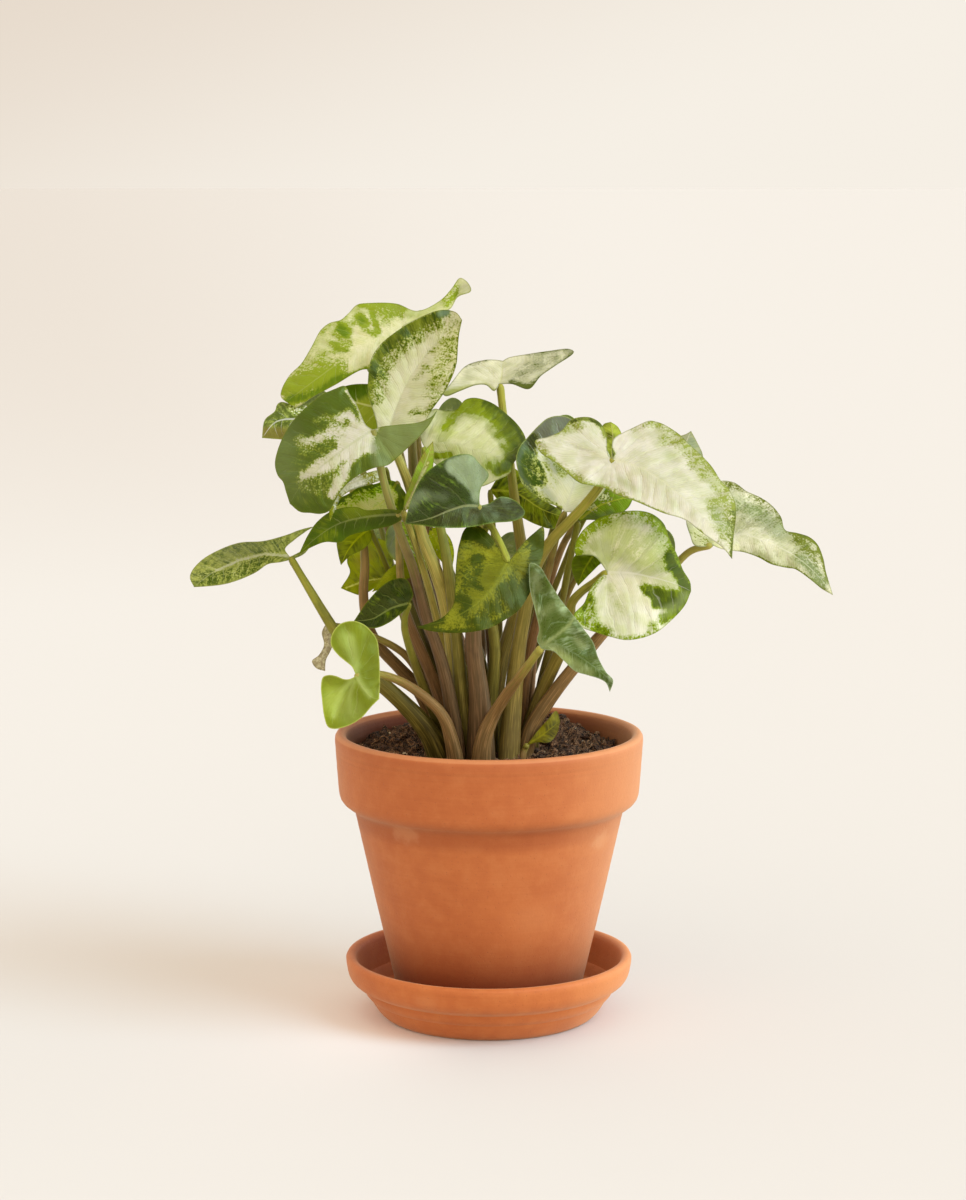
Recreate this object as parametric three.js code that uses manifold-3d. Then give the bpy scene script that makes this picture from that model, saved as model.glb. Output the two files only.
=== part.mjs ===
// Arrowhead plant (Syngonium) growing in a terracotta pot that stands on its saucer.
// Units are millimetres, +Z is up, and the origin is the centre of the saucer's underside.
// The leaf blades are thin closed shells, cut from an outline on each side of the midrib,
// and every petiole is a tapered tube that runs from its blade down to the soil.
import * as THREE from 'three';
import { mergeVertices } from 'three/addons/utils/BufferGeometryUtils.js';
import Module from 'manifold-3d';

const wasm = await Module();
wasm.setup();

// ---------------------------------------------------------------- driving dimensions
const SAUCER_RADIUS = 70.5;        // outer radius of the saucer's rim
const SAUCER_HEIGHT = 30.3;        // height of the saucer's rim above its underside
const SAUCER_FLOOR = 7.0;          // thickness of the saucer's floor
const GAP = 0.3;                   // clearance between pieces that rest on each other
const POT_RIM_RADIUS = 75.0;       // outer radius of the pot's rim band at the lip
const POT_RIM_Z = 140.7;           // height of the lip above the underside of the saucer
const POT_BAND_Z = 103.0;          // where the rim band meets the tapered body
const POT_FOOT_RADIUS = 44.2;      // outer radius of the pot's base
const POT_WALL = 6.0;              // wall thickness
const DRAIN_RADIUS = 6.0;          // hole in the pot's base
const SOIL_Z = 128.7;              // level of the soil round the stems
const BLADE_HALF = 0.5;            // half the thickness of a leaf blade
const TUBE_SIDES = 6;              // sides of a petiole's section
const ROUND = 40;                  // facets round the pot and the saucer

// ---------------------------------------------------------------- leaf table
// edge: outline from the junction round one side to the tip and back round the other,
// mid: points along the midrib between junction and tip, each [x, y, z] in mm.
// tip: index in edge of the leaf's tip. stalk: centre line from the blade to the soil
// as [x, y, z, radius]. joined: blade and stalk are a single solid.
const LEAVES = [
  {
    name: 'leaf_top_left', joined: false, tip: 13, colour: 0x9fbf4a, stem: 0x786050,
    edge: [[-41.28, 26.96, 335.16], [-21.35, 34.5, 341.9], [-8.87, 42.98, 351.27], [-14.49, 49.13, 357.41], [-21.84, 40.85, 348.49], [-36.59, 34.65, 342.17], [-50.33, 40.07, 345.74], [-64.5, 38.91, 344.78], [-71.06, 32.85, 338.47], [-82.77, 28.76, 331.66], [-89.21, 19.8, 319.79], [-95.42, 17.09, 313.02], [-100.51, 12.3, 303.02], [-97.69, 7.47, 299.75], [-93.54, 5.22, 297.61], [-91.24, 4.59, 297.95], [-84.38, 4, 302.49], [-73.14, 4.79, 308.58], [-63.26, 7.55, 314.39], [-59.98, 8.31, 315.42], [-50.75, 9.72, 316.28], [-45.15, 12.44, 317.45], [-40.95, 15.03, 319.15], [-38.53, 16.98, 321.5], [-36.37, 22.18, 327.66], [-38.04, 24.89, 331.88]],
    mid: [[-53.77, 20.05, 330.45], [-65.04, 13.75, 323.51], [-75.88, 9.24, 315.84], [-86.74, 7.05, 307.93]],
    stalk: [[-41.14, 28.49, 333.23, 1.19], [-38.9, 26.21, 307.52, 1.81], [-37.6, 24.17, 281.72, 2.03], [-36.44, 22.38, 255.89, 2.25], [-33.75, 20.84, 230.17, 2.47], [-29.3, 19.07, 204.72, 2.69], [-22.47, 16.81, 179.83, 2.91], [-16.68, 16.38, 154.61, 3.13], [-13.46, 18.38, 129, 3.34]],
  },
  {
    name: 'leaf_upper_front', joined: false, tip: 13, colour: 0xc9d2a6, stem: 0x786050,
    edge: [[-47.86, -18.81, 285.73], [-52.42, -18.75, 288.1], [-53.97, -15.39, 294.24], [-57.44, -10.38, 305.28], [-57.22, -5.04, 316.81], [-56.01, -2.93, 321.81], [-51.55, -0.02, 328.15], [-45.44, 2.32, 333.09], [-39.92, 3.58, 336.73], [-29.28, 5.32, 342.14], [-24.22, 5.26, 343.84], [-20.24, 5.52, 344.1], [-15.24, 4.95, 342.48], [-12.95, 4.75, 339.24], [-14.37, 2.63, 332.21], [-15.25, -0.54, 321], [-15.97, -1.87, 317], [-17.33, -2.99, 313.15], [-19.03, -4.3, 309.45], [-21.55, -6.17, 305.06], [-28.1, -11.1, 296.14], [-31.35, -15.83, 290.1], [-32.6, -16.91, 288.56], [-34.98, -18.59, 286.77], [-38.69, -19.57, 285.12], [-40.72, -19.54, 284.75]],
    mid: [[-44.44, -9.83, 297.82], [-39.13, -2.98, 309.55], [-31.89, 1.82, 320.48], [-23.2, 4.53, 330.56]],
    stalk: [[-47.08, -16.83, 283.73, 1.53], [-38.92, -17.85, 265.19, 2.31], [-33.91, -21.99, 246.01, 2.57], [-27.24, -24.47, 227.21, 2.83], [-21.14, -20.18, 208.41, 3.08], [-17.92, -15.14, 189.04, 3.32], [-15.51, -11.26, 169.28, 3.56], [-13.8, -8.9, 149.2, 3.81], [-12.53, -7.43, 129, 4.03]],
  },
  {
    name: 'leaf_left_front', joined: false, tip: 13, colour: 0x567a4a, stem: 0x6e7a34,
    edge: [[-54.14, -41.08, 290.55], [-58.32, -37.3, 293.76], [-61.9, -29.94, 300.68], [-67.74, -21.39, 309.48], [-69.08, -21.39, 309.62], [-77.95, -23.35, 306.14], [-85.51, -26.03, 300.48], [-91.27, -28.18, 294.81], [-94.44, -29.68, 290.47], [-97.56, -31.77, 284.56], [-100.22, -35.16, 275.68], [-98.98, -39.18, 269.37], [-96.31, -42.03, 266.45], [-92.69, -47.78, 256.64], [-87.03, -49.74, 252.85], [-76.55, -52.61, 252.87], [-73.55, -54.44, 254.86], [-69.33, -54.15, 262.43], [-63.5, -52.78, 268.65], [-57.61, -51.56, 272.09], [-44.85, -47.44, 276.31], [-29.95, -43.03, 290.42], [-24.57, -38.99, 298.95], [-28.76, -40.25, 295.65], [-37.1, -40.5, 293.43], [-47.5, -40.25, 292.39]],
    mid: [[-62.89, -45.23, 285.34], [-71.29, -47.78, 279.42], [-79.36, -48.89, 272.87], [-87.08, -48.57, 265.66]],
    stalk: [[-53.86, -39.14, 288.49, 1.35], [-49.73, -38.59, 268.14, 1.92], [-43.98, -39.19, 248.18, 2.04], [-37.12, -37.38, 228.71, 2.16], [-32.12, -33.19, 209.05, 2.27], [-26.09, -29.04, 189.62, 2.38], [-20.6, -25.75, 169.89, 2.49], [-17.1, -23.34, 149.55, 2.6], [-15.23, -20.86, 129, 2.69]],
  },
  {
    name: 'leaf_left_small', joined: true, tip: 6, colour: 0x7c8a3e, stem: 0x6e7a34,
    edge: [[-80.07, 0.31, 289.76], [-78.67, 4.42, 294.72], [-87.28, 7.34, 298.32], [-92.08, 7.46, 297.33], [-100.27, 11.75, 299.43], [-107.87, 9.3, 291.14], [-109.29, 5.74, 282.54], [-97.14, 1.26, 282.06], [-91.12, -0.34, 281.99], [-83.71, -0.81, 282.65], [-80.07, -1.08, 284.09], [-79.6, -0.71, 285.92]],
    mid: [[-86.48, 1.28, 291.22], [-93.06, 2.93, 291.96], [-99.72, 4.73, 291.32], [-105.26, 5.47, 287.83]],
    stalk: [[-80.07, 0.31, 289.76, 0.84], [-70.14, -1.47, 269.82, 1.35], [-63.1, -5.46, 248.94, 1.58], [-59.1, -9.12, 227.2, 1.81], [-60.32, -8.74, 204.9, 2.04], [-54.4, -3.54, 184.3, 2.26], [-40.57, 3.32, 168.13, 2.47], [-29.46, 8.88, 149.65, 2.68], [-21.15, 11.36, 129, 2.89]],
  },
  {
    name: 'leaf_left_inner', joined: true, tip: 8, colour: 0x6b7d22, stem: 0x6e7a34,
    edge: [[-46.7, 7.45, 294.93], [-44.24, 10.93, 299.26], [-44.21, 12.96, 302], [-50.56, 14.97, 307.01], [-53.48, 15.07, 307.68], [-61.77, 15.01, 307.87], [-67.76, 14.95, 307.25], [-77.63, 14.16, 303.64], [-85.52, 13.67, 299.26], [-70.9, 7.94, 293.02], [-62.84, 5.63, 289.18], [-53.92, 4.79, 285.61], [-51.24, 5.02, 285.86], [-48.85, 5.69, 287.11], [-46.87, 6, 288.98], [-46.38, 6.3, 290.23]],
    mid: [[-54.25, 7.37, 297.06], [-61.89, 8.19, 298.89], [-69.64, 9.72, 300.32], [-77.57, 11.42, 300.25]],
    stalk: [[-46.7, 7.45, 294.93, 1.01], [-42.21, 9.2, 273.32, 1.43], [-36.88, 9.15, 252.02, 1.51], [-30.96, 8.82, 230.87, 1.6], [-24.29, 8.33, 209.96, 1.68], [-16.4, 7.77, 189.48, 1.77], [-8.32, 7.47, 169.06, 1.85], [-0.23, 8.64, 148.69, 1.93], [8.52, 12.62, 129, 2.02]],
  },
  {
    name: 'leaf_top_right', joined: false, tip: 13, colour: 0xc9d29a, stem: 0x6e7a34,
    edge: [[5.31, 14.78, 307.87], [3.04, 9.46, 305.21], [1.35, 9.61, 305.35], [-0.69, 12.72, 307.11], [-4.35, 13.53, 307.75], [-8.08, 11.98, 307.11], [-19.46, 3.58, 303.09], [-22.04, 4.43, 303.65], [-21.45, 7.26, 305.14], [-14.41, 22.09, 312.98], [-11.73, 26.59, 315.37], [-5.56, 31.14, 317.62], [0.15, 33.07, 318.4], [6.87, 32.71, 317.79], [8.76, 34.43, 318.9], [13.09, 35.88, 319.97], [36.48, 39.74, 323.22], [38.72, 39.72, 323.29], [41.63, 37.43, 322.08], [39.43, 33.68, 319.9], [33.65, 28.23, 316.65], [26.16, 20.57, 312.11], [24.48, 18.27, 310.78], [20.17, 10.26, 306.24], [18.07, 9.58, 305.78], [10.84, 14.31, 307.94]],
    mid: [[5.72, 18.34, 309.83], [6.12, 21.9, 311.79], [6.44, 25.49, 313.77], [6.66, 29.09, 315.78]],
    stalk: [[5.53, 16.36, 305.84, 1.35], [8.35, 13.15, 283.73, 1.91], [11.28, 10.24, 261.59, 2.03], [14.16, 7.73, 239.4, 2.14], [16.47, 5.79, 217.18, 2.25], [12.37, 4.2, 195.2, 2.36], [6.15, 3.12, 173.61, 2.47], [2.36, 2.84, 151.42, 2.58], [0.51, 3.44, 129, 2.69]],
  },
  {
    name: 'leaf_centre_upper', joined: false, tip: 13, colour: 0xa9bf62, stem: 0x6e7a34,
    edge: [[-30.89, -16.2, 280.26], [-32.96, -9.32, 285.55], [-31.89, -5.26, 290.02], [-28.7, 0.14, 294.93], [-25.77, 2.13, 296.92], [-18.33, 1.12, 295.86], [-14.9, 2.73, 297.03], [-11.76, 7.34, 300.58], [-4.41, 9.19, 301.2], [4.68, 7.17, 297.1], [11.39, 4.14, 291.59], [17.54, -1.39, 282.67], [16.52, -6.86, 278.42], [11.34, -16.65, 272.21], [10.29, -18.67, 268.72], [8.02, -20.38, 266.89], [-0.33, -25.14, 263.51], [-3.19, -26.93, 262.65], [-4.69, -27.48, 262.44], [-6.97, -28.22, 262.65], [-9.88, -28.2, 263.52], [-15.39, -27.24, 266.06], [-20.56, -24.64, 269.06], [-24.79, -20.4, 271.99], [-28.08, -18.41, 275.04], [-29.42, -17.72, 276.85]],
    mid: [[-22.41, -15.96, 282.69], [-13.68, -17.29, 281.44], [-5.23, -18.36, 278.79], [3.21, -17.94, 275.98]],
    stalk: [[-30.52, -14.62, 278.22, 1.35], [-26.6, -18.26, 259.84, 1.95], [-22.8, -22.7, 241.6, 2.09], [-19.35, -26.44, 223.15, 2.24], [-17.06, -26.39, 204.21, 2.38], [-15.06, -22.99, 185.48, 2.52], [-13.8, -19.34, 166.72, 2.65], [-11.97, -16.81, 147.83, 2.79], [-9.41, -14.42, 129, 2.91]],
  },
  {
    name: 'leaf_centre_dark', joined: false, tip: 13, colour: 0x3f6650, stem: 0x786050,
    edge: [[-4.75, -58.78, 256.95], [-4.03, -51.06, 263.71], [-0.5, -45.77, 268.64], [-0.31, -43.85, 270.54], [-6.83, -38.77, 277.45], [-10.79, -38.58, 279.07], [-16.21, -39.64, 278.42], [-20.23, -41.41, 276.88], [-27.58, -45.97, 272.62], [-30.66, -48.32, 269.8], [-33.46, -51, 265.4], [-36.04, -54.62, 259.77], [-37.83, -58.62, 253.93], [-38.84, -62.78, 249.07], [-27.21, -68, 248.42], [-19.11, -68.54, 247.92], [-7.57, -63.68, 247.9], [1.57, -61.11, 249.37], [12, -58.81, 250.16], [15.12, -57.34, 251.58], [16.51, -55.96, 253.25], [15.74, -54.67, 255.26], [11.51, -52.67, 259.03], [7.1, -52.47, 260.46], [3.68, -53.61, 260.07], [0.82, -55.91, 258.29]],
    mid: [[-11.8, -62.35, 257.25], [-18.54, -65.24, 255.53], [-25.03, -66.8, 252.96], [-31.84, -65.96, 250.92]],
    stalk: [[-4.74, -55.96, 255.07, 1.36], [-4.79, -47.99, 240.54, 2], [-5.5, -40.86, 225.61, 2.19], [-6.51, -34.68, 210.27, 2.38], [-7.52, -29.78, 194.49, 2.58], [-6.56, -26.36, 178.34, 2.79], [-4.67, -24.39, 162.01, 3], [-4.12, -23.13, 145.49, 3.21], [-3.83, -21.58, 129, 3.36]],
  },
  {
    name: 'leaf_right_large', joined: false, tip: 13, colour: 0xd3dba6, stem: 0x6e7a34,
    edge: [[57.8, -39.64, 276.85], [57.72, -33.22, 284.14], [60.88, -29.77, 287.27], [72.49, -25.12, 292.45], [75.56, -24.18, 293.33], [80.22, -24.62, 292.55], [88.37, -27.18, 288.06], [101.81, -34.63, 275.63], [107.95, -39.26, 267.06], [113.01, -41.25, 261.32], [114.93, -44.34, 255.72], [114.93, -47, 251.28], [113.06, -54.15, 239.57], [112.4, -58.17, 232.2], [107.97, -57.99, 237.49], [91.45, -56.54, 249.68], [80.64, -56.05, 253.3], [51.42, -46.91, 264.52], [42.39, -47.01, 266.29], [24.28, -40.03, 279.58], [21.59, -36.39, 285.24], [30.41, -33.58, 287.7], [41.52, -26.66, 295.11], [48.44, -25.87, 294.84], [52.3, -27.18, 292.46], [55.03, -31.62, 286.61]],
    mid: [[71.74, -44.24, 272.54], [83.93, -49.07, 264.83], [94.97, -53.04, 255.48], [104.58, -56.12, 244.61]],
    stalk: [[57.14, -37.03, 274.89, 1.53], [47.99, -31.25, 258.04, 2.23], [35.44, -25.95, 243.26, 2.43], [23.72, -21.18, 227.71, 2.63], [18.49, -17.44, 208.68, 2.82], [15.11, -14.82, 189.02, 3.02], [12.65, -13.48, 169.1, 3.22], [10.87, -13.54, 149.06, 3.42], [9.56, -14.3, 129, 3.58]],
  },
  {
    name: 'leaf_right_inner', joined: false, tip: 13, colour: 0xaebf98, stem: 0x6e7a34,
    edge: [[35.89, -24.52, 250.2], [33, -23.87, 252.55], [28.21, -23.62, 254.27], [18.61, -22.35, 260.37], [15.89, -21.93, 262.99], [13.17, -19.63, 271.24], [12.87, -17.82, 276.14], [15.4, -15.08, 281.71], [22.37, -10.48, 288.86], [27.2, -7.28, 292.84], [32.14, -5.03, 294.1], [36.01, -3.72, 293.81], [45.05, -4.96, 289.12], [52.91, -7.77, 282.82], [55.73, -8.62, 278.98], [57.19, -9.96, 276.01], [58, -10.93, 273.48], [58.47, -13.51, 268.96], [57.98, -15.17, 266.41], [57.09, -16.93, 263.97], [54.87, -19.08, 259.91], [52.26, -20.51, 256.86], [49.72, -21.51, 254.65], [46.94, -22.29, 252.71], [42.65, -23.38, 250.67], [40.01, -23.7, 249.99]],
    mid: [[38.15, -23.71, 257.46], [40.68, -21.56, 264.5], [43.71, -18.17, 271.25], [48.05, -13.62, 277.23]],
    stalk: [[35.39, -22.03, 248.42, 1.19], [31.48, -15.56, 234.62, 1.68], [28.43, -9.85, 220.25, 1.79], [25.27, -4.98, 205.6, 1.9], [22.13, -0.87, 190.71, 2.01], [19.24, 2.62, 175.63, 2.12], [17.29, 5.34, 160.23, 2.23], [15.5, 6.98, 144.66, 2.34], [13.8, 7.28, 129, 2.46]],
  },
  {
    name: 'leaf_right_lobe', joined: true, tip: 8, colour: 0x5c7f3a, stem: 0x6e7a34,
    edge: [[42.35, -15.54, 244.84], [41.67, -11.63, 251.27], [44.21, -9.69, 254.98], [46.76, -8.38, 257.29], [51.8, -6.43, 260.11], [57.49, -5.04, 261.41], [63.89, -4.44, 260.71], [67.69, -5.37, 258.28], [69.35, -7.18, 255.41], [67.75, -9.11, 252.41], [66.54, -10.14, 250.65], [63.78, -12.05, 248.57], [58.94, -14.12, 246.5], [55.1, -15.03, 245.5], [52.91, -15.24, 245.19], [48.06, -15.31, 245.31]],
    mid: [[47.02, -14.41, 248.4], [51.99, -12.81, 251.51], [57.54, -11.18, 253.54], [63.37, -9.36, 254.79]],
    stalk: [[42.35, -15.54, 244.84, 1.18], [39.91, -8.26, 230.83, 1.62], [37.5, -3.42, 216.74, 1.67], [34.92, 0.58, 202.41, 1.73], [31.55, 3.86, 188.07, 1.79], [28, 6.41, 173.62, 1.84], [24.99, 8.23, 158.94, 1.9], [23.16, 9.41, 144.01, 1.95], [21.6, 9.89, 129, 2.02]],
  },
  {
    name: 'leaf_right_round', joined: false, tip: 13, colour: 0xb8cc7e, stem: 0x6e7a34,
    edge: [[55.45, -36.23, 223.14], [49.97, -32.95, 229.97], [41, -33.9, 230.84], [40.95, -30.94, 236.36], [43.86, -27.55, 241.34], [48.46, -24.28, 245.1], [53.92, -21.27, 247.69], [64.43, -19.24, 249.99], [69.06, -18.4, 250.2], [78.05, -17.42, 248.14], [82.73, -18.23, 244.31], [91.34, -25.87, 223.95], [94.42, -26.42, 218.68], [95.61, -28.4, 213], [92.93, -30.28, 206.95], [87.62, -33.65, 201.12], [79.03, -39.21, 195.02], [69.98, -43.76, 192.48], [64.58, -45.16, 192.15], [55.43, -43.82, 193.86], [42.75, -45.42, 198.71], [39.81, -44.75, 203.04], [40.55, -43.84, 205.4], [45.02, -41.51, 210.12], [47.72, -39.32, 216.04], [51.16, -37.66, 220]],
    mid: [[63.62, -36.5, 222.94], [71.75, -35.83, 221.7], [79.82, -34.28, 219.6], [87.82, -31.79, 216.8]],
    stalk: [[54.35, -33.38, 221.73, 1.36], [45.59, -26.36, 213.73, 2], [39.23, -19.59, 204.04, 2.19], [37.68, -13.27, 191.91, 2.37], [34.03, -7.28, 180.05, 2.55], [29.05, -2.17, 168.26, 2.74], [24.14, 0.37, 155.68, 2.94], [20.24, 0.72, 142.46, 3.16], [17.25, 0.67, 129, 3.35]],
  },
  {
    name: 'leaf_far_right', joined: false, tip: 13, colour: 0xb4c498, stem: 0x786050,
    edge: [[106.32, -15.21, 233.28], [97.44, -14.91, 233.56], [94.72, -7.59, 241.5], [95, -2.48, 246.5], [98.16, 4.6, 252.73], [104.95, 9.46, 258.85], [112.3, 12.69, 260.98], [119.76, 13.36, 259.75], [130.93, 9.95, 253.43], [138.19, 6.58, 248.1], [142.24, -1.73, 239], [153.26, 0.43, 235.65], [159.38, -2.15, 229.25], [164.48, -14.7, 209.12], [159.62, -15.22, 211.76], [158.14, -15.23, 212.81], [153.35, -14.68, 216.85], [149.71, -14.69, 219.55], [146.63, -14.6, 221.44], [138.58, -15.81, 223.09], [133.41, -16.06, 224.73], [128.75, -15.43, 227.33], [124.58, -15.21, 228.94], [121.15, -14.8, 229.87], [114.05, -14.41, 230.68], [110.48, -15.16, 231.55]],
    mid: [[119.29, -10.98, 238.03], [132.58, -11.2, 234.45], [145.02, -11.83, 228.38], [155.7, -13.24, 219.72]],
    stalk: [[104.79, -12.81, 232.53, 1.19], [90.95, -7.79, 223.99, 1.78], [78.84, -5.14, 211.62, 1.98], [65.66, -4.23, 200.13, 2.18], [53.58, -4.79, 187.46, 2.37], [42.17, -5.99, 174.21, 2.57], [31.38, -6.89, 160.43, 2.77], [21.99, -6.37, 145.67, 2.96], [17.09, -6.69, 129, 3.14]],
  },
  {
    name: 'leaf_right_back_tip', joined: true, tip: 6, colour: 0x8fa08a, stem: 0x6e7a34,
    edge: [[77.44, 1.77, 261.67], [70.28, 3.34, 263.46], [68.99, 8.02, 271.6], [72.6, 9.09, 275.65], [78.56, 10.17, 279.15], [94.11, 14.27, 283.24], [97.91, 16.21, 284.98], [103.33, 10.55, 274.07], [102.3, 6.87, 267.85], [100.07, 5.17, 265.47], [88.69, 1.34, 259.83], [84.16, 1.08, 258.88]],
    mid: [[82.29, 2.46, 265.8], [87.02, 4.23, 270.01], [91.48, 7.06, 274.46], [95.05, 11.06, 279.54]],
    stalk: [[77.44, 1.77, 261.67, 1.01], [60.2, 6.21, 252.58, 1.43], [44.06, 8.99, 241.93, 1.51], [34.19, 11.7, 225.31, 1.6], [28.61, 14.43, 206.62, 1.68], [24.45, 17.09, 187.54, 1.76], [21.16, 19.28, 168.25, 1.84], [19.75, 20.29, 148.64, 1.92], [18.82, 19.11, 129, 2.01]],
  },
  {
    name: 'leaf_centre_low', joined: false, tip: 13, colour: 0x7f9a30, stem: 0x6e7a34,
    edge: [[8.62, -64.7, 231.66], [0.81, -57.66, 242.79], [-4.67, -55.36, 247.07], [-8.2, -55.31, 247.35], [-10.44, -55.75, 246.6], [-12.46, -57.16, 243.87], [-14.38, -62.2, 237.58], [-15.4, -69.01, 230.16], [-15.91, -77.18, 216.98], [-16.6, -79.05, 213.77], [-19.27, -80.99, 210.17], [-21.98, -82.04, 208.07], [-27.4, -82.21, 205.78], [-33.04, -81.94, 204], [-23.78, -83.26, 201.86], [-11.07, -82.77, 201.54], [-3.2, -81.08, 202.42], [2.81, -79.06, 204.22], [13.51, -73.32, 210.45], [18.7, -67.9, 217.84], [20.98, -62.6, 224.89], [24.22, -58.94, 231.85], [25.34, -55.82, 237.86], [25.63, -52.63, 243.98], [24.36, -51.72, 246.31], [16.84, -56.73, 240.71]],
    mid: [[3.39, -72.35, 223.14], [-3.81, -77.98, 215.87], [-12.58, -81.57, 210.18], [-22.52, -82.9, 206.42]],
    stalk: [[8.04, -61.87, 232.76, 1.18], [1.24, -50.61, 246.09, 1.66], [-3.56, -40.29, 235.19, 1.75], [-2.36, -32.05, 218.41, 1.83], [0.51, -24.79, 201.38, 1.91], [2.84, -18.44, 183.95, 1.99], [1.69, -13.26, 165.98, 2.08], [0.53, -9.6, 147.64, 2.16], [-0.48, -8.05, 129, 2.24]],
  },
  {
    name: 'leaf_right_hanging', joined: false, tip: 13, colour: 0x5f8a68, stem: 0x6e7a34,
    edge: [[23.66, -79.22, 193.85], [21.85, -77.49, 197.95], [22.69, -76.9, 200.97], [22.24, -75.35, 205.53], [19.13, -70.81, 217.38], [18.19, -66.7, 229.67], [20, -66.18, 231.45], [24.88, -66.93, 227.65], [33.24, -71.41, 214.53], [45.93, -76.7, 198.78], [49.55, -79.08, 190.29], [53.18, -80.01, 183.26], [56.48, -79.28, 179.6], [55.38, -79.47, 173.44], [54.15, -79.72, 176.63], [53.55, -80.18, 177.67], [51.81, -80.56, 179.13], [49.78, -80.95, 180.13], [48.71, -81.16, 180.51], [41.21, -82.08, 182.78], [39.18, -82.14, 183.67], [38.27, -82.12, 184.3], [36.62, -81.94, 185.77], [30.77, -80.54, 191.48], [28.98, -79.6, 192.6], [26.24, -79.48, 192.91]],
    mid: [[31.78, -80.25, 195.58], [39.13, -81.39, 191.58], [46.14, -81.53, 186.74], [52.93, -80.57, 181.37]],
    stalk: [[23.23, -75.74, 192.61, 1.36], [20.4, -66.4, 187.05, 1.9], [17.33, -57.33, 181.19, 2.01], [13.93, -48.68, 174.9, 2.12], [10.01, -40.8, 167.94, 2.25], [5.54, -34.28, 159.99, 2.4], [0.62, -30.52, 150.68, 2.58], [-2.91, -29.46, 140.13, 2.78], [-4.08, -28.6, 129, 2.91]],
  },
  {
    name: 'leaf_far_left', joined: false, tip: 13, colour: 0x7a9a4a, stem: 0x6e7a34,
    edge: [[-94.64, -20.88, 228.25], [-97.19, -16.54, 230.87], [-96.42, -13.6, 232.81], [-85.04, -3.88, 240.58], [-90.14, -4.31, 239.35], [-97.4, -7.12, 236.91], [-108.75, -9.56, 234.35], [-118.08, -7.88, 233.6], [-125.73, -7.88, 231.54], [-135.08, -9.57, 227.07], [-139.96, -12.07, 223.19], [-142.57, -15.31, 219.23], [-142.4, -18.35, 217.05], [-140.21, -23.56, 214.23], [-133.14, -25.69, 214.94], [-125.15, -27.93, 216.27], [-121.33, -28.19, 217.33], [-114.93, -27.62, 219.7], [-109.8, -25.96, 222.18], [-105.12, -23.04, 225.12], [-99.33, -22.65, 225.99], [-94.56, -22.17, 227.02], [-90.01, -20.85, 228.55], [-86.99, -18.37, 230.54], [-86.25, -15.85, 232.34], [-90.38, -18.44, 230.18]],
    mid: [[-104.62, -18.67, 229.42], [-114.43, -18.73, 227.81], [-123.77, -19.77, 224.57], [-132.53, -21.25, 220.14]],
    stalk: [[-93.8, -19.4, 226.46, 1.21], [-85.94, -21.23, 213.48, 1.98], [-78.02, -22.79, 200.5, 2.35], [-69.98, -23.18, 187.53, 2.72], [-60.88, -21.64, 175.38, 3.08], [-49.61, -19.58, 165.31, 3.44], [-38.71, -17.61, 154.78, 3.8], [-29.56, -15.47, 142.76, 4.15], [-23.57, -13.08, 129, 4.48]],
  },
  {
    name: 'leaf_left_low', joined: false, tip: 13, colour: 0x8fbf3c, stem: 0x6e7a34,
    edge: [[-61.71, -65.85, 178.57], [-64.28, -63.4, 183.1], [-68.67, -61.64, 186.31], [-71.81, -60.2, 189.29], [-73.52, -59.05, 192], [-73.37, -57.45, 196.18], [-71.22, -56.03, 199.84], [-66.51, -54.86, 202.37], [-61.02, -54.5, 202.17], [-57.14, -54.89, 200.08], [-52.81, -56.19, 195.15], [-51.58, -57.57, 191.07], [-50.62, -65.38, 177.78], [-51.07, -67.19, 167.99], [-58.3, -68.54, 160.3], [-61.36, -68.61, 157.9], [-67.49, -68.92, 155.03], [-71.27, -69.06, 154.23], [-74.09, -69.14, 154.73], [-75.35, -69.03, 156.16], [-76.98, -67.81, 162.61], [-78.07, -64.04, 171.73], [-77.32, -63.19, 177.39], [-73.76, -63.45, 178.64], [-67.22, -64.94, 176.98], [-64.31, -65.47, 177.15]],
    mid: [[-60.13, -68.25, 176.14], [-58.4, -69.59, 173.66], [-56.42, -69.94, 171.21], [-54.07, -69.25, 168.99]],
    stalk: [[-60.7, -62.65, 178.17, 1.19], [-54.35, -54.13, 177.44, 1.7], [-47.65, -46.2, 175.24, 1.82], [-40.78, -39.33, 170.92, 1.95], [-33.59, -33.8, 165.35, 2.09], [-26.26, -30.51, 158.39, 2.25], [-20.47, -29.19, 149.66, 2.41], [-17.65, -28.11, 139.45, 2.58], [-15.89, -27.01, 129, 2.69]],
  },
  {
    name: 'leaf_left_folded', joined: false, tip: 13, colour: 0x355a22, stem: 0x6e7a34,
    edge: [[-37.62, -42.48, 209.31], [-36.17, -41.86, 211.4], [-35.75, -41.38, 212.56], [-36.13, -40.12, 214.96], [-37.34, -38.52, 217.79], [-38.82, -37.33, 219.77], [-40.66, -36.9, 220.34], [-44.5, -37.83, 220.1], [-46.89, -38.68, 219.25], [-49.05, -39.7, 217.97], [-51.06, -40.71, 216.48], [-53.34, -42.12, 214.38], [-57.9, -44.64, 209.26], [-63.31, -46.32, 201.35], [-60.21, -49.18, 199.95], [-58.6, -50.41, 199.35], [-56.02, -51.71, 198.88], [-53.38, -52.44, 198.91], [-51.66, -52.56, 199.27], [-50.02, -52.42, 199.85], [-48.44, -52.11, 200.55], [-45.8, -51.28, 201.95], [-44.03, -50.32, 203.07], [-41.36, -48.1, 204.96], [-39.11, -45.87, 206.68], [-38.56, -45.12, 207.24]],
    mid: [[-42.9, -44.4, 208.16], [-47.89, -46.19, 206.22], [-52.53, -47.84, 203.56], [-57.76, -47.86, 201.95]],
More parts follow.
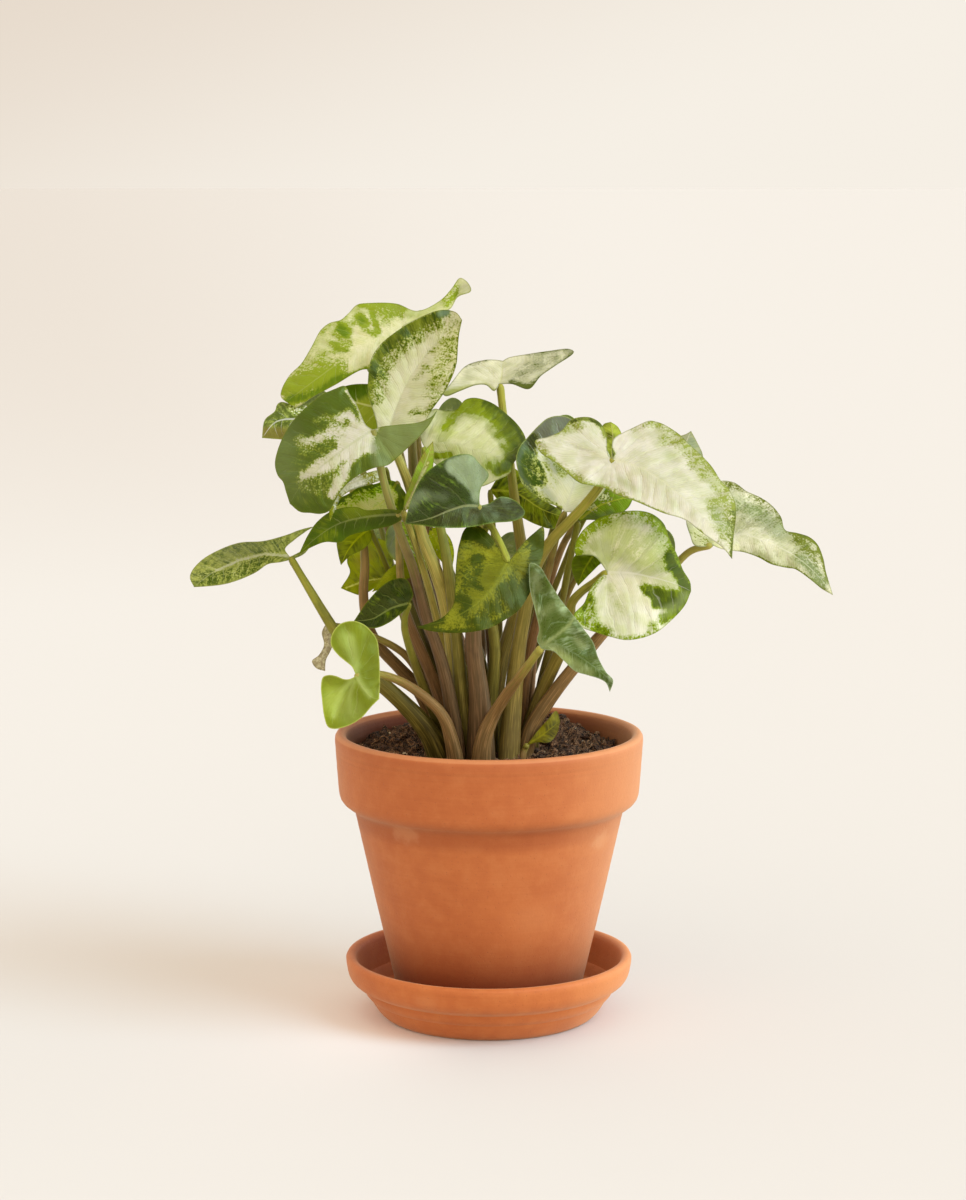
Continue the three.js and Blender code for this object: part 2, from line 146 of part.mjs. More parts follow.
    stalk: [[-38.15, -39.87, 207.54, 1.19], [-39.98, -34.37, 198.06, 1.66], [-38.56, -29, 188.42, 1.74], [-36.03, -23.72, 178.91, 1.82], [-33.13, -18.58, 169.42, 1.9], [-29.8, -13.77, 159.91, 1.98], [-26.5, -9.74, 150.03, 2.06], [-23.14, -7.02, 139.75, 2.15], [-20.5, -5.66, 129, 2.24]],
  },
  {
    name: 'leaf_left_olive', joined: true, tip: 13, colour: 0x6f8f35, stem: 0x6e7a34,
    edge: [[-50.98, 8.9, 214.07], [-47.55, 18.12, 218.52], [-47.14, 24.65, 222.75], [-47.7, 28.52, 225.66], [-49.46, 31.19, 228.26], [-52.43, 31.79, 229.88], [-55.71, 31.27, 230.81], [-61.44, 26.84, 230.72], [-64.95, 21.83, 229.26], [-68.67, 13.92, 224.87], [-68.94, 9.71, 222.06], [-67.41, 5.29, 218.66], [-67.55, 2.15, 216.6], [-71.17, -6.53, 211.35], [-68.66, -7.04, 210.24], [-67.39, -7.19, 209.71], [-64.51, -7.3, 208.61], [-62.87, -7.11, 208.11], [-61.52, -6.56, 207.96], [-60.22, -5.63, 208.14], [-58.41, -3.8, 208.76], [-56.14, -1.02, 209.79], [-55.03, 0.55, 210.33], [-53.97, 2.14, 210.93], [-52.98, 3.82, 211.62], [-52.16, 5.75, 212.42]],
    mid: [[-54.89, 4.14, 213.35], [-58.84, 0.15, 212.62], [-62.9, -2.88, 212.14], [-67.02, -5.05, 211.78]],
    stalk: [[-50.98, 8.9, 214.07, 0.84], [-45.59, 7.11, 204.26, 1.2], [-41.63, 7.8, 193.57, 1.29], [-38.15, 8.95, 182.73, 1.37], [-34.46, 10.44, 172, 1.45], [-30.85, 12.34, 161.32, 1.53], [-27.46, 14.27, 150.56, 1.61], [-24.18, 15.94, 139.73, 1.69], [-20.38, 16.91, 129, 1.78]],
  },
  {
    name: 'leaf_left_olive_small', joined: true, tip: 6, colour: 0x6f8f35, stem: 0x6e7a34,
    edge: [[-56.88, -11.72, 241.02], [-62.8, -10.65, 242.81], [-67.16, -10.84, 241.83], [-70.38, -11.36, 239.52], [-72.75, -12.48, 234.84], [-72.54, -13.58, 231.38], [-70.68, -15.33, 223.67], [-66.41, -15.68, 228], [-60.73, -15.48, 230.83], [-58.5, -14.96, 232.46], [-56.55, -13.8, 234.8], [-55.85, -12.99, 236.7]],
    mid: [[-60.4, -13.43, 238.36], [-63.7, -14.58, 235.36], [-66.6, -15.27, 231.91], [-68.84, -15.58, 227.94]],
    stalk: [[-56.88, -11.72, 241.02, 0.84], [-52.46, -0.42, 228.42, 1.19], [-48.3, 9.74, 216.06, 1.26], [-43.77, 18.09, 202.62, 1.33], [-38.35, 22.29, 187.6, 1.41], [-31.89, 24.55, 172.56, 1.5], [-24.69, 25.94, 157.74, 1.59], [-17.2, 26.87, 143.03, 1.68], [-8.81, 28.78, 129, 1.77]],
  },
  {
    name: 'leaf_left_level', joined: false, tip: 13, colour: 0x4f7a2c, stem: 0x786050,
    edge: [[-42.6, -42.87, 251.38], [-41.12, -42.79, 252.3], [-41.71, -42.67, 253.2], [-48.63, -43.1, 253.76], [-55.54, -43.71, 253.31], [-57.28, -43.69, 253.34], [-61.39, -43.45, 254.68], [-66.6, -43.13, 254.65], [-71.71, -42.76, 253.49], [-74.92, -42.46, 252.03], [-77.82, -42.18, 250.03], [-81.61, -41.75, 246.32], [-84.99, -41.17, 241.09], [-89.2, -39.75, 232.14], [-83.63, -41.25, 235.33], [-80.07, -41.8, 237.04], [-75.53, -42.65, 238.28], [-71.65, -43.07, 238.03], [-69.33, -43.37, 238.26], [-66.27, -43.74, 240.68], [-64.17, -43.87, 241.71], [-54.4, -43.78, 244.16], [-49.09, -43.43, 245.18], [-46.11, -43.21, 245.97], [-41.39, -42.81, 248.55], [-40.85, -42.86, 249.88]],
    mid: [[-52.87, -43.96, 250.74], [-63.07, -44.09, 249.14], [-72.85, -43.41, 245.66], [-81.49, -42.01, 239.61]],
    stalk: [[-42.85, -32.71, 248.47, 1.19], [-42.6, -28.64, 232.97, 1.73], [-41.97, -24.33, 217.54, 1.87], [-40.3, -19.06, 202.52, 2], [-35.62, -13.31, 188.32, 2.14], [-29.84, -8.15, 174.29, 2.27], [-24.62, -4.09, 159.7, 2.41], [-20.08, -1.42, 144.58, 2.55], [-16.61, 0, 129, 2.68]],
  },
  {
    name: 'leaf_left_mottled', joined: true, tip: 8, colour: 0x6f8f35, stem: 0x6e7a34,
    edge: [[-43.59, -22.25, 264.22], [-47.48, -21.34, 265.07], [-55.1, -22.16, 263.02], [-61.23, -22.1, 261.78], [-70.26, -21.19, 256.71], [-72.52, -21.84, 254.26], [-72.94, -22.5, 252.15], [-71.89, -23.1, 250.88], [-68.19, -24.72, 248.32], [-60.81, -26.26, 246.84], [-52.67, -26.76, 246.64], [-47.72, -26.56, 247.33], [-42.54, -25.9, 249.4], [-40.54, -25.36, 250.83], [-39, -24.67, 253.44], [-39.44, -23.28, 258.81]],
    mid: [[-46.54, -24.6, 259], [-50.81, -25.99, 254.7], [-56.07, -26.48, 251.48], [-62.03, -26.01, 249.65]],
    stalk: [[-43.59, -22.25, 264.22, 1.01], [-41.79, -6.48, 251.76, 1.4], [-39.1, 2.57, 235.99, 1.47], [-35.82, 4.48, 217.61, 1.56], [-31.08, 5.01, 199.48, 1.65], [-23.97, 5.46, 182.1, 1.74], [-16.99, 5.89, 164.67, 1.83], [-10.75, 6.16, 146.96, 1.92], [-5.26, 6.63, 129, 2.02]],
  },
  {
    name: 'leaf_left_curled', joined: true, tip: 6, colour: 0x6f8f35, stem: 0x6e7a34,
    edge: [[-48.74, -23.21, 270.97], [-61.65, -31.28, 268.11], [-69.2, -35.6, 265.53], [-71.38, -37.55, 263.84], [-74.08, -41.97, 259.18], [-74.56, -47.12, 252.12], [-74.06, -49.32, 248.86], [-70, -42.48, 257.66], [-67.94, -40.34, 259.94], [-63.34, -37.2, 262.46], [-51.96, -30.34, 265.47], [-50.04, -28.4, 266.28]],
    mid: [[-55.72, -29.24, 268.33], [-62.69, -34.24, 265.64], [-69.24, -38.78, 262.28], [-72.2, -44.46, 255.83]],
    stalk: [[-48.74, -23.21, 270.97, 0.84], [-46.34, -12.32, 253.66, 1.2], [-45.22, -0.77, 237.79, 1.27], [-43.04, 8.65, 220.68, 1.34], [-38.91, 14.48, 202.32, 1.42], [-32.56, 18.37, 184.04, 1.51], [-25.16, 21.4, 166.01, 1.6], [-17.87, 22.39, 147.7, 1.69], [-11.9, 24.32, 129, 1.78]],
  },
  {
    name: 'leaf_furled_young', joined: true, tip: 6, colour: 0x6f8f35, stem: 0x6e7a34,
    edge: [[-40.44, -36.22, 251.55], [-40.02, -35.26, 255.59], [-39.04, -34.07, 260.03], [-33.85, -28.67, 273.07], [-31.62, -26.07, 277.51], [-28.99, -23.66, 281.14], [-26.52, -21.64, 283.62], [-26.03, -22.32, 277.16], [-26.61, -23.91, 271.37], [-28.22, -26, 266.39], [-34.76, -31.68, 255.78], [-36.84, -33.26, 253.49]],
    mid: [[-37.18, -34.26, 257.82], [-34.17, -31.75, 264.17], [-31.42, -28.85, 270.6], [-28.89, -25.54, 277.1]],
    stalk: [[-40.44, -36.22, 251.55, 1.18], [-35.64, -23.52, 236.36, 1.62], [-31.24, -18.36, 221.55, 1.68], [-27.33, -13.84, 206.39, 1.74], [-23.78, -9.13, 191.21, 1.79], [-20.41, -4.42, 175.98, 1.85], [-17.53, 0.09, 160.59, 1.9], [-14.93, 3.92, 144.98, 1.96], [-12.3, 5.53, 129, 2.01]],
  },
  {
    name: 'leaf_left_pale', joined: true, tip: 8, colour: 0x6f8f35, stem: 0x6e7a34,
    edge: [[-27.77, -12.76, 222.37], [-30.56, -13.19, 224.8], [-36.15, -14.34, 227.71], [-38.7, -15.13, 227.78], [-40.55, -16.01, 226.96], [-45.73, -18.46, 223.8], [-47.71, -19.38, 222.24], [-52.25, -21.49, 216.8], [-55.68, -22.81, 211.72], [-51.16, -21.86, 212.97], [-47.1, -20.87, 214.24], [-42.37, -19.48, 216.09], [-36.83, -17.28, 218.13], [-32.05, -14.92, 219.76], [-30.9, -14.43, 220.29], [-29.48, -13.65, 221.16]],
    mid: [[-34.1, -15.54, 223.07], [-40.28, -18, 222.2], [-45.83, -20.17, 219.43], [-50.91, -21.82, 215.84]],
    stalk: [[-27.77, -12.76, 222.37, 0.84], [-24.57, -7.77, 210.68, 1.2], [-21.37, -4.61, 199.04, 1.29], [-17.88, -1.78, 187.4, 1.37], [-13.86, 1.23, 175.99, 1.45], [-10.24, 4.91, 164.63, 1.53], [-7.59, 8.86, 153.11, 1.61], [-5.19, 11.38, 141.15, 1.7], [-2.47, 11.3, 129, 1.79]],
  },
  {
    name: 'leaf_centre_grey', joined: true, tip: 8, colour: 0x6f8f35, stem: 0x6e7a34,
    edge: [[-43.62, -7, 243.35], [-47.07, -8.65, 241.86], [-48.54, -10.01, 240.45], [-49.4, -12.62, 236.46], [-48.52, -15.05, 230.76], [-46.65, -15.58, 227.46], [-42.71, -14.86, 224.44], [-38.49, -13.14, 223.21], [-29.29, -7.95, 223.66], [-27.89, -5.54, 225.55], [-27.1, -3.04, 229.05], [-27.42, -2.22, 231.56], [-29.38, -2.2, 235.47], [-33.01, -2.02, 239.83], [-36.44, -2.17, 242.52], [-39.37, -3.68, 243.27]],
    mid: [[-42.16, -9.6, 238.78], [-40.19, -11.16, 234.31], [-37.19, -11.32, 230.26], [-33.44, -10.19, 226.77]],
    stalk: [[-43.62, -7, 243.35, 0.84], [-41.29, 10.05, 231.79, 1.18], [-36.48, 15.17, 217.35, 1.26], [-29.76, 13.52, 202.62, 1.35], [-23.19, 10.66, 187.92, 1.44], [-16.4, 9.67, 173.1, 1.53], [-9.7, 12.74, 158.57, 1.61], [-4.24, 17.64, 143.97, 1.69], [1.27, 21.03, 129, 1.79]],
  },
  {
    name: 'leaf_centre_small', joined: true, tip: 6, colour: 0x6f8f35, stem: 0x6e7a34,
    edge: [[-28.72, 16.79, 237.57], [-29.53, 15.47, 234.28], [-29.7, 14.59, 232.28], [-28.51, 13.09, 229.14], [-25.84, 11.65, 225.15], [-22.39, 10.99, 221.21], [-17.97, 10.77, 217.74], [-17.09, 11.71, 223.48], [-17.06, 12.48, 226.93], [-18.64, 14.14, 232.4], [-22.03, 16.1, 236.48], [-24.04, 16.76, 237.64]],
    mid: [[-26.54, 14.3, 233.75], [-24.28, 12.5, 229.9], [-21.78, 11.36, 226.13], [-19.71, 10.75, 222.05]],
    stalk: [[-28.72, 16.79, 237.57, 0.84], [-22.4, 18.54, 224.55, 1.2], [-16.34, 18.98, 211.57, 1.29], [-10.99, 19.57, 198.29, 1.37], [-6.64, 20.35, 184.66, 1.45], [-2.85, 21.3, 170.88, 1.53], [0.36, 22.51, 156.96, 1.61], [3.08, 23.87, 142.95, 1.69], [5.83, 25.5, 129, 1.78]],
  },
  {
    name: 'leaf_centre_olive', joined: true, tip: 8, colour: 0x6f8f35, stem: 0x6e7a34,
    edge: [[0.5, 16.82, 256.17], [2.99, 18.83, 259.38], [6.64, 20.72, 262.33], [11.15, 21.34, 263.25], [13.06, 20.55, 261.88], [19.68, 17.05, 255.23], [22.4, 16.17, 252.97], [28.37, 15.98, 250.11], [33.56, 15.2, 246.08], [27.99, 12.95, 243.12], [25.88, 12.44, 242.93], [23.76, 12.18, 243.29], [19.17, 12.02, 244.75], [15.23, 12.33, 246.36], [9.03, 13.61, 249.34], [4.99, 14.9, 251.79]],
    mid: [[7.51, 16.12, 255.92], [14.2, 15.27, 254.08], [20.25, 14.15, 250.66], [26.78, 14.17, 248.11]],
    stalk: [[0.5, 16.82, 256.17, 1.01], [1.8, 17.44, 240.16, 1.4], [3.02, 16.64, 224.31, 1.46], [4.13, 15.95, 208.44, 1.51], [4.6, 15.34, 192.54, 1.57], [4.52, 14.87, 176.63, 1.62], [4.05, 14.77, 160.72, 1.68], [3.35, 15.18, 144.82, 1.73], [2.52, 16.67, 129, 1.79]],
  },
  {
    name: 'leaf_basal_young', joined: true, tip: 6, colour: 0x6f8f35, stem: 0x6e7a34,
    edge: [[18.29, -15.07, 136.2], [21.9, -13.37, 140.4], [26.57, -10.4, 144.66], [28.33, -8.75, 146.47], [29.67, -7.81, 147.53], [30.72, -8.01, 146.35], [31.4, -8.98, 143.87], [30.44, -10.41, 140.38], [29.34, -11.4, 138.53], [28.14, -12.19, 137.35], [26.32, -12.99, 136.61], [23.01, -13.97, 136.99]],
    mid: [[20.97, -14.5, 137.73], [23.65, -13.59, 139.23], [26.26, -12.37, 140.77], [28.83, -10.84, 142.35]],
    stalk: [[18.29, -15.07, 136.2, 1.01], [18.06, -12.1, 135.08, 1.38], [17.42, -11.91, 133.71, 1.45], [16.68, -12.11, 132.26, 1.54], [16.35, -12.14, 130.64, 1.57], [16.11, -12.16, 129, 1.57]],
  },
  {
    name: 'leaf_right_dark_small', joined: true, tip: 6, colour: 0x6f8f35, stem: 0x6e7a34,
    edge: [[53.16, -8.61, 231], [48.43, -8.49, 232.43], [45.32, -9.8, 231.38], [41.28, -12.12, 228.06], [39.63, -13.65, 224.9], [40.43, -16.08, 218.24], [42.44, -17.14, 213.81], [51.98, -13.3, 222.83], [54.11, -11.88, 224.34], [54.94, -11, 225.28], [55.01, -10.26, 226.52], [54.61, -9.79, 227.74]],
    mid: [[50.29, -11.5, 228.13], [47.65, -13.76, 225.02], [45.45, -15.48, 221.57], [43.77, -16.64, 217.8]],
    stalk: [[53.16, -8.61, 231, 0.84], [45.41, -2.1, 220.52, 1.2], [39.18, 2.45, 208.97, 1.28], [34.82, 6.17, 196.29, 1.36], [31.26, 9.24, 183.2, 1.44], [28.25, 11.68, 169.83, 1.53], [24.96, 13.42, 156.43, 1.61], [22.35, 14.44, 142.81, 1.69], [20.65, 14.44, 129, 1.79]],
  },
  {
    name: 'leaf_right_notch', joined: true, tip: 6, colour: 0x6f8f35, stem: 0x6e7a34,
    edge: [[57.98, -3.27, 264.14], [55.48, -2.09, 270.43], [54.51, -0.91, 275.37], [53.72, 2.22, 283.65], [53.72, 3.41, 286.12], [54.75, 4.64, 288.83], [58.61, 4.25, 290.38], [62.29, 3.4, 287.6], [63.67, 2.22, 284.61], [63.91, 1.57, 282.97], [62.77, -1.47, 273.46], [61.1, -2.44, 269.17]],
    mid: [[58.44, -3.03, 269.5], [58.9, -2.12, 274.81], [59.37, -0.61, 280.06], [59.3, 1.49, 285.27]],
    stalk: [[57.98, -3.27, 264.14, 0.84], [48.8, 1.47, 248.67, 1.2], [40.71, 4.57, 232.69, 1.29], [34.44, 7.42, 215.85, 1.37], [28.15, 9.93, 198.96, 1.45], [23.26, 12.1, 181.57, 1.54], [18.36, 14.2, 164.18, 1.62], [14.4, 16.9, 146.65, 1.7], [12.37, 20.8, 129, 1.79]],
  },
  {
    name: 'leaf_back_1', joined: true, tip: 7, colour: 0x6f8f35, stem: 0x6e7a34,
    edge: [[-75, 44.22, 283.97], [-67.03, 42.17, 289.09], [-58.06, 43.82, 290.12], [-53.77, 47.68, 286.33], [-53.94, 55.36, 274.35], [-65.23, 67, 260.96], [-74.59, 67.83, 255.71], [-92.98, 59.6, 249.52], [-97.29, 48.99, 269.94], [-97.81, 39.92, 281.2], [-93.01, 22.66, 298.23], [-83.89, 22.46, 304.53], [-78.8, 26.45, 302.63], [-75.05, 35.46, 293.96]],
    mid: [[-78.82, 52.47, 276.68], [-82.54, 58.02, 269.56], [-86.15, 61.1, 262.63], [-89.64, 61.69, 255.93]],
    stalk: [[-75, 44.22, 283.97, 1.18], [-64.4, 39.13, 266.39, 1.65], [-54.98, 37.21, 247.87, 1.73], [-47.37, 36.03, 228.45, 1.81], [-39.65, 34.29, 209.12, 1.9], [-32.09, 33.12, 189.68, 1.98], [-26.02, 33.2, 169.69, 2.06], [-21.3, 33.44, 149.35, 2.14], [-18.03, 30.69, 129, 2.23]],
  },
  {
    name: 'leaf_back_2', joined: true, tip: 7, colour: 0x6f8f35, stem: 0x6e7a34,
    edge: [[-42.97, 52.54, 323.89], [-41, 42.59, 333.8], [-35.5, 35.17, 341.69], [-29.92, 35.65, 341.4], [-22.96, 45.46, 330.47], [-22.12, 55.93, 322.8], [-23.23, 70.3, 309.91], [-32.86, 86.81, 282.26], [-54.18, 74.45, 300.92], [-60.7, 61.15, 311.63], [-63.13, 50.93, 318.88], [-61.99, 40.05, 332.19], [-57.25, 38.16, 335.44], [-49, 43.68, 331.5]],
    mid: [[-41.12, 64.56, 315.39], [-39.17, 73.89, 306.94], [-37.14, 80.74, 298.57], [-35.03, 85.12, 290.33]],
    stalk: [[-42.97, 52.54, 323.89, 1.18], [-38.68, 45.25, 299.78, 1.65], [-34.84, 40.3, 275.36, 1.73], [-31.66, 36.15, 250.69, 1.81], [-27.61, 32.76, 226.04, 1.9], [-22.44, 30.04, 201.51, 1.98], [-15.36, 28.04, 177.39, 2.06], [-8.36, 26.65, 153.21, 2.15], [-1.41, 25.98, 129, 2.24]],
  },
  {
    name: 'leaf_back_3', joined: true, tip: 7, colour: 0x6f8f35, stem: 0x6e7a34,
    edge: [[-8.87, 55.34, 282], [-3.59, 47.09, 289.86], [3.93, 42.09, 294.41], [8.27, 44.42, 291.3], [9.85, 52.08, 282.04], [8.33, 60.13, 274.82], [1.43, 77.46, 260.32], [-17.18, 88.25, 240.73], [-26.4, 72.3, 266.8], [-27.25, 53.44, 283.04], [-25.92, 45.32, 290.28], [-20.95, 38.87, 298], [-15.83, 38.34, 298.93], [-10.71, 45.75, 291.5]],
    mid: [[-10.53, 67.09, 273.41], [-12.19, 76.15, 264.96], [-13.86, 82.73, 256.67], [-15.53, 86.83, 248.57]],
    stalk: [[-8.87, 55.34, 282, 1.18], [-7.55, 48.21, 263.46, 1.65], [-6.03, 43.3, 244.64, 1.73], [-4.12, 39.2, 225.66, 1.81], [-2.11, 36.03, 206.52, 1.89], [-0.06, 33.92, 187.24, 1.98], [1.66, 33.14, 167.83, 2.06], [2.84, 33.54, 148.36, 2.14], [3.96, 35.48, 129, 2.23]],
  },
  {
    name: 'leaf_back_4', joined: true, tip: 7, colour: 0x6f8f35, stem: 0x6e7a34,
    edge: [[46.06, 45.26, 274.96], [52.17, 38.84, 279.93], [59.45, 35.11, 281.54], [63.3, 36.08, 278.75], [64.18, 43.16, 268.76], [56.43, 59.91, 256.56], [49.16, 66.04, 251.3], [33.89, 69.63, 244.36], [28.72, 62.66, 261.13], [27.19, 55.05, 270.59], [29.26, 37.29, 285.44], [36.48, 31.56, 291.52], [40.99, 31.99, 290.33], [45.02, 37.64, 283.34]],
    mid: [[43.81, 54.66, 268.48], [41.45, 61.7, 262.17], [39, 66.58, 256.02], [36.48, 69.28, 250.07]],
    stalk: [[46.06, 45.26, 274.96, 1.18], [39.27, 39.52, 257.72, 1.65], [33.28, 35.86, 239.97, 1.73], [28.22, 32.73, 221.83, 1.81], [23.49, 30.25, 203.51, 1.9], [18.98, 28.57, 185.03, 1.98], [14.68, 28.02, 166.44, 2.06], [11.18, 28.48, 147.69, 2.14], [7.81, 30.26, 129, 2.23]],
  },
  {
    name: 'leaf_back_5', joined: true, tip: 7, colour: 0x6f8f35, stem: 0x6e7a34,
    edge: [[78.96, 49.4, 270.09], [75.67, 44.94, 277.73], [75.59, 39.19, 285.78], [78.73, 36.41, 287.65], [83.3, 34.82, 286.65], [90.72, 37.08, 280.16], [97.65, 45.85, 268.38], [103.67, 51.51, 245.9], [82.37, 63.83, 249.56], [70.93, 60.3, 256.09], [64.2, 57.14, 263.68], [62.82, 54.96, 268.61], [64.27, 52.39, 272.23], [71.69, 49.59, 272.94]],
    mid: [[84.15, 54.34, 264.82], [89.23, 56.93, 259.75], [94.19, 57.35, 254.89], [99.02, 55.61, 250.26]],
    stalk: [[78.96, 49.4, 270.09, 1.18], [68.42, 44.06, 253.8, 1.65], [57.52, 40.75, 237.57, 1.73], [46.82, 37.88, 221.13, 1.81], [37.28, 35.56, 203.91, 1.89], [29.48, 33.92, 185.76, 1.98], [22.48, 33.27, 167.22, 2.06], [16.24, 33.57, 148.42, 2.14], [12.77, 35.38, 129, 2.23]],
  },
  {
    name: 'leaf_back_6', joined: true, tip: 7, colour: 0x6f8f35, stem: 0x6e7a34,
    edge: [[1.11, 57.5, 220.53], [5.1, 50.55, 227.61], [11.12, 46.14, 231.95], [14.94, 47.72, 229.65], [16.87, 53.84, 221.84], [16.02, 60.61, 215.47], [11.04, 75.39, 202.49], [-3.41, 84.51, 185.06], [-12.72, 72.48, 206.37], [-14.44, 56.84, 220.42], [-13.76, 50.03, 226.8], [-9.97, 44.61, 233.67], [-5.75, 44.02, 234.67], [-1.02, 49.78, 228.6]],
    mid: [[0.23, 67.43, 212.93], [-0.67, 75, 205.58], [-1.58, 80.41, 198.46], [-2.49, 83.64, 191.6]],
    stalk: [[1.11, 57.5, 220.53, 1.18], [0.19, 51.07, 209.83, 1.64], [-0.71, 46.72, 198.76, 1.72], [-1.58, 43.01, 187.45, 1.8], [-2.71, 39.97, 175.98, 1.88], [-4.27, 37.9, 164.33, 1.96], [-5.91, 36.8, 152.57, 2.04], [-7.35, 36.75, 140.73, 2.12], [-8.98, 37.62, 129, 2.21]],
  },
  {
    name: 'leaf_back_7', joined: true, tip: 7, colour: 0x6f8f35, stem: 0x6e7a34,
    edge: [[-56.41, 57.69, 242.69], [-51.96, 53.25, 249.31], [-45.69, 51.82, 253.1], [-42.52, 54.97, 249.88], [-42.04, 60.64, 241.87], [-44.42, 67.79, 233.83], [-49.79, 76.03, 223.76], [-64.93, 78.12, 207.61], [-70.63, 64.71, 230.19], [-70.63, 53.46, 241.83], [-69.02, 45.81, 250.03], [-65.03, 42.56, 256.63], [-60.89, 43.44, 257.64], [-57.24, 50.34, 250.9]],
    mid: [[-58.24, 65.64, 235.3], [-60, 71.58, 228.08], [-61.71, 75.67, 221.04], [-63.36, 77.9, 214.2]],
    stalk: [[-56.41, 57.69, 242.69, 1.18], [-52.33, 50.64, 228.65, 1.65], [-48.13, 46.22, 214.15, 1.73], [-42.98, 43.18, 199.61, 1.81], [-37.05, 41.44, 185.16, 1.89], [-30.86, 40.82, 170.71, 1.97], [-24.54, 40.53, 156.31, 2.06], [-19.23, 39.22, 141.59, 2.14], [-14.4, 32.61, 129, 2.24]],
  },
  {
    name: 'leaf_back_8', joined: true, tip: 7, colour: 0x6f8f35, stem: 0x6e7a34,
    edge: [[74.94, 41.65, 224.07], [78.59, 33.65, 231.4], [84.38, 26.73, 236.1], [88.5, 25.41, 234.7], [91.55, 28.64, 227.5], [91.37, 34.83, 221.1], [87.81, 49.42, 208.75], [73.32, 64.26, 189.63], [61.06, 60.9, 209.85], [58, 49.3, 222.55], [58.18, 43.18, 228.99], [61.95, 37.02, 235.93], [66.27, 34.66, 236.95], [71.78, 36.62, 231.71]],
    mid: [[74.86, 50.7, 216.67], [74.65, 57.39, 209.52], [74.32, 61.91, 202.6], [73.88, 64.26, 195.95]],
    stalk: [[74.94, 41.65, 224.07, 1.18], [65.75, 37.57, 213.63, 1.65], [56.7, 35.4, 202.88, 1.73], [47.73, 33.47, 192.02, 1.81], [39.38, 31.8, 180.64, 1.89], [31.84, 30.39, 168.67, 1.97], [25.57, 29.28, 155.97, 2.05], [20.85, 28.47, 142.6, 2.13], [16.93, 28, 129, 2.24]],
  },
  {
    name: 'leaf_spent', joined: true, tip: 6, colour: 0x7a6a50, stem: 0x6e7a34,
    edge: [[-74.65, -16.38, 194.86], [-77.35, -15.57, 195.29], [-79.93, -17.55, 191.04], [-78.83, -19.73, 185.97], [-84.6, -19.98, 178.11], [-81.53, -20.14, 174], [-78.42, -20.64, 173.27], [-78.15, -20.76, 177.33], [-77.39, -20.44, 179.85], [-76.1, -20.19, 182.17], [-72.78, -17.66, 190.56], [-72.76, -17.18, 191.82]],
    mid: [[-75.53, -18.52, 190.64], [-76.76, -19.97, 186.42], [-78.9, -20.78, 182.44], [-79.21, -21.05, 177.91]],
    stalk: [[-74.65, -16.38, 194.86, 1.01], [-63.55, -12.74, 191.66, 1.46], [-53.01, -10.16, 187.15, 1.58], [-43.3, -7, 181.32, 1.69], [-36.06, -3.56, 172.82, 1.8], [-31.4, -0.28, 162.55, 1.91], [-27.95, 2.48, 151.66, 2.01], [-25.22, 4.36, 140.37, 2.13], [-22.42, 5.51, 129, 2.24]],
  },
];

// ---------------------------------------------------------------- helpers
const POT_COLOUR = 0xc87446, SOIL_COLOUR = 0x2e2018;
const group = new THREE.Group();
group.name = 'arrowhead_plant';

function bufferFrom(vertices, triangles) {
  const g = new THREE.BufferGeometry();
  g.setAttribute('position', new THREE.Float32BufferAttribute(vertices.flat(), 3));
  g.setIndex(triangles.flat());
  return g;
}

function addPiece(name, geometry, colour, roughness) {
  const material = new THREE.MeshStandardMaterial({ color: colour, roughness, metalness: 0 });
  const mesh = new THREE.Mesh(geometry, material);
  mesh.name = name;
  group.add(mesh);
  return mesh;
}

function solid(geometry) {
  let g = geometry.clone();
  g.deleteAttribute('normal');
  g.deleteAttribute('uv');
  g = mergeVertices(g, 1e-4);
  const m = new wasm.Manifold(new wasm.Mesh({
    numProp: 3,
    vertProperties: new Float32Array(g.attributes.position.array),
    triVerts: new Uint32Array(g.index.array),
  }));
  return m;
}

function fromSolid(m) {
  const mesh = m.getMesh();
  const g = new THREE.BufferGeometry();
  g.setAttribute('position', new THREE.BufferAttribute(new Float32Array(mesh.vertProperties), 3));
  g.setIndex(new THREE.BufferAttribute(new Uint32Array(mesh.triVerts), 1));
  return g;
}

function lathe(points, segments) {
  const g = new THREE.LatheGeometry(points.map(([r, z]) => new THREE.Vector2(r, z)), segments);
  g.rotateX(Math.PI / 2);            // the profile's height runs along +Z
  g.deleteAttribute('normal');
  g.deleteAttribute('uv');
  const merged = mergeVertices(g, 1e-4);
  // drop the empty triangles that a point on the axis leaves behind
  const p = merged.attributes.position, keep = [];
  const idx = merged.index.array;
  for (let i = 0; i < idx.length; i += 3) {
    const [a, b, c] = [idx[i], idx[i + 1], idx[i + 2]];
    if (a !== b && b !== c && a !== c) keep.push(a, b, c);
  }
  merged.setIndex(keep);
  let volume = 0;
  for (let i = 0; i < keep.length; i += 3) {
    const [a, b, c] = [keep[i], keep[i + 1], keep[i + 2]].map((k) => new THREE.Vector3().fromBufferAttribute(p, k));
    volume += a.dot(b.cross(c)) / 6;
  }
  if (volume < 0) for (let i = 0; i < keep.length; i += 3) [keep[i + 1], keep[i + 2]] = [keep[i + 2], keep[i + 1]];
  merged.setIndex(keep);
  return merged;
}

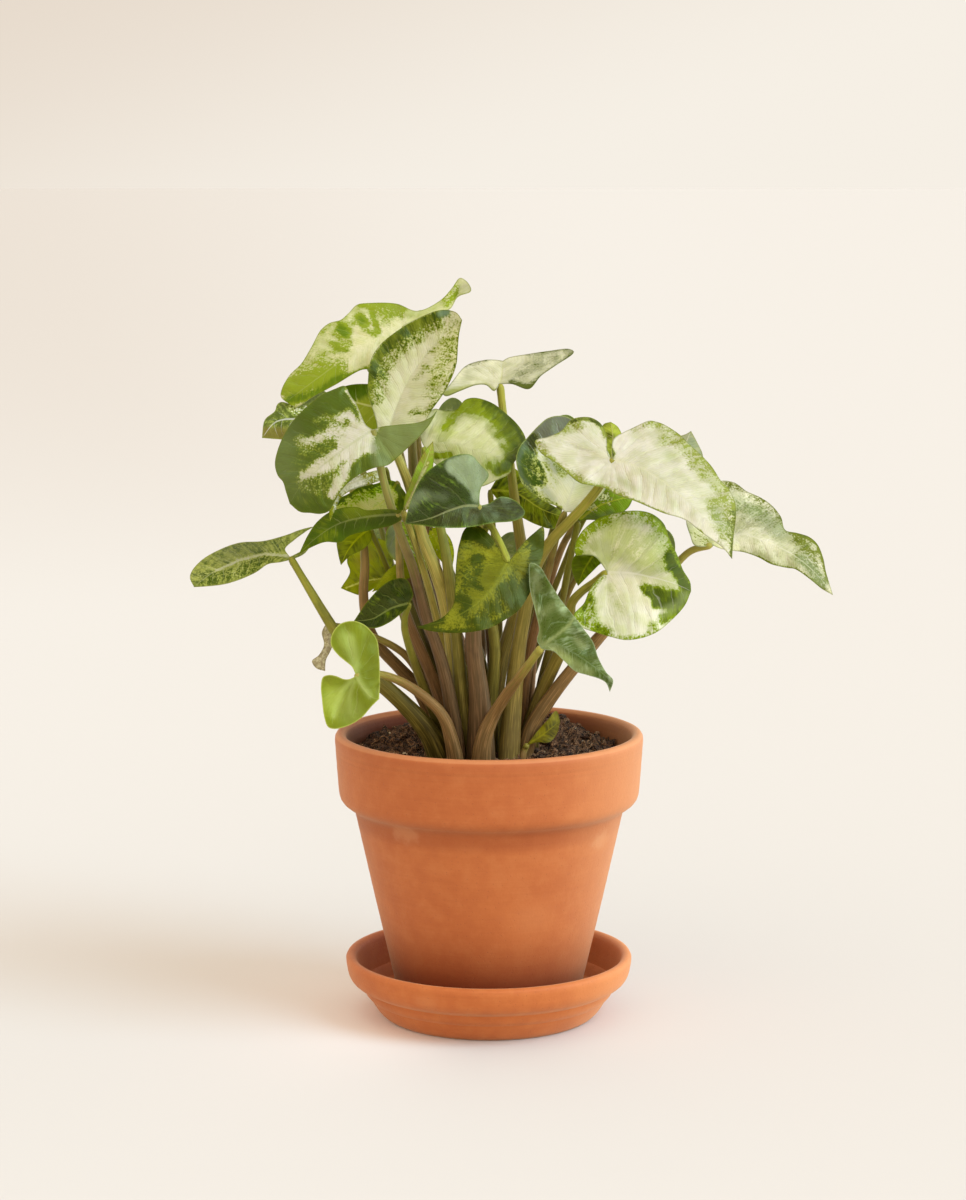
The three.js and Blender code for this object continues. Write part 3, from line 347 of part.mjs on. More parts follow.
// a closed shell from a front skin: the same outline moved back by the blade's thickness
function bladeGeometry(leaf) {
  const n = leaf.edge.length, m = leaf.mid.length, t = leaf.tip;
  const skin = [...leaf.edge, ...leaf.mid];
  const flat = skin.map(([x, y, z]) => new THREE.Vector2(x, z + 0.19 * y));
  const sideA = [...Array(t + 1).keys()].concat([...Array(m).keys()].map((k) => n + m - 1 - k));
  const sideB = [...Array(n - t).keys()].map((k) => t + k).concat([0], [...Array(m).keys()].map((k) => n + k));
  const tris = [];
  for (const loop of [sideA, sideB]) {
    const shape = loop.map((k) => flat[k]);
    const clockwise = THREE.ShapeUtils.isClockWise(shape);
    const order = clockwise ? loop.slice().reverse() : loop;
    for (const [a, b, c] of THREE.ShapeUtils.triangulateShape(order.map((k) => flat[k]), [])) {
      tris.push([order[a], order[b], order[c]]);
    }
  }
  const count = skin.length, out = [];
  for (const [x, y, z] of skin) out.push([x, y - BLADE_HALF, z - 0.19 * -BLADE_HALF * -1]);
  for (const [x, y, z] of skin) out.push([x, y + BLADE_HALF, z - 0.19 * BLADE_HALF]);
  const faces = [];
  for (const [a, b, c] of tris) faces.push([a, b, c], [count + a, count + c, count + b]);
  const ringArea = THREE.ShapeUtils.area(leaf.edge.map((_, k) => flat[k]));
  for (let k = 0; k < n; k++) {
    const a = k, b = (k + 1) % n;
    if (ringArea > 0) faces.push([a, count + a, b], [b, count + a, count + b]);
    else faces.push([b, count + b, a], [a, count + b, count + a]);
  }
  return bufferFrom(out, faces);
}

// a tapered tube along its centre line, with a level foot
function stalkGeometry(path) {
  const pts = path.map((p) => new THREE.Vector3(p[0], p[1], p[2]));
  const verts = [], faces = [];
  let side = new THREE.Vector3(1, 0, 0);
  for (let i = 0; i < pts.length; i++) {
    const last = i === pts.length - 1;
    const dir = new THREE.Vector3().subVectors(pts[Math.min(i + 1, pts.length - 1)], pts[Math.max(i - 1, 0)]).normalize();
    if (last) dir.set(0, 0, -1);
    side = side.clone().addScaledVector(dir, -side.dot(dir)).normalize();
    const other = new THREE.Vector3().crossVectors(dir, side);
    for (let k = 0; k < TUBE_SIDES; k++) {
      const a = (k / TUBE_SIDES) * 2 * Math.PI;
      const v = pts[i].clone().addScaledVector(side, Math.cos(a) * path[i][3]).addScaledVector(other, Math.sin(a) * path[i][3]);
      verts.push([v.x, v.y, last ? pts[i].z : v.z]);
    }
  }
  for (let i = 0; i + 1 < pts.length; i++) {
    for (let k = 0; k < TUBE_SIDES; k++) {
      const a = i * TUBE_SIDES + k, b = i * TUBE_SIDES + ((k + 1) % TUBE_SIDES);
      faces.push([a, b, a + TUBE_SIDES], [b, b + TUBE_SIDES, a + TUBE_SIDES]);
    }
  }
  const first = verts.length;
  verts.push([pts[0].x, pts[0].y, pts[0].z]);
  const end = verts.length;
  const lastPt = pts[pts.length - 1];
  verts.push([lastPt.x, lastPt.y, lastPt.z]);
  const base = (pts.length - 1) * TUBE_SIDES;
  for (let k = 0; k < TUBE_SIDES; k++) {
    const n = (k + 1) % TUBE_SIDES;
    faces.push([first, n, k], [end, base + k, base + n]);
  }
  return bufferFrom(verts, faces);
}

// ---------------------------------------------------------------- saucer
const sr = SAUCER_RADIUS, sh = SAUCER_HEIGHT;
addPiece('saucer', lathe([
  [0, 0], [51.0, 0], [53.0, 0.9], [55.2, 3.6], [58.4, 8.8], [60.8, 13.4], [61.5, 15.2], [64.6, 15.8],
  [67.4, 17.6], [sr - 1.5, 20.6], [sr - 0.5, 26.0], [sr, sh - 1.6], [sr - 0.7, sh - 0.4], [sr - 2.2, sh],
  [sr - 4.2, sh - 0.3], [sr - 5.4, sh - 1.4], [sr - 6.6, 22.0], [sr - 8.8, 13.0], [sr - 10.8, 9.4],
  [sr - 13.4, 7.7], [54.0, SAUCER_FLOOR], [0, SAUCER_FLOOR],
], ROUND), POT_COLOUR, 0.85);

// ---------------------------------------------------------------- pot
const base = SAUCER_FLOOR + GAP, R = POT_RIM_RADIUS, top = POT_RIM_Z;
const floorZ = base + 7.5;
addPiece('pot', lathe([
  [DRAIN_RADIUS, base], [POT_FOOT_RADIUS - 1.2, base], [POT_FOOT_RADIUS, base + 1.2],
  [56.0, 60.0], [65.4, POT_BAND_Z - 0.6], [66.2, POT_BAND_Z + 1.0], [69.0, POT_BAND_Z + 1.8],
  [71.6, POT_BAND_Z + 3.6], [R - 2.1, POT_BAND_Z + 7.0], [R - 1.2, 122.0], [R - 0.2, top - 4.0], [R, top - 2.4],
  [R - 0.8, top - 0.7], [R - 2.6, top], [R - 4.6, top - 0.4], [R - 5.8, top - 1.8], [R - 6.6, top - 8.0],
  [R - 7.8, 108.0], [60.2, 98.0], [POT_FOOT_RADIUS - POT_WALL + 1.5, floorZ + 2.5],
  [POT_FOOT_RADIUS - POT_WALL - 1.5, floorZ], [DRAIN_RADIUS, floorZ], [DRAIN_RADIUS, base],
], ROUND), POT_COLOUR, 0.85);

// ---------------------------------------------------------------- soil
addPiece('soil', lathe([
  [0, floorZ + GAP], [POT_FOOT_RADIUS - POT_WALL - 2.2, floorZ + GAP], [POT_FOOT_RADIUS - POT_WALL + 0.8, floorZ + 2.9],
  [59.5, 98.2], [R - 8.4, 108.2], [R - 7.2, SOIL_Z - 0.6], [60.0, SOIL_Z + 1.2], [54.0, SOIL_Z], [0, SOIL_Z],
], 32), SOIL_COLOUR, 1.0);

// ---------------------------------------------------------------- leaves
for (const leaf of LEAVES) {
  const blade = bladeGeometry(leaf);
  const stalk = stalkGeometry(leaf.stalk);
  if (leaf.joined) {
    addPiece(leaf.name, fromSolid(solid(blade).add(solid(stalk))), leaf.colour, 0.55);
  } else {
    addPiece(`${leaf.name}_blade`, blade, leaf.colour, 0.5);
    addPiece(`${leaf.name}_petiole`, stalk, leaf.stem, 0.6);
  }
}

export default group;
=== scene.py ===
"""Looks for the arrowhead plant in its terracotta pot. Metres, +Z up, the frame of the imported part.

Leaf outlines are given in millimetres on a flat sheet that is seen from EYE. A point of the sheet goes
to the leaf's own depth along the line of sight, so a leaf keeps its outline and has a place in space."""
import bpy, math
import numpy as np
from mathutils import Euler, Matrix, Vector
from mathutils.geometry import delaunay_2d_cdt


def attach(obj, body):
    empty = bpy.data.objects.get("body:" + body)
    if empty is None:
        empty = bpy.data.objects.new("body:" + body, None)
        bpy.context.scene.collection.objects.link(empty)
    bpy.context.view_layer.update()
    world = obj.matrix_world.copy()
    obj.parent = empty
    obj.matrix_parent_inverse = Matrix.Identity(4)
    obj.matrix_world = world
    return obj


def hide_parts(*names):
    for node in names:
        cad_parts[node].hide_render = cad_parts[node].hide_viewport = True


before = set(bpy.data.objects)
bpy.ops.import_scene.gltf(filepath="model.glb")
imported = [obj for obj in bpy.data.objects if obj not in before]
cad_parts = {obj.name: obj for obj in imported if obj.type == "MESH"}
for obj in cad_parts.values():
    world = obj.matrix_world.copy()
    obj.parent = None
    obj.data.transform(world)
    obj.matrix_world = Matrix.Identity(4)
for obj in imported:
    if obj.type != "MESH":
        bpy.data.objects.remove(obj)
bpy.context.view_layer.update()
scene = bpy.context.scene

# ------------------------------------------------------------------ camera
F, S = 3050.0, 0.487
PITCH = math.radians(8.26)
EYE = np.array([-2.9, -1458.5, 416.3])
FW = np.array([0, math.cos(PITCH), -math.sin(PITCH)])
UP = np.array([0, math.sin(PITCH), math.cos(PITCH)])
cam_data = bpy.data.cameras.new("camera")
cam = bpy.data.objects.new("camera", cam_data)
scene.collection.objects.link(cam)
cam.location = [float(v) / 1000 for v in EYE]
cam.rotation_euler = (math.pi / 2 - PITCH, 0, 0)
cam_data.sensor_fit = "AUTO"
cam_data.sensor_width = 36.0
cam_data.lens = F / 1200 * 36
cam_data.clip_start, cam_data.clip_end = 0.05, 60
scene.camera = cam


# ------------------------------------------------------------------ settings
GRAIN = 1.15                     # spacing of the leaf meshes, mm
LEAF_SSS = 0.22
BACK_LOW, BACK_HIGH = (246, 239.5, 229), (231, 218.5, 204)
# FLOOR_FAR: painted shade, the far floor on the left is darker
FLOOR, FLOOR_FAR = (206.9, 200.5, 192.8), (197.8, 188.2, 178)
# GLOW: painted light on the floor round the pot, on its left, right and all round
GLOW = (0.37, 0.09, 0.0)
CLAY = (0.80, 0.79, 0.70)
CEILING, FRONT_SIDE = (1.0, 0.90, 0.79), (1.5, 1.34, 1.16)
RIGHT_SIDE, LEFT_SIDE, SIDE_TOP = (3.6, 3.6, 3.5), (1.6, 1.4, 1.15), (0.25, 0.62)
KEY = (-30, 42, 2.1, 34, (0.47, 0.74, 1.0))     # azimuth, elevation, strength, width in degrees, colour

# ------------------------------------------------------------------ light
scene.view_settings.view_transform = "Standard"
scene.view_settings.look = "None"
scene.view_settings.exposure = 0.0


def lin(c):
    """sRGB 0-255 to linear."""
    c = np.asarray(c, float) / 255
    return tuple(float(v) for v in np.where(c <= 0.04045, c / 12.92, ((c + 0.055) / 1.055) ** 2.4))


def rgba(c):
    return (*lin(c), 1.0)


world = bpy.data.worlds.new("studio")
scene.world = world
world.use_nodes = True
wn = world.node_tree
wn.nodes.clear()
w_out = wn.nodes.new("ShaderNodeOutputWorld")
w_bg = wn.nodes.new("ShaderNodeBackground")
w_co = wn.nodes.new("ShaderNodeTexCoord")
w_sp = wn.nodes.new("ShaderNodeSeparateXYZ")
w_mr = wn.nodes.new("ShaderNodeMapRange")
w_mr.interpolation_type = "SMOOTHSTEP"
w_mr.inputs["From Min"].default_value = -0.02
w_mr.inputs["From Max"].default_value = 0.13
w_mx = wn.nodes.new("ShaderNodeMix")
w_mx.data_type = "RGBA"
w_mx.inputs["A"].default_value = rgba(BACK_LOW)
w_mx.inputs["B"].default_value = rgba(BACK_HIGH)
w_tl = wn.nodes.new("ShaderNodeMath")
w_tl.operation = "MULTIPLY_ADD"
w_tl.inputs[1].default_value = -0.42
wn.links.new(w_co.outputs["Generated"], w_sp.inputs[0])
wn.links.new(w_sp.outputs["X"], w_tl.inputs[0])
wn.links.new(w_sp.outputs["Z"], w_tl.inputs[2])
wn.links.new(w_tl.outputs[0], w_mr.inputs["Value"])
w_m2 = wn.nodes.new("ShaderNodeMapRange")      # only a low band of the backdrop is darker, so the light stays even
w_m2.interpolation_type = "SMOOTHSTEP"
w_m2.inputs["From Min"].default_value = 0.06
w_m2.inputs["From Max"].default_value = 0.22
w_m2.inputs["To Min"].default_value = 1.0
w_m2.inputs["To Max"].default_value = 0.0
w_mu = wn.nodes.new("ShaderNodeMath")
w_mu.operation = "MULTIPLY"
wn.links.new(w_sp.outputs["Z"], w_m2.inputs["Value"])
wn.links.new(w_mr.outputs["Result"], w_mu.inputs[0])
wn.links.new(w_m2.outputs["Result"], w_mu.inputs[1])
wn.links.new(w_mu.outputs[0], w_mx.inputs["Factor"])


def world_ramp(socket, lo, hi, a=0.0, b=1.0):
    f = wn.nodes.new("ShaderNodeMapRange")
    f.interpolation_type = "SMOOTHSTEP"
    for key, v in (("From Min", lo), ("From Max", hi), ("To Min", a), ("To Max", b)):
        f.inputs[key].default_value = v
    wn.links.new(socket, f.inputs["Value"])
    return f.outputs["Result"]


def world_part(factor, colour, below):
    x = wn.nodes.new("ShaderNodeMix")
    x.data_type = "RGBA"
    x.clamp_result = False
    x.inputs["B"].default_value = (*colour, 1.0)
    wn.links.new(factor, x.inputs["Factor"])
    wn.links.new(below, x.inputs["A"])
    return x.outputs["Result"]


def world_times(a, b):
    m = wn.nodes.new("ShaderNodeMath")
    m.operation = "MULTIPLY"
    wn.links.new(a, m.inputs[0])
    wn.links.new(b, m.inputs[1])
    return m.outputs[0]


# a bright ceiling, a low bright window on the right and a dimmer room on the left
w_low = world_ramp(w_sp.outputs["Z"], SIDE_TOP[0], SIDE_TOP[1], 1.0, 0.0)
w_c = world_part(world_ramp(w_sp.outputs["Z"], 0.20, 0.85), CEILING, w_mx.outputs["Result"])
w_c = world_part(world_ramp(w_sp.outputs["Y"], 0.10, -0.70), FRONT_SIDE, w_c)
w_c = world_part(world_times(world_ramp(w_sp.outputs["X"], 0.30, 0.95), w_low), RIGHT_SIDE, w_c)
w_c = world_part(world_times(world_ramp(w_sp.outputs["X"], -0.30, -0.95), w_low), LEFT_SIDE, w_c)
wn.links.new(w_c, w_bg.inputs["Color"])
w_bg.inputs["Strength"].default_value = 1.0
wn.links.new(w_bg.outputs[0], w_out.inputs["Surface"])


def sun(name, azimuth, elevation, strength, angle, colour):
    d = bpy.data.lights.new(name, "SUN")
    d.energy = strength
    d.angle = math.radians(angle)
    d.color = colour
    o = bpy.data.objects.new(name, d)
    scene.collection.objects.link(o)
    a, e = math.radians(azimuth), math.radians(elevation)
    to = Vector((math.cos(a) * math.cos(e), math.sin(a) * math.cos(e), math.sin(e)))
    o.rotation_euler = to.to_track_quat("Z", "Y").to_euler()
    return o


sun("key", *KEY)

# ------------------------------------------------------------------ meshes
def mesh_object(name, verts, faces, attrs=None, sharp=None, slots=None, smooth=True):
    """verts in mm."""
    me = bpy.data.meshes.new(name)
    v = np.asarray(verts, float) / 1000
    if isinstance(faces, np.ndarray):
        faces = faces.tolist()
    me.from_pydata(v.tolist(), [], faces)
    me.validate(clean_customdata=False)
    me.polygons.foreach_set("use_smooth", np.full(len(me.polygons), smooth))
    for key, val in (attrs or {}).items():
        val = np.asarray(val, np.float32)
        at = me.attributes.new(key, "FLOAT_VECTOR", "POINT")
        at.data.foreach_set("vector", val.reshape(-1))
    if slots is not None:
        me.polygons.foreach_set("material_index", np.asarray(slots, np.int32))
    if sharp is not None and len(sharp):
        ev = np.empty(len(me.edges) * 2, np.int32)
        me.edges.foreach_get("vertices", ev)
        ev = np.sort(ev.reshape(-1, 2), 1)
        n = len(v) + 1
        key = ev[:, 0].astype(np.int64) * n + ev[:, 1]
        sk = np.sort(np.asarray(sharp), 1)
        want = set((sk[:, 0].astype(np.int64) * n + sk[:, 1]).tolist())
        me.edges.foreach_set("use_edge_sharp", np.array([k in want for k in key.tolist()]))
    me.update()
    ob = bpy.data.objects.new(name, me)
    scene.collection.objects.link(ob)
    return ob


def smooth01(x, lo, hi):
    t = np.clip((x - lo) / (hi - lo), 0, 1)
    return t * t * (3 - 2 * t)


def catmull(P, step):
    """A centripetal Catmull-Rom curve through P, with points about step apart."""
    P = np.asarray(P, float)
    if len(P) == 2:
        n = max(2, int(np.linalg.norm(P[1] - P[0]) / step) + 1)
        return P[0] + (P[1] - P[0]) * np.linspace(0, 1, n)[:, None]
    Q = np.vstack([2 * P[0] - P[1], P, 2 * P[-1] - P[-2]])
    out = []
    for i in range(1, len(Q) - 2):
        p0, p1, p2, p3 = Q[i - 1], Q[i], Q[i + 1], Q[i + 2]
        d = lambda a, b: max(np.linalg.norm(b - a), 1e-6) ** 0.5
        t0 = 0.0
        t1 = t0 + d(p0, p1)
        t2 = t1 + d(p1, p2)
        t3 = t2 + d(p2, p3)
        t = np.linspace(t1, t2, 14, endpoint=False)[:, None]
        a1 = (t1 - t) / (t1 - t0) * p0 + (t - t0) / (t1 - t0) * p1
        a2 = (t2 - t) / (t2 - t1) * p1 + (t - t1) / (t2 - t1) * p2
        a3 = (t3 - t) / (t3 - t2) * p2 + (t - t2) / (t3 - t2) * p3
        b1 = (t2 - t) / (t2 - t0) * a1 + (t - t0) / (t2 - t0) * a2
        b2 = (t3 - t) / (t3 - t1) * a2 + (t - t1) / (t3 - t1) * a3
        out.append((t2 - t) / (t2 - t1) * b1 + (t - t1) / (t2 - t1) * b2)
    out = np.vstack(out + [P[-1:]])
    s = np.r_[0, np.cumsum(np.linalg.norm(np.diff(out, axis=0), axis=1))]
    n = max(4, int(s[-1] / step) + 1)
    u = np.linspace(0, s[-1], n)
    return np.stack([np.interp(u, s, out[:, k]) for k in range(P.shape[1])], -1)


def lay(xz, y):
    """Sheet points (mm) at depth y (mm) to points in space (mm)."""
    u = xz[:, 0] / S / F
    v = xz[:, 1] / S / F
    d = FW + UP * v[:, None]
    d[:, 0] += u
    t = (y - EYE[1]) / d[:, 1]
    return EYE + d * t[:, None]


def inside(poly, p):
    x, y = p[:, 0], p[:, 1]
    r = np.zeros(len(p), bool)
    x1, y1 = poly[-1]
    for x2, y2 in poly:
        c = (y1 > y) != (y2 > y)
        if c.any():
            xi = (x2 - x1) * (y - y1) / (y2 - y1 + 1e-30) + x1
            r ^= c & (x < xi)
        x1, y1 = x2, y2
    return r


def to_curve(P, q):
    """Nearest point index and distance from each q to the points P."""
    k = np.empty(len(q), int)
    d = np.empty(len(q))
    for i in range(0, len(q), 2000):
        dd = ((q[i:i + 2000, None] - P[None]) ** 2).sum(-1)
        k[i:i + 2000] = dd.argmin(1)
        d[i:i + 2000] = np.sqrt(dd.min(1))
    return k, d


def to_segments(P, q):
    """Distance from each q to the polyline P."""
    P = np.asarray(P, float)
    best = np.full(len(q), 1e9)
    if len(P) == 1:
        return np.linalg.norm(q - P[0], axis=1)
    for a, b in zip(P[:-1], P[1:]):
        ab = b - a
        t = np.clip(((q - a) @ ab) / (ab @ ab + 1e-12), 0, 1)
        best = np.minimum(best, np.linalg.norm(q - a - t[:, None] * ab, axis=1))
    return best


def normals(v, f):
    n = np.cross(v[f[:, 1]] - v[f[:, 0]], v[f[:, 2]] - v[f[:, 0]])
    out = np.zeros_like(v)
    for k in range(3):
        np.add.at(out, f[:, k], n)
    return out / (np.linalg.norm(out, axis=1)[:, None] + 1e-12)


def value_noise(x, y, seed):
    """Smooth 2-D noise in 0..1."""
    xi, yi = np.floor(x).astype(np.int64), np.floor(y).astype(np.int64)
    xf, yf = x - xi, y - yi

    def hsh(a, b):
        n = (a * 374761393 + b * 668265263 + seed * 1442695041) & 0x7FFFFFFF
        n = ((n ^ (n >> 13)) * 1274126177) & 0x7FFFFFFF
        return ((n ^ (n >> 16)) & 0xFFFF) / 65535.0

    u, v = xf * xf * (3 - 2 * xf), yf * yf * (3 - 2 * yf)
    a, b = hsh(xi, yi), hsh(xi + 1, yi)
    c, d = hsh(xi, yi + 1), hsh(xi + 1, yi + 1)
    return (a * (1 - u) + b * u) * (1 - v) + (c * (1 - u) + d * u) * v


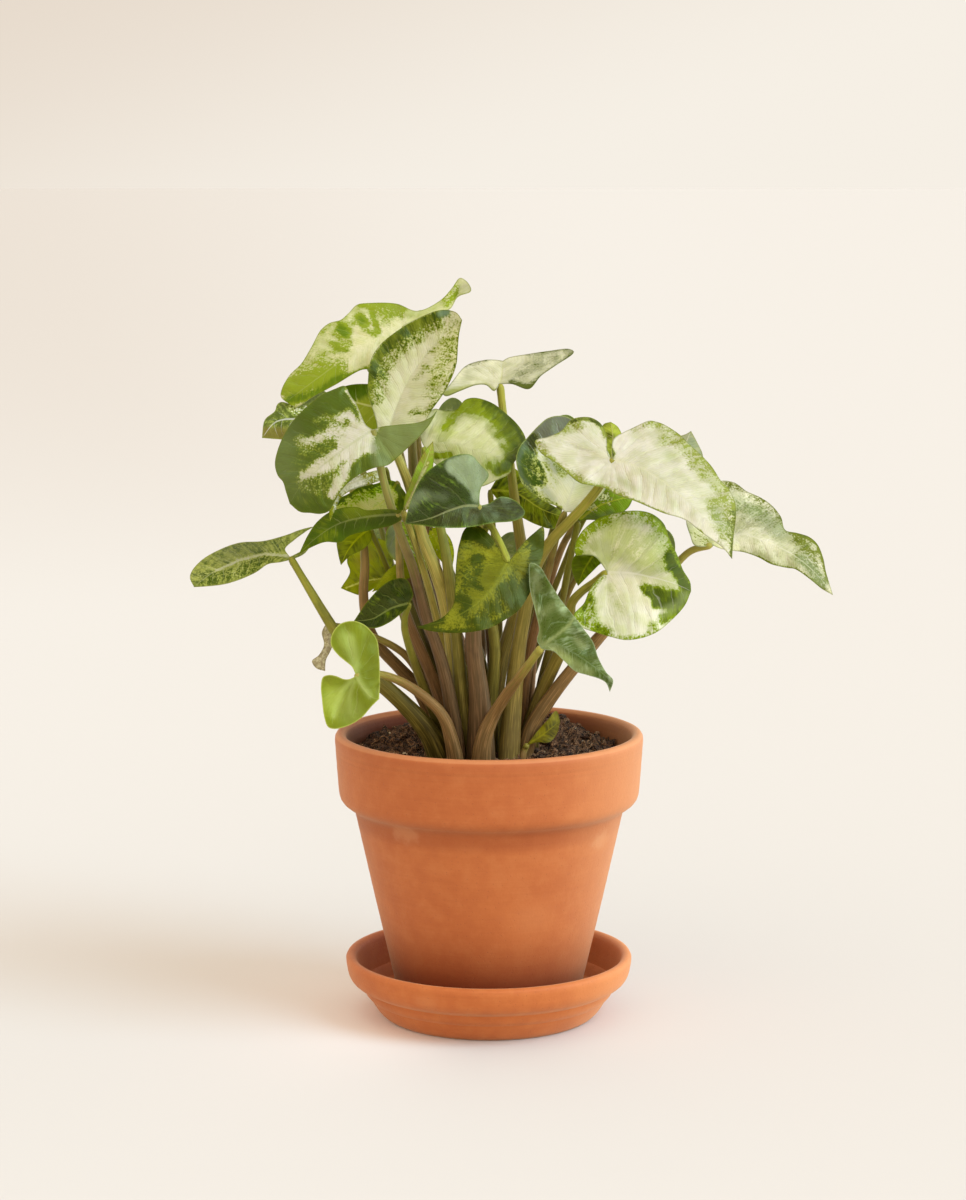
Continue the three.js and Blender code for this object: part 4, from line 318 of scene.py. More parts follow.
# ------------------------------------------------------------------ leaf tables
# a, b: the two margins from the junction with the stalk to the tip; m: midrib; at: depth, slopes and middle;
# fold, arch: shape across and along; stalk: centre line with radii, from the blade down to the soil
LEAVES = {
    'leaf_top_left': {
        'kind': 'leaf',
        'a': [[-38.5, 133.4], [-34.6, 135.4], [-25.8, 138.8], [-16.1, 141.7], [-12.2, 147.6], [-5.8, 150.5], [-7.3, 154.4], [-11.2, 156.8], [-15.1, 151.9], [-20.5, 146.1], [-32.1, 140.7], [-41.9, 144.2], [-55, 144.6], [-61.4, 143.7], [-65.3, 139.8], [-69.2, 136.4], [-74.5, 134.9], [-78.9, 131.5], [-83.8, 122.7], [-88.6, 114.9], [-94, 109.6], [-97.9, 102.8], [-98.4, 98.9], [-95.9, 96.4]],
        'b': [[-38.5, 133.4], [-35.6, 130.5], [-33.6, 124.2], [-38, 116.9], [-47.7, 113.5], [-55.5, 112.5], [-59.4, 112], [-72.1, 104.7], [-82.8, 98.9], [-91.1, 94], [-95.9, 96.4]],
        'm': [[-38.5, 133.4], [-52.6, 127.6], [-69.6, 115.9], [-84.3, 105.2], [-95.9, 96.4]],
        'at': [21.58, -0.1911, 0.8233, -54.3, 123.2],
        'fold': 0.3,
        'arch': 8,
        'stalk': [[-41.3, 27, 335.2, 1.6], [-39.7, 27.2, 318.6, 1.7], [-38.5, 25.8, 302, 1.9], [-37.8, 24.4, 285.5, 2], [-37, 23.2, 268.9, 2.1], [-36.2, 22.2, 252.3, 2.3], [-34.5, 21.2, 235.8, 2.4], [-32.1, 20.2, 219.4, 2.6], [-28.9, 18.9, 203.1, 2.7], [-24.6, 17.4, 187.1, 2.8], [-20.2, 16.4, 171.1, 3], [-16.7, 16.4, 154.9, 3.1], [-14.4, 17.3, 138.4, 3.3], [-12.7, 19.2, 122, 3.3]],
        'stalk_kind': 'mauve',
        'stout': 1.42,
        'nodes': ['leaf_top_left_blade', 'leaf_top_left_petiole'],
        'slot': 'leaf_cream',
    },
    'leaf_upper_front': {
        'kind': 'leaf',
        'a': [[-46.3, 79.9], [-50.6, 81.8], [-52.1, 87.7], [-54.5, 95.5], [-56, 101.3], [-56, 107.1], [-54.5, 117.4], [-50.2, 124.2], [-41.9, 131], [-33.1, 136.4], [-25.8, 139.8], [-20.9, 141.2], [-16.6, 141.2], [-12.7, 139.8], [-10.2, 136.4]],
        'b': [[-46.3, 79.9], [-38, 78.9], [-30.7, 82.8], [-25.3, 92], [-20, 99.3], [-16.6, 105.2], [-13.1, 114], [-12.2, 123.2], [-11.7, 129.1], [-10.2, 136.4]],
        'm': [[-46.3, 79.9], [-42.4, 93.5], [-35.6, 108.1], [-25.8, 121.8], [-17, 131], [-10.2, 136.4]],
        'at': [-6.63, 0.0761, 0.3685, -32.3, 110],
        'fold': -0.22,
        'arch': -6,
        'stalk': [[-47.9, -18.8, 285.7, 2], [-42.4, -17.1, 273.6, 2.2], [-37.7, -18.5, 261.4, 2.4], [-34.6, -21.3, 248.9, 2.5], [-31, -23.9, 236.5, 2.7], [-26.2, -24.1, 224.4, 2.9], [-22.2, -21.3, 212.2, 3], [-19.5, -17.8, 199.8, 3.2], [-17.7, -14.7, 187.1, 3.3], [-16.1, -12.1, 174.3, 3.5], [-14.8, -10.2, 161.3, 3.7], [-13.7, -8.8, 148.2, 3.8], [-12.9, -7.8, 135.1, 4], [-12.1, -7, 122, 4]],
        'stalk_kind': 'pale',
        'stout': 1.15,
        'nodes': ['leaf_upper_front_blade', 'leaf_upper_front_petiole'],
        'slot': 'leaf_cream',
    },
    'leaf_left_front': {
        'kind': 'leaf',
        'a': [[-53.6, 82.8], [-57, 85.2], [-59.4, 90.1], [-61.8, 95.5], [-64.8, 99.8], [-67.2, 104.2], [-72.1, 102.8], [-74.5, 101.8], [-77.9, 100.3], [-88.1, 92], [-94, 85.2], [-98.9, 76], [-101.3, 66.2], [-99.8, 60.4], [-97.4, 57.5], [-95.9, 52.6], [-94, 46.8]],
        'b': [[-53.6, 82.8], [-49.7, 84.3], [-42.9, 85.2], [-30.7, 86.7], [-24.8, 89.6], [-22.4, 92.5], [-25.8, 85.7], [-30.7, 79.9], [-35.1, 75.5], [-40.4, 70.6], [-46.3, 65.7], [-53.1, 64.3], [-62.8, 59.4], [-69.2, 53.1], [-72.1, 48.2], [-75, 43.3], [-79.4, 41.9], [-83.8, 42.4], [-89.1, 42.9], [-94, 46.8]],
        'm': [[-53.6, 82.8], [-65.7, 75], [-79.4, 64.3], [-89.1, 55], [-94, 46.8]],
        'at': [-40.78, -0.2801, 0.5002, -67.2, 75.8],
        'fold': 0.26,
        'arch': 6,
        'stalk': [[-54.1, -41.1, 290.6, 1.8], [-51.7, -38.7, 277.1, 1.9], [-48.7, -38.6, 264, 1.9], [-44.9, -39, 251.1, 2], [-40.6, -38.8, 238.3, 2.1], [-36.1, -36.8, 225.8, 2.2], [-32.8, -34.1, 213.1, 2.2], [-29.7, -31.3, 200.3, 2.3], [-25.4, -28.7, 187.8, 2.4], [-21.8, -26.5, 175, 2.5], [-19.1, -24.8, 161.9, 2.5], [-17, -23.2, 148.7, 2.6], [-15.7, -21.6, 135.3, 2.7], [-14.7, -20, 122, 2.7]],
        'stalk_kind': 'mauve',
        'stout': 1.15,
        'nodes': ['leaf_left_front_blade', 'leaf_left_front_petiole'],
        'slot': 'leaf_green',
    },
    'leaf_left_small': {
        'kind': 'leaf',
        'a': [[-78.4, 85.7], [-76.9, 91.6], [-84.3, 95], [-90.6, 94], [-95.5, 95.9], [-98.4, 96.4], [-100.3, 95], [-101.3, 92], [-106.2, 87.7], [-107.6, 78.9]],
        'b': [[-78.4, 85.7], [-78.4, 79.9], [-86.7, 77.9], [-94, 77.9], [-101.3, 78.4], [-107.6, 78.9]],
        'm': [[-78.4, 85.7], [-90.6, 88.1], [-100.8, 86.7], [-107.6, 78.9]],
        'at': [4.18, -0.3118, 0.54, -91.8, 85.1],
        'fold': 0.35,
        'arch': 3,
        'stalk': [[-80.1, 0.3, 289.8, 1.1], [-73.5, -0.2, 277, 1.3], [-67.7, -2.5, 264.1, 1.4], [-63.5, -5.1, 250.6, 1.6], [-60.5, -7.7, 236.8, 1.7], [-59.5, -9.4, 222.6, 1.9], [-60.3, -9.1, 208.3, 2], [-58.5, -6.6, 194.4, 2.1], [-52.8, -2.6, 182, 2.3], [-44.1, 1.8, 171.5, 2.4], [-35.4, 5.8, 161, 2.6], [-29, 9.1, 148.5, 2.7], [-23.7, 11, 135.3, 2.8], [-18.3, 11.8, 122, 2.9]],
        'stalk_kind': 'tan',
        'stout': 1.2,
        'nodes': ['leaf_left_small'],
        'slot': 'leaf_green',
    },
    'leaf_left_inner': {
        'kind': 'leaf',
        'a': [[-44.3, 91.6], [-41.4, 98.4], [-47.7, 104.2], [-57, 105.2], [-64.8, 104.7], [-72.1, 102.3], [-78.4, 99.3], [-83.3, 96.4]],
        'b': [[-44.3, 91.6], [-44.3, 85.7], [-50.2, 81.8], [-54.1, 82.8], [-59.9, 85.2], [-69.6, 90.1], [-76.9, 93.5], [-83.3, 96.4]],
        'm': [[-44.3, 91.6], [-55, 94.5], [-69.6, 97.4], [-83.3, 96.4]],
        'at': [10.59, -0.0971, 0.4994, -60.2, 94.8],
        'fold': 0.3,
        'arch': 3,
        'stalk': [[-46.7, 7.5, 294.9, 1.3], [-43.9, 9.2, 281, 1.4], [-40.8, 9.2, 267.2, 1.5], [-37.3, 9.2, 253.5, 1.5], [-33.6, 9, 239.9, 1.6], [-29.6, 8.7, 226.3, 1.6], [-25.3, 8.4, 212.9, 1.7], [-20.5, 8.1, 199.6, 1.7], [-15.2, 7.7, 186.5, 1.8], [-10, 7.5, 173.4, 1.8], [-4.8, 7.8, 160.2, 1.9], [0.4, 8.8, 147.2, 1.9], [6, 11.2, 134.4, 2], [11.8, 14.4, 122, 2]],
        'stalk_kind': 'wine',
        'stout': 1.4,
        'nodes': ['leaf_left_inner'],
        'slot': 'leaf_green',
    },
    'leaf_top_right': {
        'kind': 'leaf',
        'a': [[8.3, 105.2], [5.4, 101.8], [1.5, 104.7], [-3.4, 104.7], [-11.2, 101.8], [-18, 99.3], [-19.5, 100.3], [-15.1, 106.2], [-8.3, 114], [1.5, 116.9], [6.3, 116.9], [9.7, 116.4]],
        'b': [[8.3, 105.2], [14.1, 105.2], [22.4, 102.8], [28.2, 109.1], [35.1, 114], [44.3, 120.8], [41.9, 122.2], [32.6, 121.3], [22.4, 119.8], [12.2, 117.9], [9.7, 116.4]],
        'm': [[8.3, 105.2], [9.3, 111], [9.7, 116.4]],
        'at': [24.03, 0.0001, 1.6003, 10.6, 111],
        'fold': -0.1,
        'arch': 0,
        'stalk': [[5.3, 14.8, 307.9, 1.8], [6.9, 14.5, 293.4, 1.9], [9, 12.5, 279.2, 1.9], [10.9, 10.6, 264.9, 2], [12.6, 8.9, 250.5, 2.1], [14.7, 7.4, 236.2, 2.2], [16.6, 6.2, 221.9, 2.2], [15.4, 5.1, 207.5, 2.3], [11.8, 4.1, 193.5, 2.4], [7.6, 3.4, 179.6, 2.4], [4.5, 2.9, 165.4, 2.5], [2.3, 2.8, 151, 2.6], [0.9, 3.2, 136.5, 2.7], [0.1, 3.7, 122, 2.7]],
        'stalk_kind': 'turn',
        'stout': 1.4,
        'nodes': ['leaf_top_right_blade', 'leaf_top_right_petiole'],
        'slot': 'leaf_cream',
    },
    'leaf_centre_upper': {
        'kind': 'leaf',
        'a': [[-28.7, 74.5], [-30.2, 77.9], [-30.7, 82.3], [-27.8, 88.6], [-23.9, 93], [-18.5, 92], [-13.1, 92.5], [-8.8, 97.4], [-3.9, 98.4], [4.4, 95.9], [10.2, 91.6], [16.6, 85.7], [20.5, 79.4], [20.9, 76], [18.5, 71.6], [14.6, 66.2]],
        'b': [[-28.7, 74.5], [-26.8, 70.1], [-20.9, 64.3], [-12.2, 58.4], [-2.4, 55], [6.8, 58.4], [13.1, 61.8], [14.6, 66.2]],
        'm': [[-28.7, 74.5], [-23.9, 76.5], [-16.6, 76.9], [-4.9, 73.5], [5.8, 70.1], [14.6, 66.2]],
        'at': [-12.93, 0.1506, 0.8424, -5.5, 74.3],
        'fold': 0.35,
        'arch': 5,
        'stalk': [[-30.9, -16.2, 280.3, 1.8], [-28.3, -16.4, 268.1, 1.9], [-25.8, -19.1, 256.1, 2], [-23.4, -22.1, 244.2, 2.1], [-20.9, -24.8, 232.3, 2.2], [-19, -26.7, 220.2, 2.3], [-17.5, -26.7, 207.8, 2.4], [-16, -25, 195.5, 2.4], [-14.9, -22.6, 183.4, 2.5], [-14.1, -20.2, 171.1, 2.6], [-13.2, -18.2, 158.8, 2.7], [-11.8, -16.7, 146.5, 2.8], [-10.1, -15.1, 134.3, 2.9], [-8.4, -13.5, 122, 2.9]],
        'stalk_kind': 'green',
        'stout': 1.2,
        'nodes': ['leaf_centre_upper_blade', 'leaf_centre_upper_petiole'],
        'slot': 'leaf_cream',
    },
    'leaf_centre_dark': {
        'kind': 'leaf',
        'a': [[-1.9, 45.8], [-1.5, 52.6], [-0.5, 55.5], [2.9, 60.9], [-1.5, 66.2], [-5.8, 70.6], [-12.7, 70.6], [-20.5, 67.2], [-28.7, 60.9], [-34.1, 51.1], [-36.5, 43.8], [-38, 37]],
        'b': [[-1.9, 45.8], [0.5, 46.3], [3.4, 47.2], [8.3, 50.2], [15.1, 48.7], [20.5, 42.4], [16.6, 39], [4.4, 37.5], [-5.8, 35.6], [-15.6, 35.1], [-24.8, 35.6], [-30.7, 36.5], [-38, 37]],
        'm': [[-1.9, 45.8], [-8.8, 45.8], [-17, 43.3], [-25.3, 39.9], [-38, 37]],
        'at': [-56.06, -0.0466, 0.6484, -9.6, 49.4],
        'fold': 0.35,
        'arch': 6,
        'stalk': [[-4.7, -58.8, 257, 1.8], [-4.7, -51.5, 247.3, 1.9], [-4.8, -46.5, 237.6, 2], [-5.4, -41.8, 227.8, 2.2], [-6, -37.5, 217.8, 2.3], [-6.7, -33.8, 207.6, 2.4], [-7.4, -30.5, 197.3, 2.5], [-7.4, -27.9, 186.7, 2.7], [-6.2, -26, 176.1, 2.8], [-5, -24.7, 165.3, 3], [-4.3, -23.8, 154.5, 3.1], [-4.1, -23, 143.7, 3.2], [-3.9, -21.9, 132.8, 3.3], [-3.7, -20.9, 122, 3.4]],
        'stalk_kind': 'mauve',
        'stout': 1.5,
        'nodes': ['leaf_centre_dark_blade', 'leaf_centre_dark_petiole'],
        'slot': 'leaf_green',
    },
    'leaf_right_large': {
        'kind': 'leaf',
        'a': [[63.3, 68.7], [62.8, 73], [63.3, 77.9], [65.3, 79.9], [73, 83.8], [80.8, 87.2], [84.7, 86.7], [88.6, 85.2], [95.9, 80.4], [100.3, 76], [106.7, 70.1], [111.5, 64.8], [115.9, 58], [119.8, 54.1], [122.7, 47.7], [123.2, 41.4], [121.8, 28.7], [121.3, 20]],
        'b': [[63.3, 68.7], [61.4, 70.1], [60.4, 75.5], [59.9, 80.8], [57.5, 85.7], [53.1, 88.6], [48.2, 89.1], [42.9, 87.7], [38, 82.3], [31.7, 79.4], [25.3, 77.4], [28.2, 71.6], [34.1, 67.7], [39.9, 62.8], [47.2, 57], [52.1, 56], [60.4, 54.1], [64.3, 51.6], [74, 48.2], [80.8, 45.3], [87.7, 42.4], [98.4, 39], [106.7, 32.6], [116.9, 25.3], [121.3, 20]],
        'm': [[63.3, 68.7], [78.9, 63.3], [95.9, 51.1], [110.5, 36.5], [121.3, 20]],
        'at': [-40.16, 0.2009, 0.6197, 82.1, 61.7],
        'fold': 0.18,
        'arch': 7,
        'stalk': [[57.8, -39.6, 276.9, 2], [52.9, -33.8, 265.2, 2.1], [45.7, -30.1, 254.9, 2.3], [37.4, -26.7, 245.4, 2.4], [29.1, -23.5, 235.9, 2.5], [22.8, -20.6, 224.9, 2.7], [19.3, -18.1, 212.6, 2.8], [16.8, -16.1, 199.9, 2.9], [14.8, -14.6, 187.1, 3], [13.2, -13.7, 174.1, 3.2], [11.9, -13.4, 161.1, 3.3], [10.8, -13.6, 148.1, 3.4], [9.9, -14, 135, 3.5], [9.1, -14.6, 122, 3.6]],
        'stalk_kind': 'turn',
        'stout': 1.15,
        'nodes': ['leaf_right_large_blade', 'leaf_right_large_petiole'],
        'slot': 'leaf_cream',
    },
    'leaf_right_inner': {
        'kind': 'leaf',
        'a': [[39.9, 42.9], [38, 44.8], [30.7, 47.7], [24.8, 51.6], [19.5, 56], [17, 62.8], [16.1, 69.2], [18, 75], [21.4, 78.9], [27.3, 85.2], [31.7, 88.6], [39, 89.6], [47.2, 85.7], [57, 77.9]],
        'b': [[39.9, 42.9], [44.8, 42.9], [52.1, 46.3], [59.4, 53.6], [62.8, 63.3], [60.9, 72.1], [57, 77.9]],
        'm': [[39.9, 42.9], [43.3, 53.6], [48.2, 65.7], [57, 77.9]],
        'at': [-15.56, 0.1596, 0.3999, 43.4, 63.9],
        'fold': 0.15,
        'arch': 4,
        'stalk': [[35.9, -24.5, 250.2, 1.6], [32.8, -18.4, 241.1, 1.6], [30.9, -14.3, 231.8, 1.7], [28.9, -10.6, 222.3, 1.8], [26.7, -7.2, 212.7, 1.8], [24.7, -4.2, 203, 1.9], [22.7, -1.5, 193.2, 2], [20.6, 0.9, 183.3, 2.1], [18.9, 3.1, 173.3, 2.1], [17.6, 4.9, 163.1, 2.2], [16.4, 6.3, 152.9, 2.3], [15.3, 7, 142.6, 2.4], [14.2, 7.3, 132.3, 2.4], [13, 7.3, 122, 2.5]],
        'stalk_kind': 'wine',
        'stout': 1.2,
        'nodes': ['leaf_right_inner_blade', 'leaf_right_inner_petiole'],
        'slot': 'leaf_cream',
    },
    'leaf_right_lobe': {
        'kind': 'leaf',
        'a': [[46.3, 38.5], [45.3, 44.8], [49.7, 51.1], [57, 55.5], [64.3, 56.5], [70.6, 54.5], [73.5, 50.2]],
        'b': [[46.3, 38.5], [51.1, 39], [58, 39], [65.7, 41.4], [70.6, 44.8], [73.5, 50.2]],
        'm': [[46.3, 38.5], [55.5, 45.3], [64.8, 48.7], [73.5, 50.2]],
        'at': [-10.21, 0.0694, 0.5528, 59.2, 46.5],
        'fold': 0.2,
        'arch': 2,
        'stalk': [[42.3, -15.5, 244.8, 1.6], [40.8, -10.1, 235.7, 1.6], [39.2, -6.7, 226.6, 1.6], [37.6, -3.6, 217.4, 1.7], [36.1, -0.9, 208.1, 1.7], [34.1, 1.5, 198.7, 1.7], [31.9, 3.6, 189.4, 1.8], [29.5, 5.4, 180, 1.8], [27.3, 6.8, 170.6, 1.9], [25.3, 8, 161, 1.9], [23.9, 8.9, 151.3, 1.9], [22.9, 9.5, 141.5, 2], [21.9, 9.8, 131.8, 2], [20.8, 10, 122, 2]],
        'stalk_kind': 'olive',
        'stout': 1.12,
        'nodes': ['leaf_right_lobe'],
        'slot': 'leaf_green',
    },
    'leaf_right_round': {
        'kind': 'leaf',
        'a': [[60.4, 13.6], [57, 18.5], [54.1, 21.4], [49.7, 21.9], [45.3, 21.9], [44.8, 25.8], [47.2, 32.1], [52.6, 37.5], [58.9, 40.9], [65.3, 42.4], [69.6, 43.3], [77.4, 43.3], [83.3, 41.4], [88.1, 37], [90.6, 30.2], [95, 20.9], [97.4, 14.6], [100.8, 8.8], [101.3, 4.4]],
        'b': [[60.4, 13.6], [56.5, 10.7], [52.1, 5.4], [49.2, -1.5], [44.3, -7.3], [47.2, -12.7], [56, -16.1], [62.3, -18], [69.6, -19.5], [77.4, -18.5], [84.7, -15.6], [92, -9.7], [98.4, -2.4], [101.3, 4.4]],
        'm': [[60.4, 13.6], [71.6, 13.1], [83.8, 10.7], [93.5, 7.8], [101.3, 4.4]],
        'at': [-34.75, 0.2816, 0.3995, 70, 10.5],
        'fold': 0.22,
        'arch': 4,
        'stalk': [[55.5, -36.2, 223.1, 1.8], [49.9, -29.6, 217.4, 1.9], [43.9, -25, 212.2, 2], [39.3, -20.5, 205.8, 2.2], [38.9, -16.3, 197.6, 2.3], [37.2, -12.1, 189.6, 2.4], [34.7, -8.1, 181.7, 2.5], [31.6, -4.4, 173.9, 2.6], [28.1, -1.4, 166, 2.8], [24.8, 0.2, 157.6, 2.9], [22, 0.6, 148.8, 3.1], [19.6, 0.7, 140, 3.2], [17.6, 0.7, 131, 3.3], [15.9, 0.6, 122, 3.3]],
        'stalk_kind': 'turn',
        'stout': 1.25,
        'nodes': ['leaf_right_round_blade', 'leaf_right_round_petiole'],
        'slot': 'leaf_cream',
    },
    'leaf_far_right': {
        'kind': 'leaf',
        'a': [[111.5, 26.8], [107.1, 25.8], [102.8, 26.8], [100.8, 31.7], [98.9, 38.5], [100.8, 46.3], [105.7, 53.6], [115.9, 58], [122.7, 57], [128.1, 53.1], [135.4, 49.7], [140.3, 46.3], [145.1, 40.4], [147.1, 34.1], [152.9, 32.6], [158.8, 30.7], [162.7, 27.3], [165.6, 20.5], [167, 13.6], [170.4, 2.4]],
        'b': [[111.5, 26.8], [116.4, 24.8], [122.2, 23.9], [126.6, 23.4], [133.9, 20.9], [140.3, 17.5], [148.5, 15.6], [151.9, 15.1], [159.2, 10.2], [165.1, 5.4], [170.4, 2.4]],
        'm': [[111.5, 26.8], [124.2, 32.1], [137.3, 28.7], [151.9, 21.4], [162.7, 12.2], [170.4, 2.4]],
        'at': [-7.05, 0.314, 0.739, 137, 27],
        'fold': 0.35,
        'arch': 6,
        'stalk': [[106.3, -15.2, 233.3, 1.6], [96.3, -9.6, 229.5, 1.7], [88.5, -7, 221.5, 1.8], [80.6, -5.4, 213.3, 2], [72.2, -4.5, 205.6, 2.1], [63.6, -4.3, 198, 2.2], [55.6, -4.6, 189.8, 2.3], [48.1, -5.3, 181.2, 2.5], [40.7, -6.2, 172.4, 2.6], [33.6, -6.7, 163.4, 2.7], [27, -6.6, 154, 2.9], [21.2, -6.3, 144.2, 3], [18, -6.5, 133.2, 3.1], [15.6, -6.9, 122, 3.1]],
        'stalk_kind': 'tan',
        'stout': 1.25,
        'nodes': ['leaf_far_right_blade', 'leaf_far_right_petiole'],
        'slot': 'leaf_cream',
    },
    'leaf_right_back_tip': {
        'kind': 'leaf',
        'a': [[81.3, 57.5], [74, 59.4], [72.6, 68.2], [81.3, 75.5], [92, 78.9], [98.9, 80.8], [101.3, 82.3]],
        'b': [[81.3, 57.5], [88.6, 54.5], [98.4, 58.4], [105.7, 63.3], [107.1, 70.1], [104.2, 76.9], [101.3, 82.3]],
        'm': [[81.3, 57.5], [90.1, 65.3], [96.9, 73], [101.3, 82.3]],
        'at': [7.82, 0.1004, 0.5005, 90.5, 67.7],
        'fold': 0.2,
        'arch': 3,
        'stalk': [[77.4, 1.8, 261.7, 1.3], [66.4, 5.2, 255.7, 1.4], [55.3, 7, 250, 1.5], [44.9, 8.8, 243, 1.5], [37.5, 10.5, 233, 1.6], [32.8, 12.3, 221.4, 1.6], [29.3, 14, 209.3, 1.7], [26.4, 15.8, 197.1, 1.7], [23.9, 17.4, 184.8, 1.8], [21.7, 18.9, 172.4, 1.8], [20.4, 19.9, 159.9, 1.9], [19.7, 20.3, 147.2, 1.9], [19.1, 19.6, 134.6, 2], [18.4, 18.5, 122, 2]],
        'stalk_kind': 'wine',
        'stout': 1.12,
        'nodes': ['leaf_right_back_tip'],
        'slot': 'leaf_green',
    },
    'leaf_centre_low': {
        'kind': 'leaf',
        'a': [[12.2, 18.5], [8.3, 24.3], [3.4, 31.7], [-2.4, 36], [-8.3, 35.1], [-11.7, 26.8], [-13.1, 17.5], [-13.6, 6.8], [-14.6, -2.4], [-19.5, -8.3], [-25.8, -11.2], [-32.1, -13.1]],
        'b': [[12.2, 18.5], [16.1, 23.4], [20.5, 28.7], [24.8, 32.6], [29.2, 35.6], [29.7, 26.8], [28.2, 18.5], [25.3, 12.2], [23.4, 4.9], [20.9, 0], [17.5, -4.9], [10.7, -9.7], [3.4, -13.6], [-5.8, -15.6], [-15.6, -16.1], [-25.8, -15.1], [-32.1, -13.1]],
        'm': [[12.2, 18.5], [5.8, 7.3], [-3.9, -2.4], [-16.1, -9.3], [-32.1, -13.1]],
        'at': [-69.36, 0.1174, 0.38, 0.4, 9.9],
        'fold': 0.25,
        'arch': 5,
        'stalk': [[8.6, -64.7, 231.7, 1.6], [4.6, -55.5, 240.2, 1.6], [-0.3, -48.3, 246.9, 1.7], [-3.6, -41.5, 237.6, 1.7], [-3.1, -36, 226.7, 1.8], [-2, -30.8, 215.7, 1.8], [-0.2, -26.1, 204.6, 1.9], [1.9, -21.7, 193.4, 1.9], [2.8, -17.8, 181.9, 2], [2.1, -14.4, 170.2, 2.1], [1.2, -11.5, 158.3, 2.1], [0.5, -9.4, 146.3, 2.2], [-0.2, -8.3, 134.2, 2.2], [-0.8, -7.7, 122, 2.2]],
        'stalk_kind': 'green',
        'stout': 1.35,
        'nodes': ['leaf_centre_low_blade', 'leaf_centre_low_petiole'],
        'slot': 'leaf_cream',
    },
    'leaf_right_hanging': {
        'kind': 'leaf',
        'a': [[28.2, -23.4], [26.3, -19.5], [27.3, -14.6], [25.3, -4.9], [22.9, 4.9], [22.4, 12.2], [22.9, 18], [27.3, 16.6], [32.1, 9.3], [38, 0], [43.8, -7.3], [48.2, -13.1], [53.6, -20.5], [56, -27.8], [59.9, -35.1], [63.3, -39], [61.8, -44.8]],
        'b': [[28.2, -23.4], [30.7, -24.3], [34.1, -24.8], [39, -29.2], [44.8, -34.6], [50.6, -36.5], [57, -38.5], [59.9, -40.4], [61.8, -44.8]],
        'm': [[28.2, -23.4], [35.6, -21.4], [45.8, -26.8], [54.1, -32.6], [59.4, -36.8], [62.1, -40.9], [61.8, -44.8]],
        'at': [-76.81, 0.1346, 0.2232, 42.1, -20.9],
        'fold': 0.2,
        'arch': 4,
        'stalk': [[23.7, -79.2, 193.9, 1.8], [21.8, -71, 189.8, 1.9], [19.9, -64.7, 186, 1.9], [17.8, -58.6, 182, 2], [15.6, -52.6, 177.9, 2.1], [13.2, -46.9, 173.5, 2.1], [10.5, -41.6, 168.8, 2.2], [7.5, -36.9, 163.6, 2.3], [4.3, -33.1, 157.8, 2.4], [1, -30.7, 151.5, 2.6], [-1.9, -29.8, 144.5, 2.7], [-3.4, -29.2, 137.1, 2.8], [-4, -28.6, 129.6, 2.9], [-4.7, -28.1, 122, 2.9]],
        'stalk_kind': 'tan',
        'stout': 1.2,
        'nodes': ['leaf_right_hanging_blade', 'leaf_right_hanging_petiole'],
        'slot': 'leaf_green',
    },
    'leaf_far_left': {
        'kind': 'leaf',
        'a': [[-94, 20.9], [-96.4, 24.8], [-92, 29.2], [-86.7, 33.1], [-82.8, 35.6], [-89.1, 34.1], [-95.5, 31.7], [-106.7, 28.7], [-118.8, 27.8], [-128.6, 24.3], [-136.8, 19.5], [-141.7, 14.1], [-142.7, 10.7], [-140.7, 6.3]],
        'b': [[-94, 20.9], [-90.1, 22.9], [-84.7, 25.8], [-86.7, 22.9], [-91.1, 20.5], [-98.4, 18.5], [-104.7, 17.5], [-110.5, 13.6], [-117.9, 10.2], [-125.6, 7.8], [-133, 6.8], [-140.7, 6.3]],
        'm': [[-94, 20.9], [-106.2, 22.4], [-120.8, 18.5], [-132, 13.1], [-140.7, 6.3]],
        'at': [-16.49, -0.302, 1.15, -109.6, 20.7],
        'fold': 0.25,
        'arch': 4,
        'stalk': [[-94.6, -20.9, 228.3, 1.6], [-89.5, -20.4, 219.4, 1.8], [-84.3, -21.6, 210.8, 2.1], [-79.1, -22.6, 202.2, 2.3], [-73.8, -23.2, 193.6, 2.5], [-68.3, -22.9, 185.1, 2.8], [-62.3, -21.9, 177.1, 3], [-55.1, -20.6, 170.1, 3.3], [-47.6, -19.2, 163.5, 3.5], [-40.4, -17.9, 156.5, 3.7], [-33.8, -16.6, 148.9, 4], [-28.2, -15.1, 140.6, 4.2], [-24.4, -13.5, 131.4, 4.4], [-21.1, -11.9, 122, 4.5]],
        'stalk_kind': 'olive',
        'stout': 1.15,
        'nodes': ['leaf_far_left_blade', 'leaf_far_left_petiole'],
        'slot': 'leaf_cream',
    },
    'leaf_left_low': {
        'kind': 'leaf',
        'a': [[-61.8, -37], [-63.8, -32.6], [-67.2, -29.7], [-70.6, -26.8], [-74, -21.9], [-73.5, -16.6], [-69.6, -11.7], [-63.3, -10.2], [-58.4, -11.7], [-54.5, -15.1], [-51.6, -19.5], [-50.6, -26.8], [-50.2, -36.5], [-50.6, -48.2]],
        'b': [[-61.8, -37], [-64.8, -38.5], [-67.7, -38.5], [-71.6, -37], [-75, -36.5], [-77.9, -37.5], [-78.9, -41.9], [-78.4, -48.7], [-77.4, -56.5], [-75.5, -61.8], [-72.6, -62.8], [-66.2, -61.4], [-59.4, -57.5], [-54.1, -51.6], [-50.6, -48.2]],
        'm': [[-61.8, -37], [-59.4, -41.4], [-56.5, -45.3], [-53.6, -47.7], [-50.6, -48.2]],
        'at': [-66.18, 0.0819, 0.201, -64.8, -37.4],
        'fold': 0.3,
        'arch': 3,
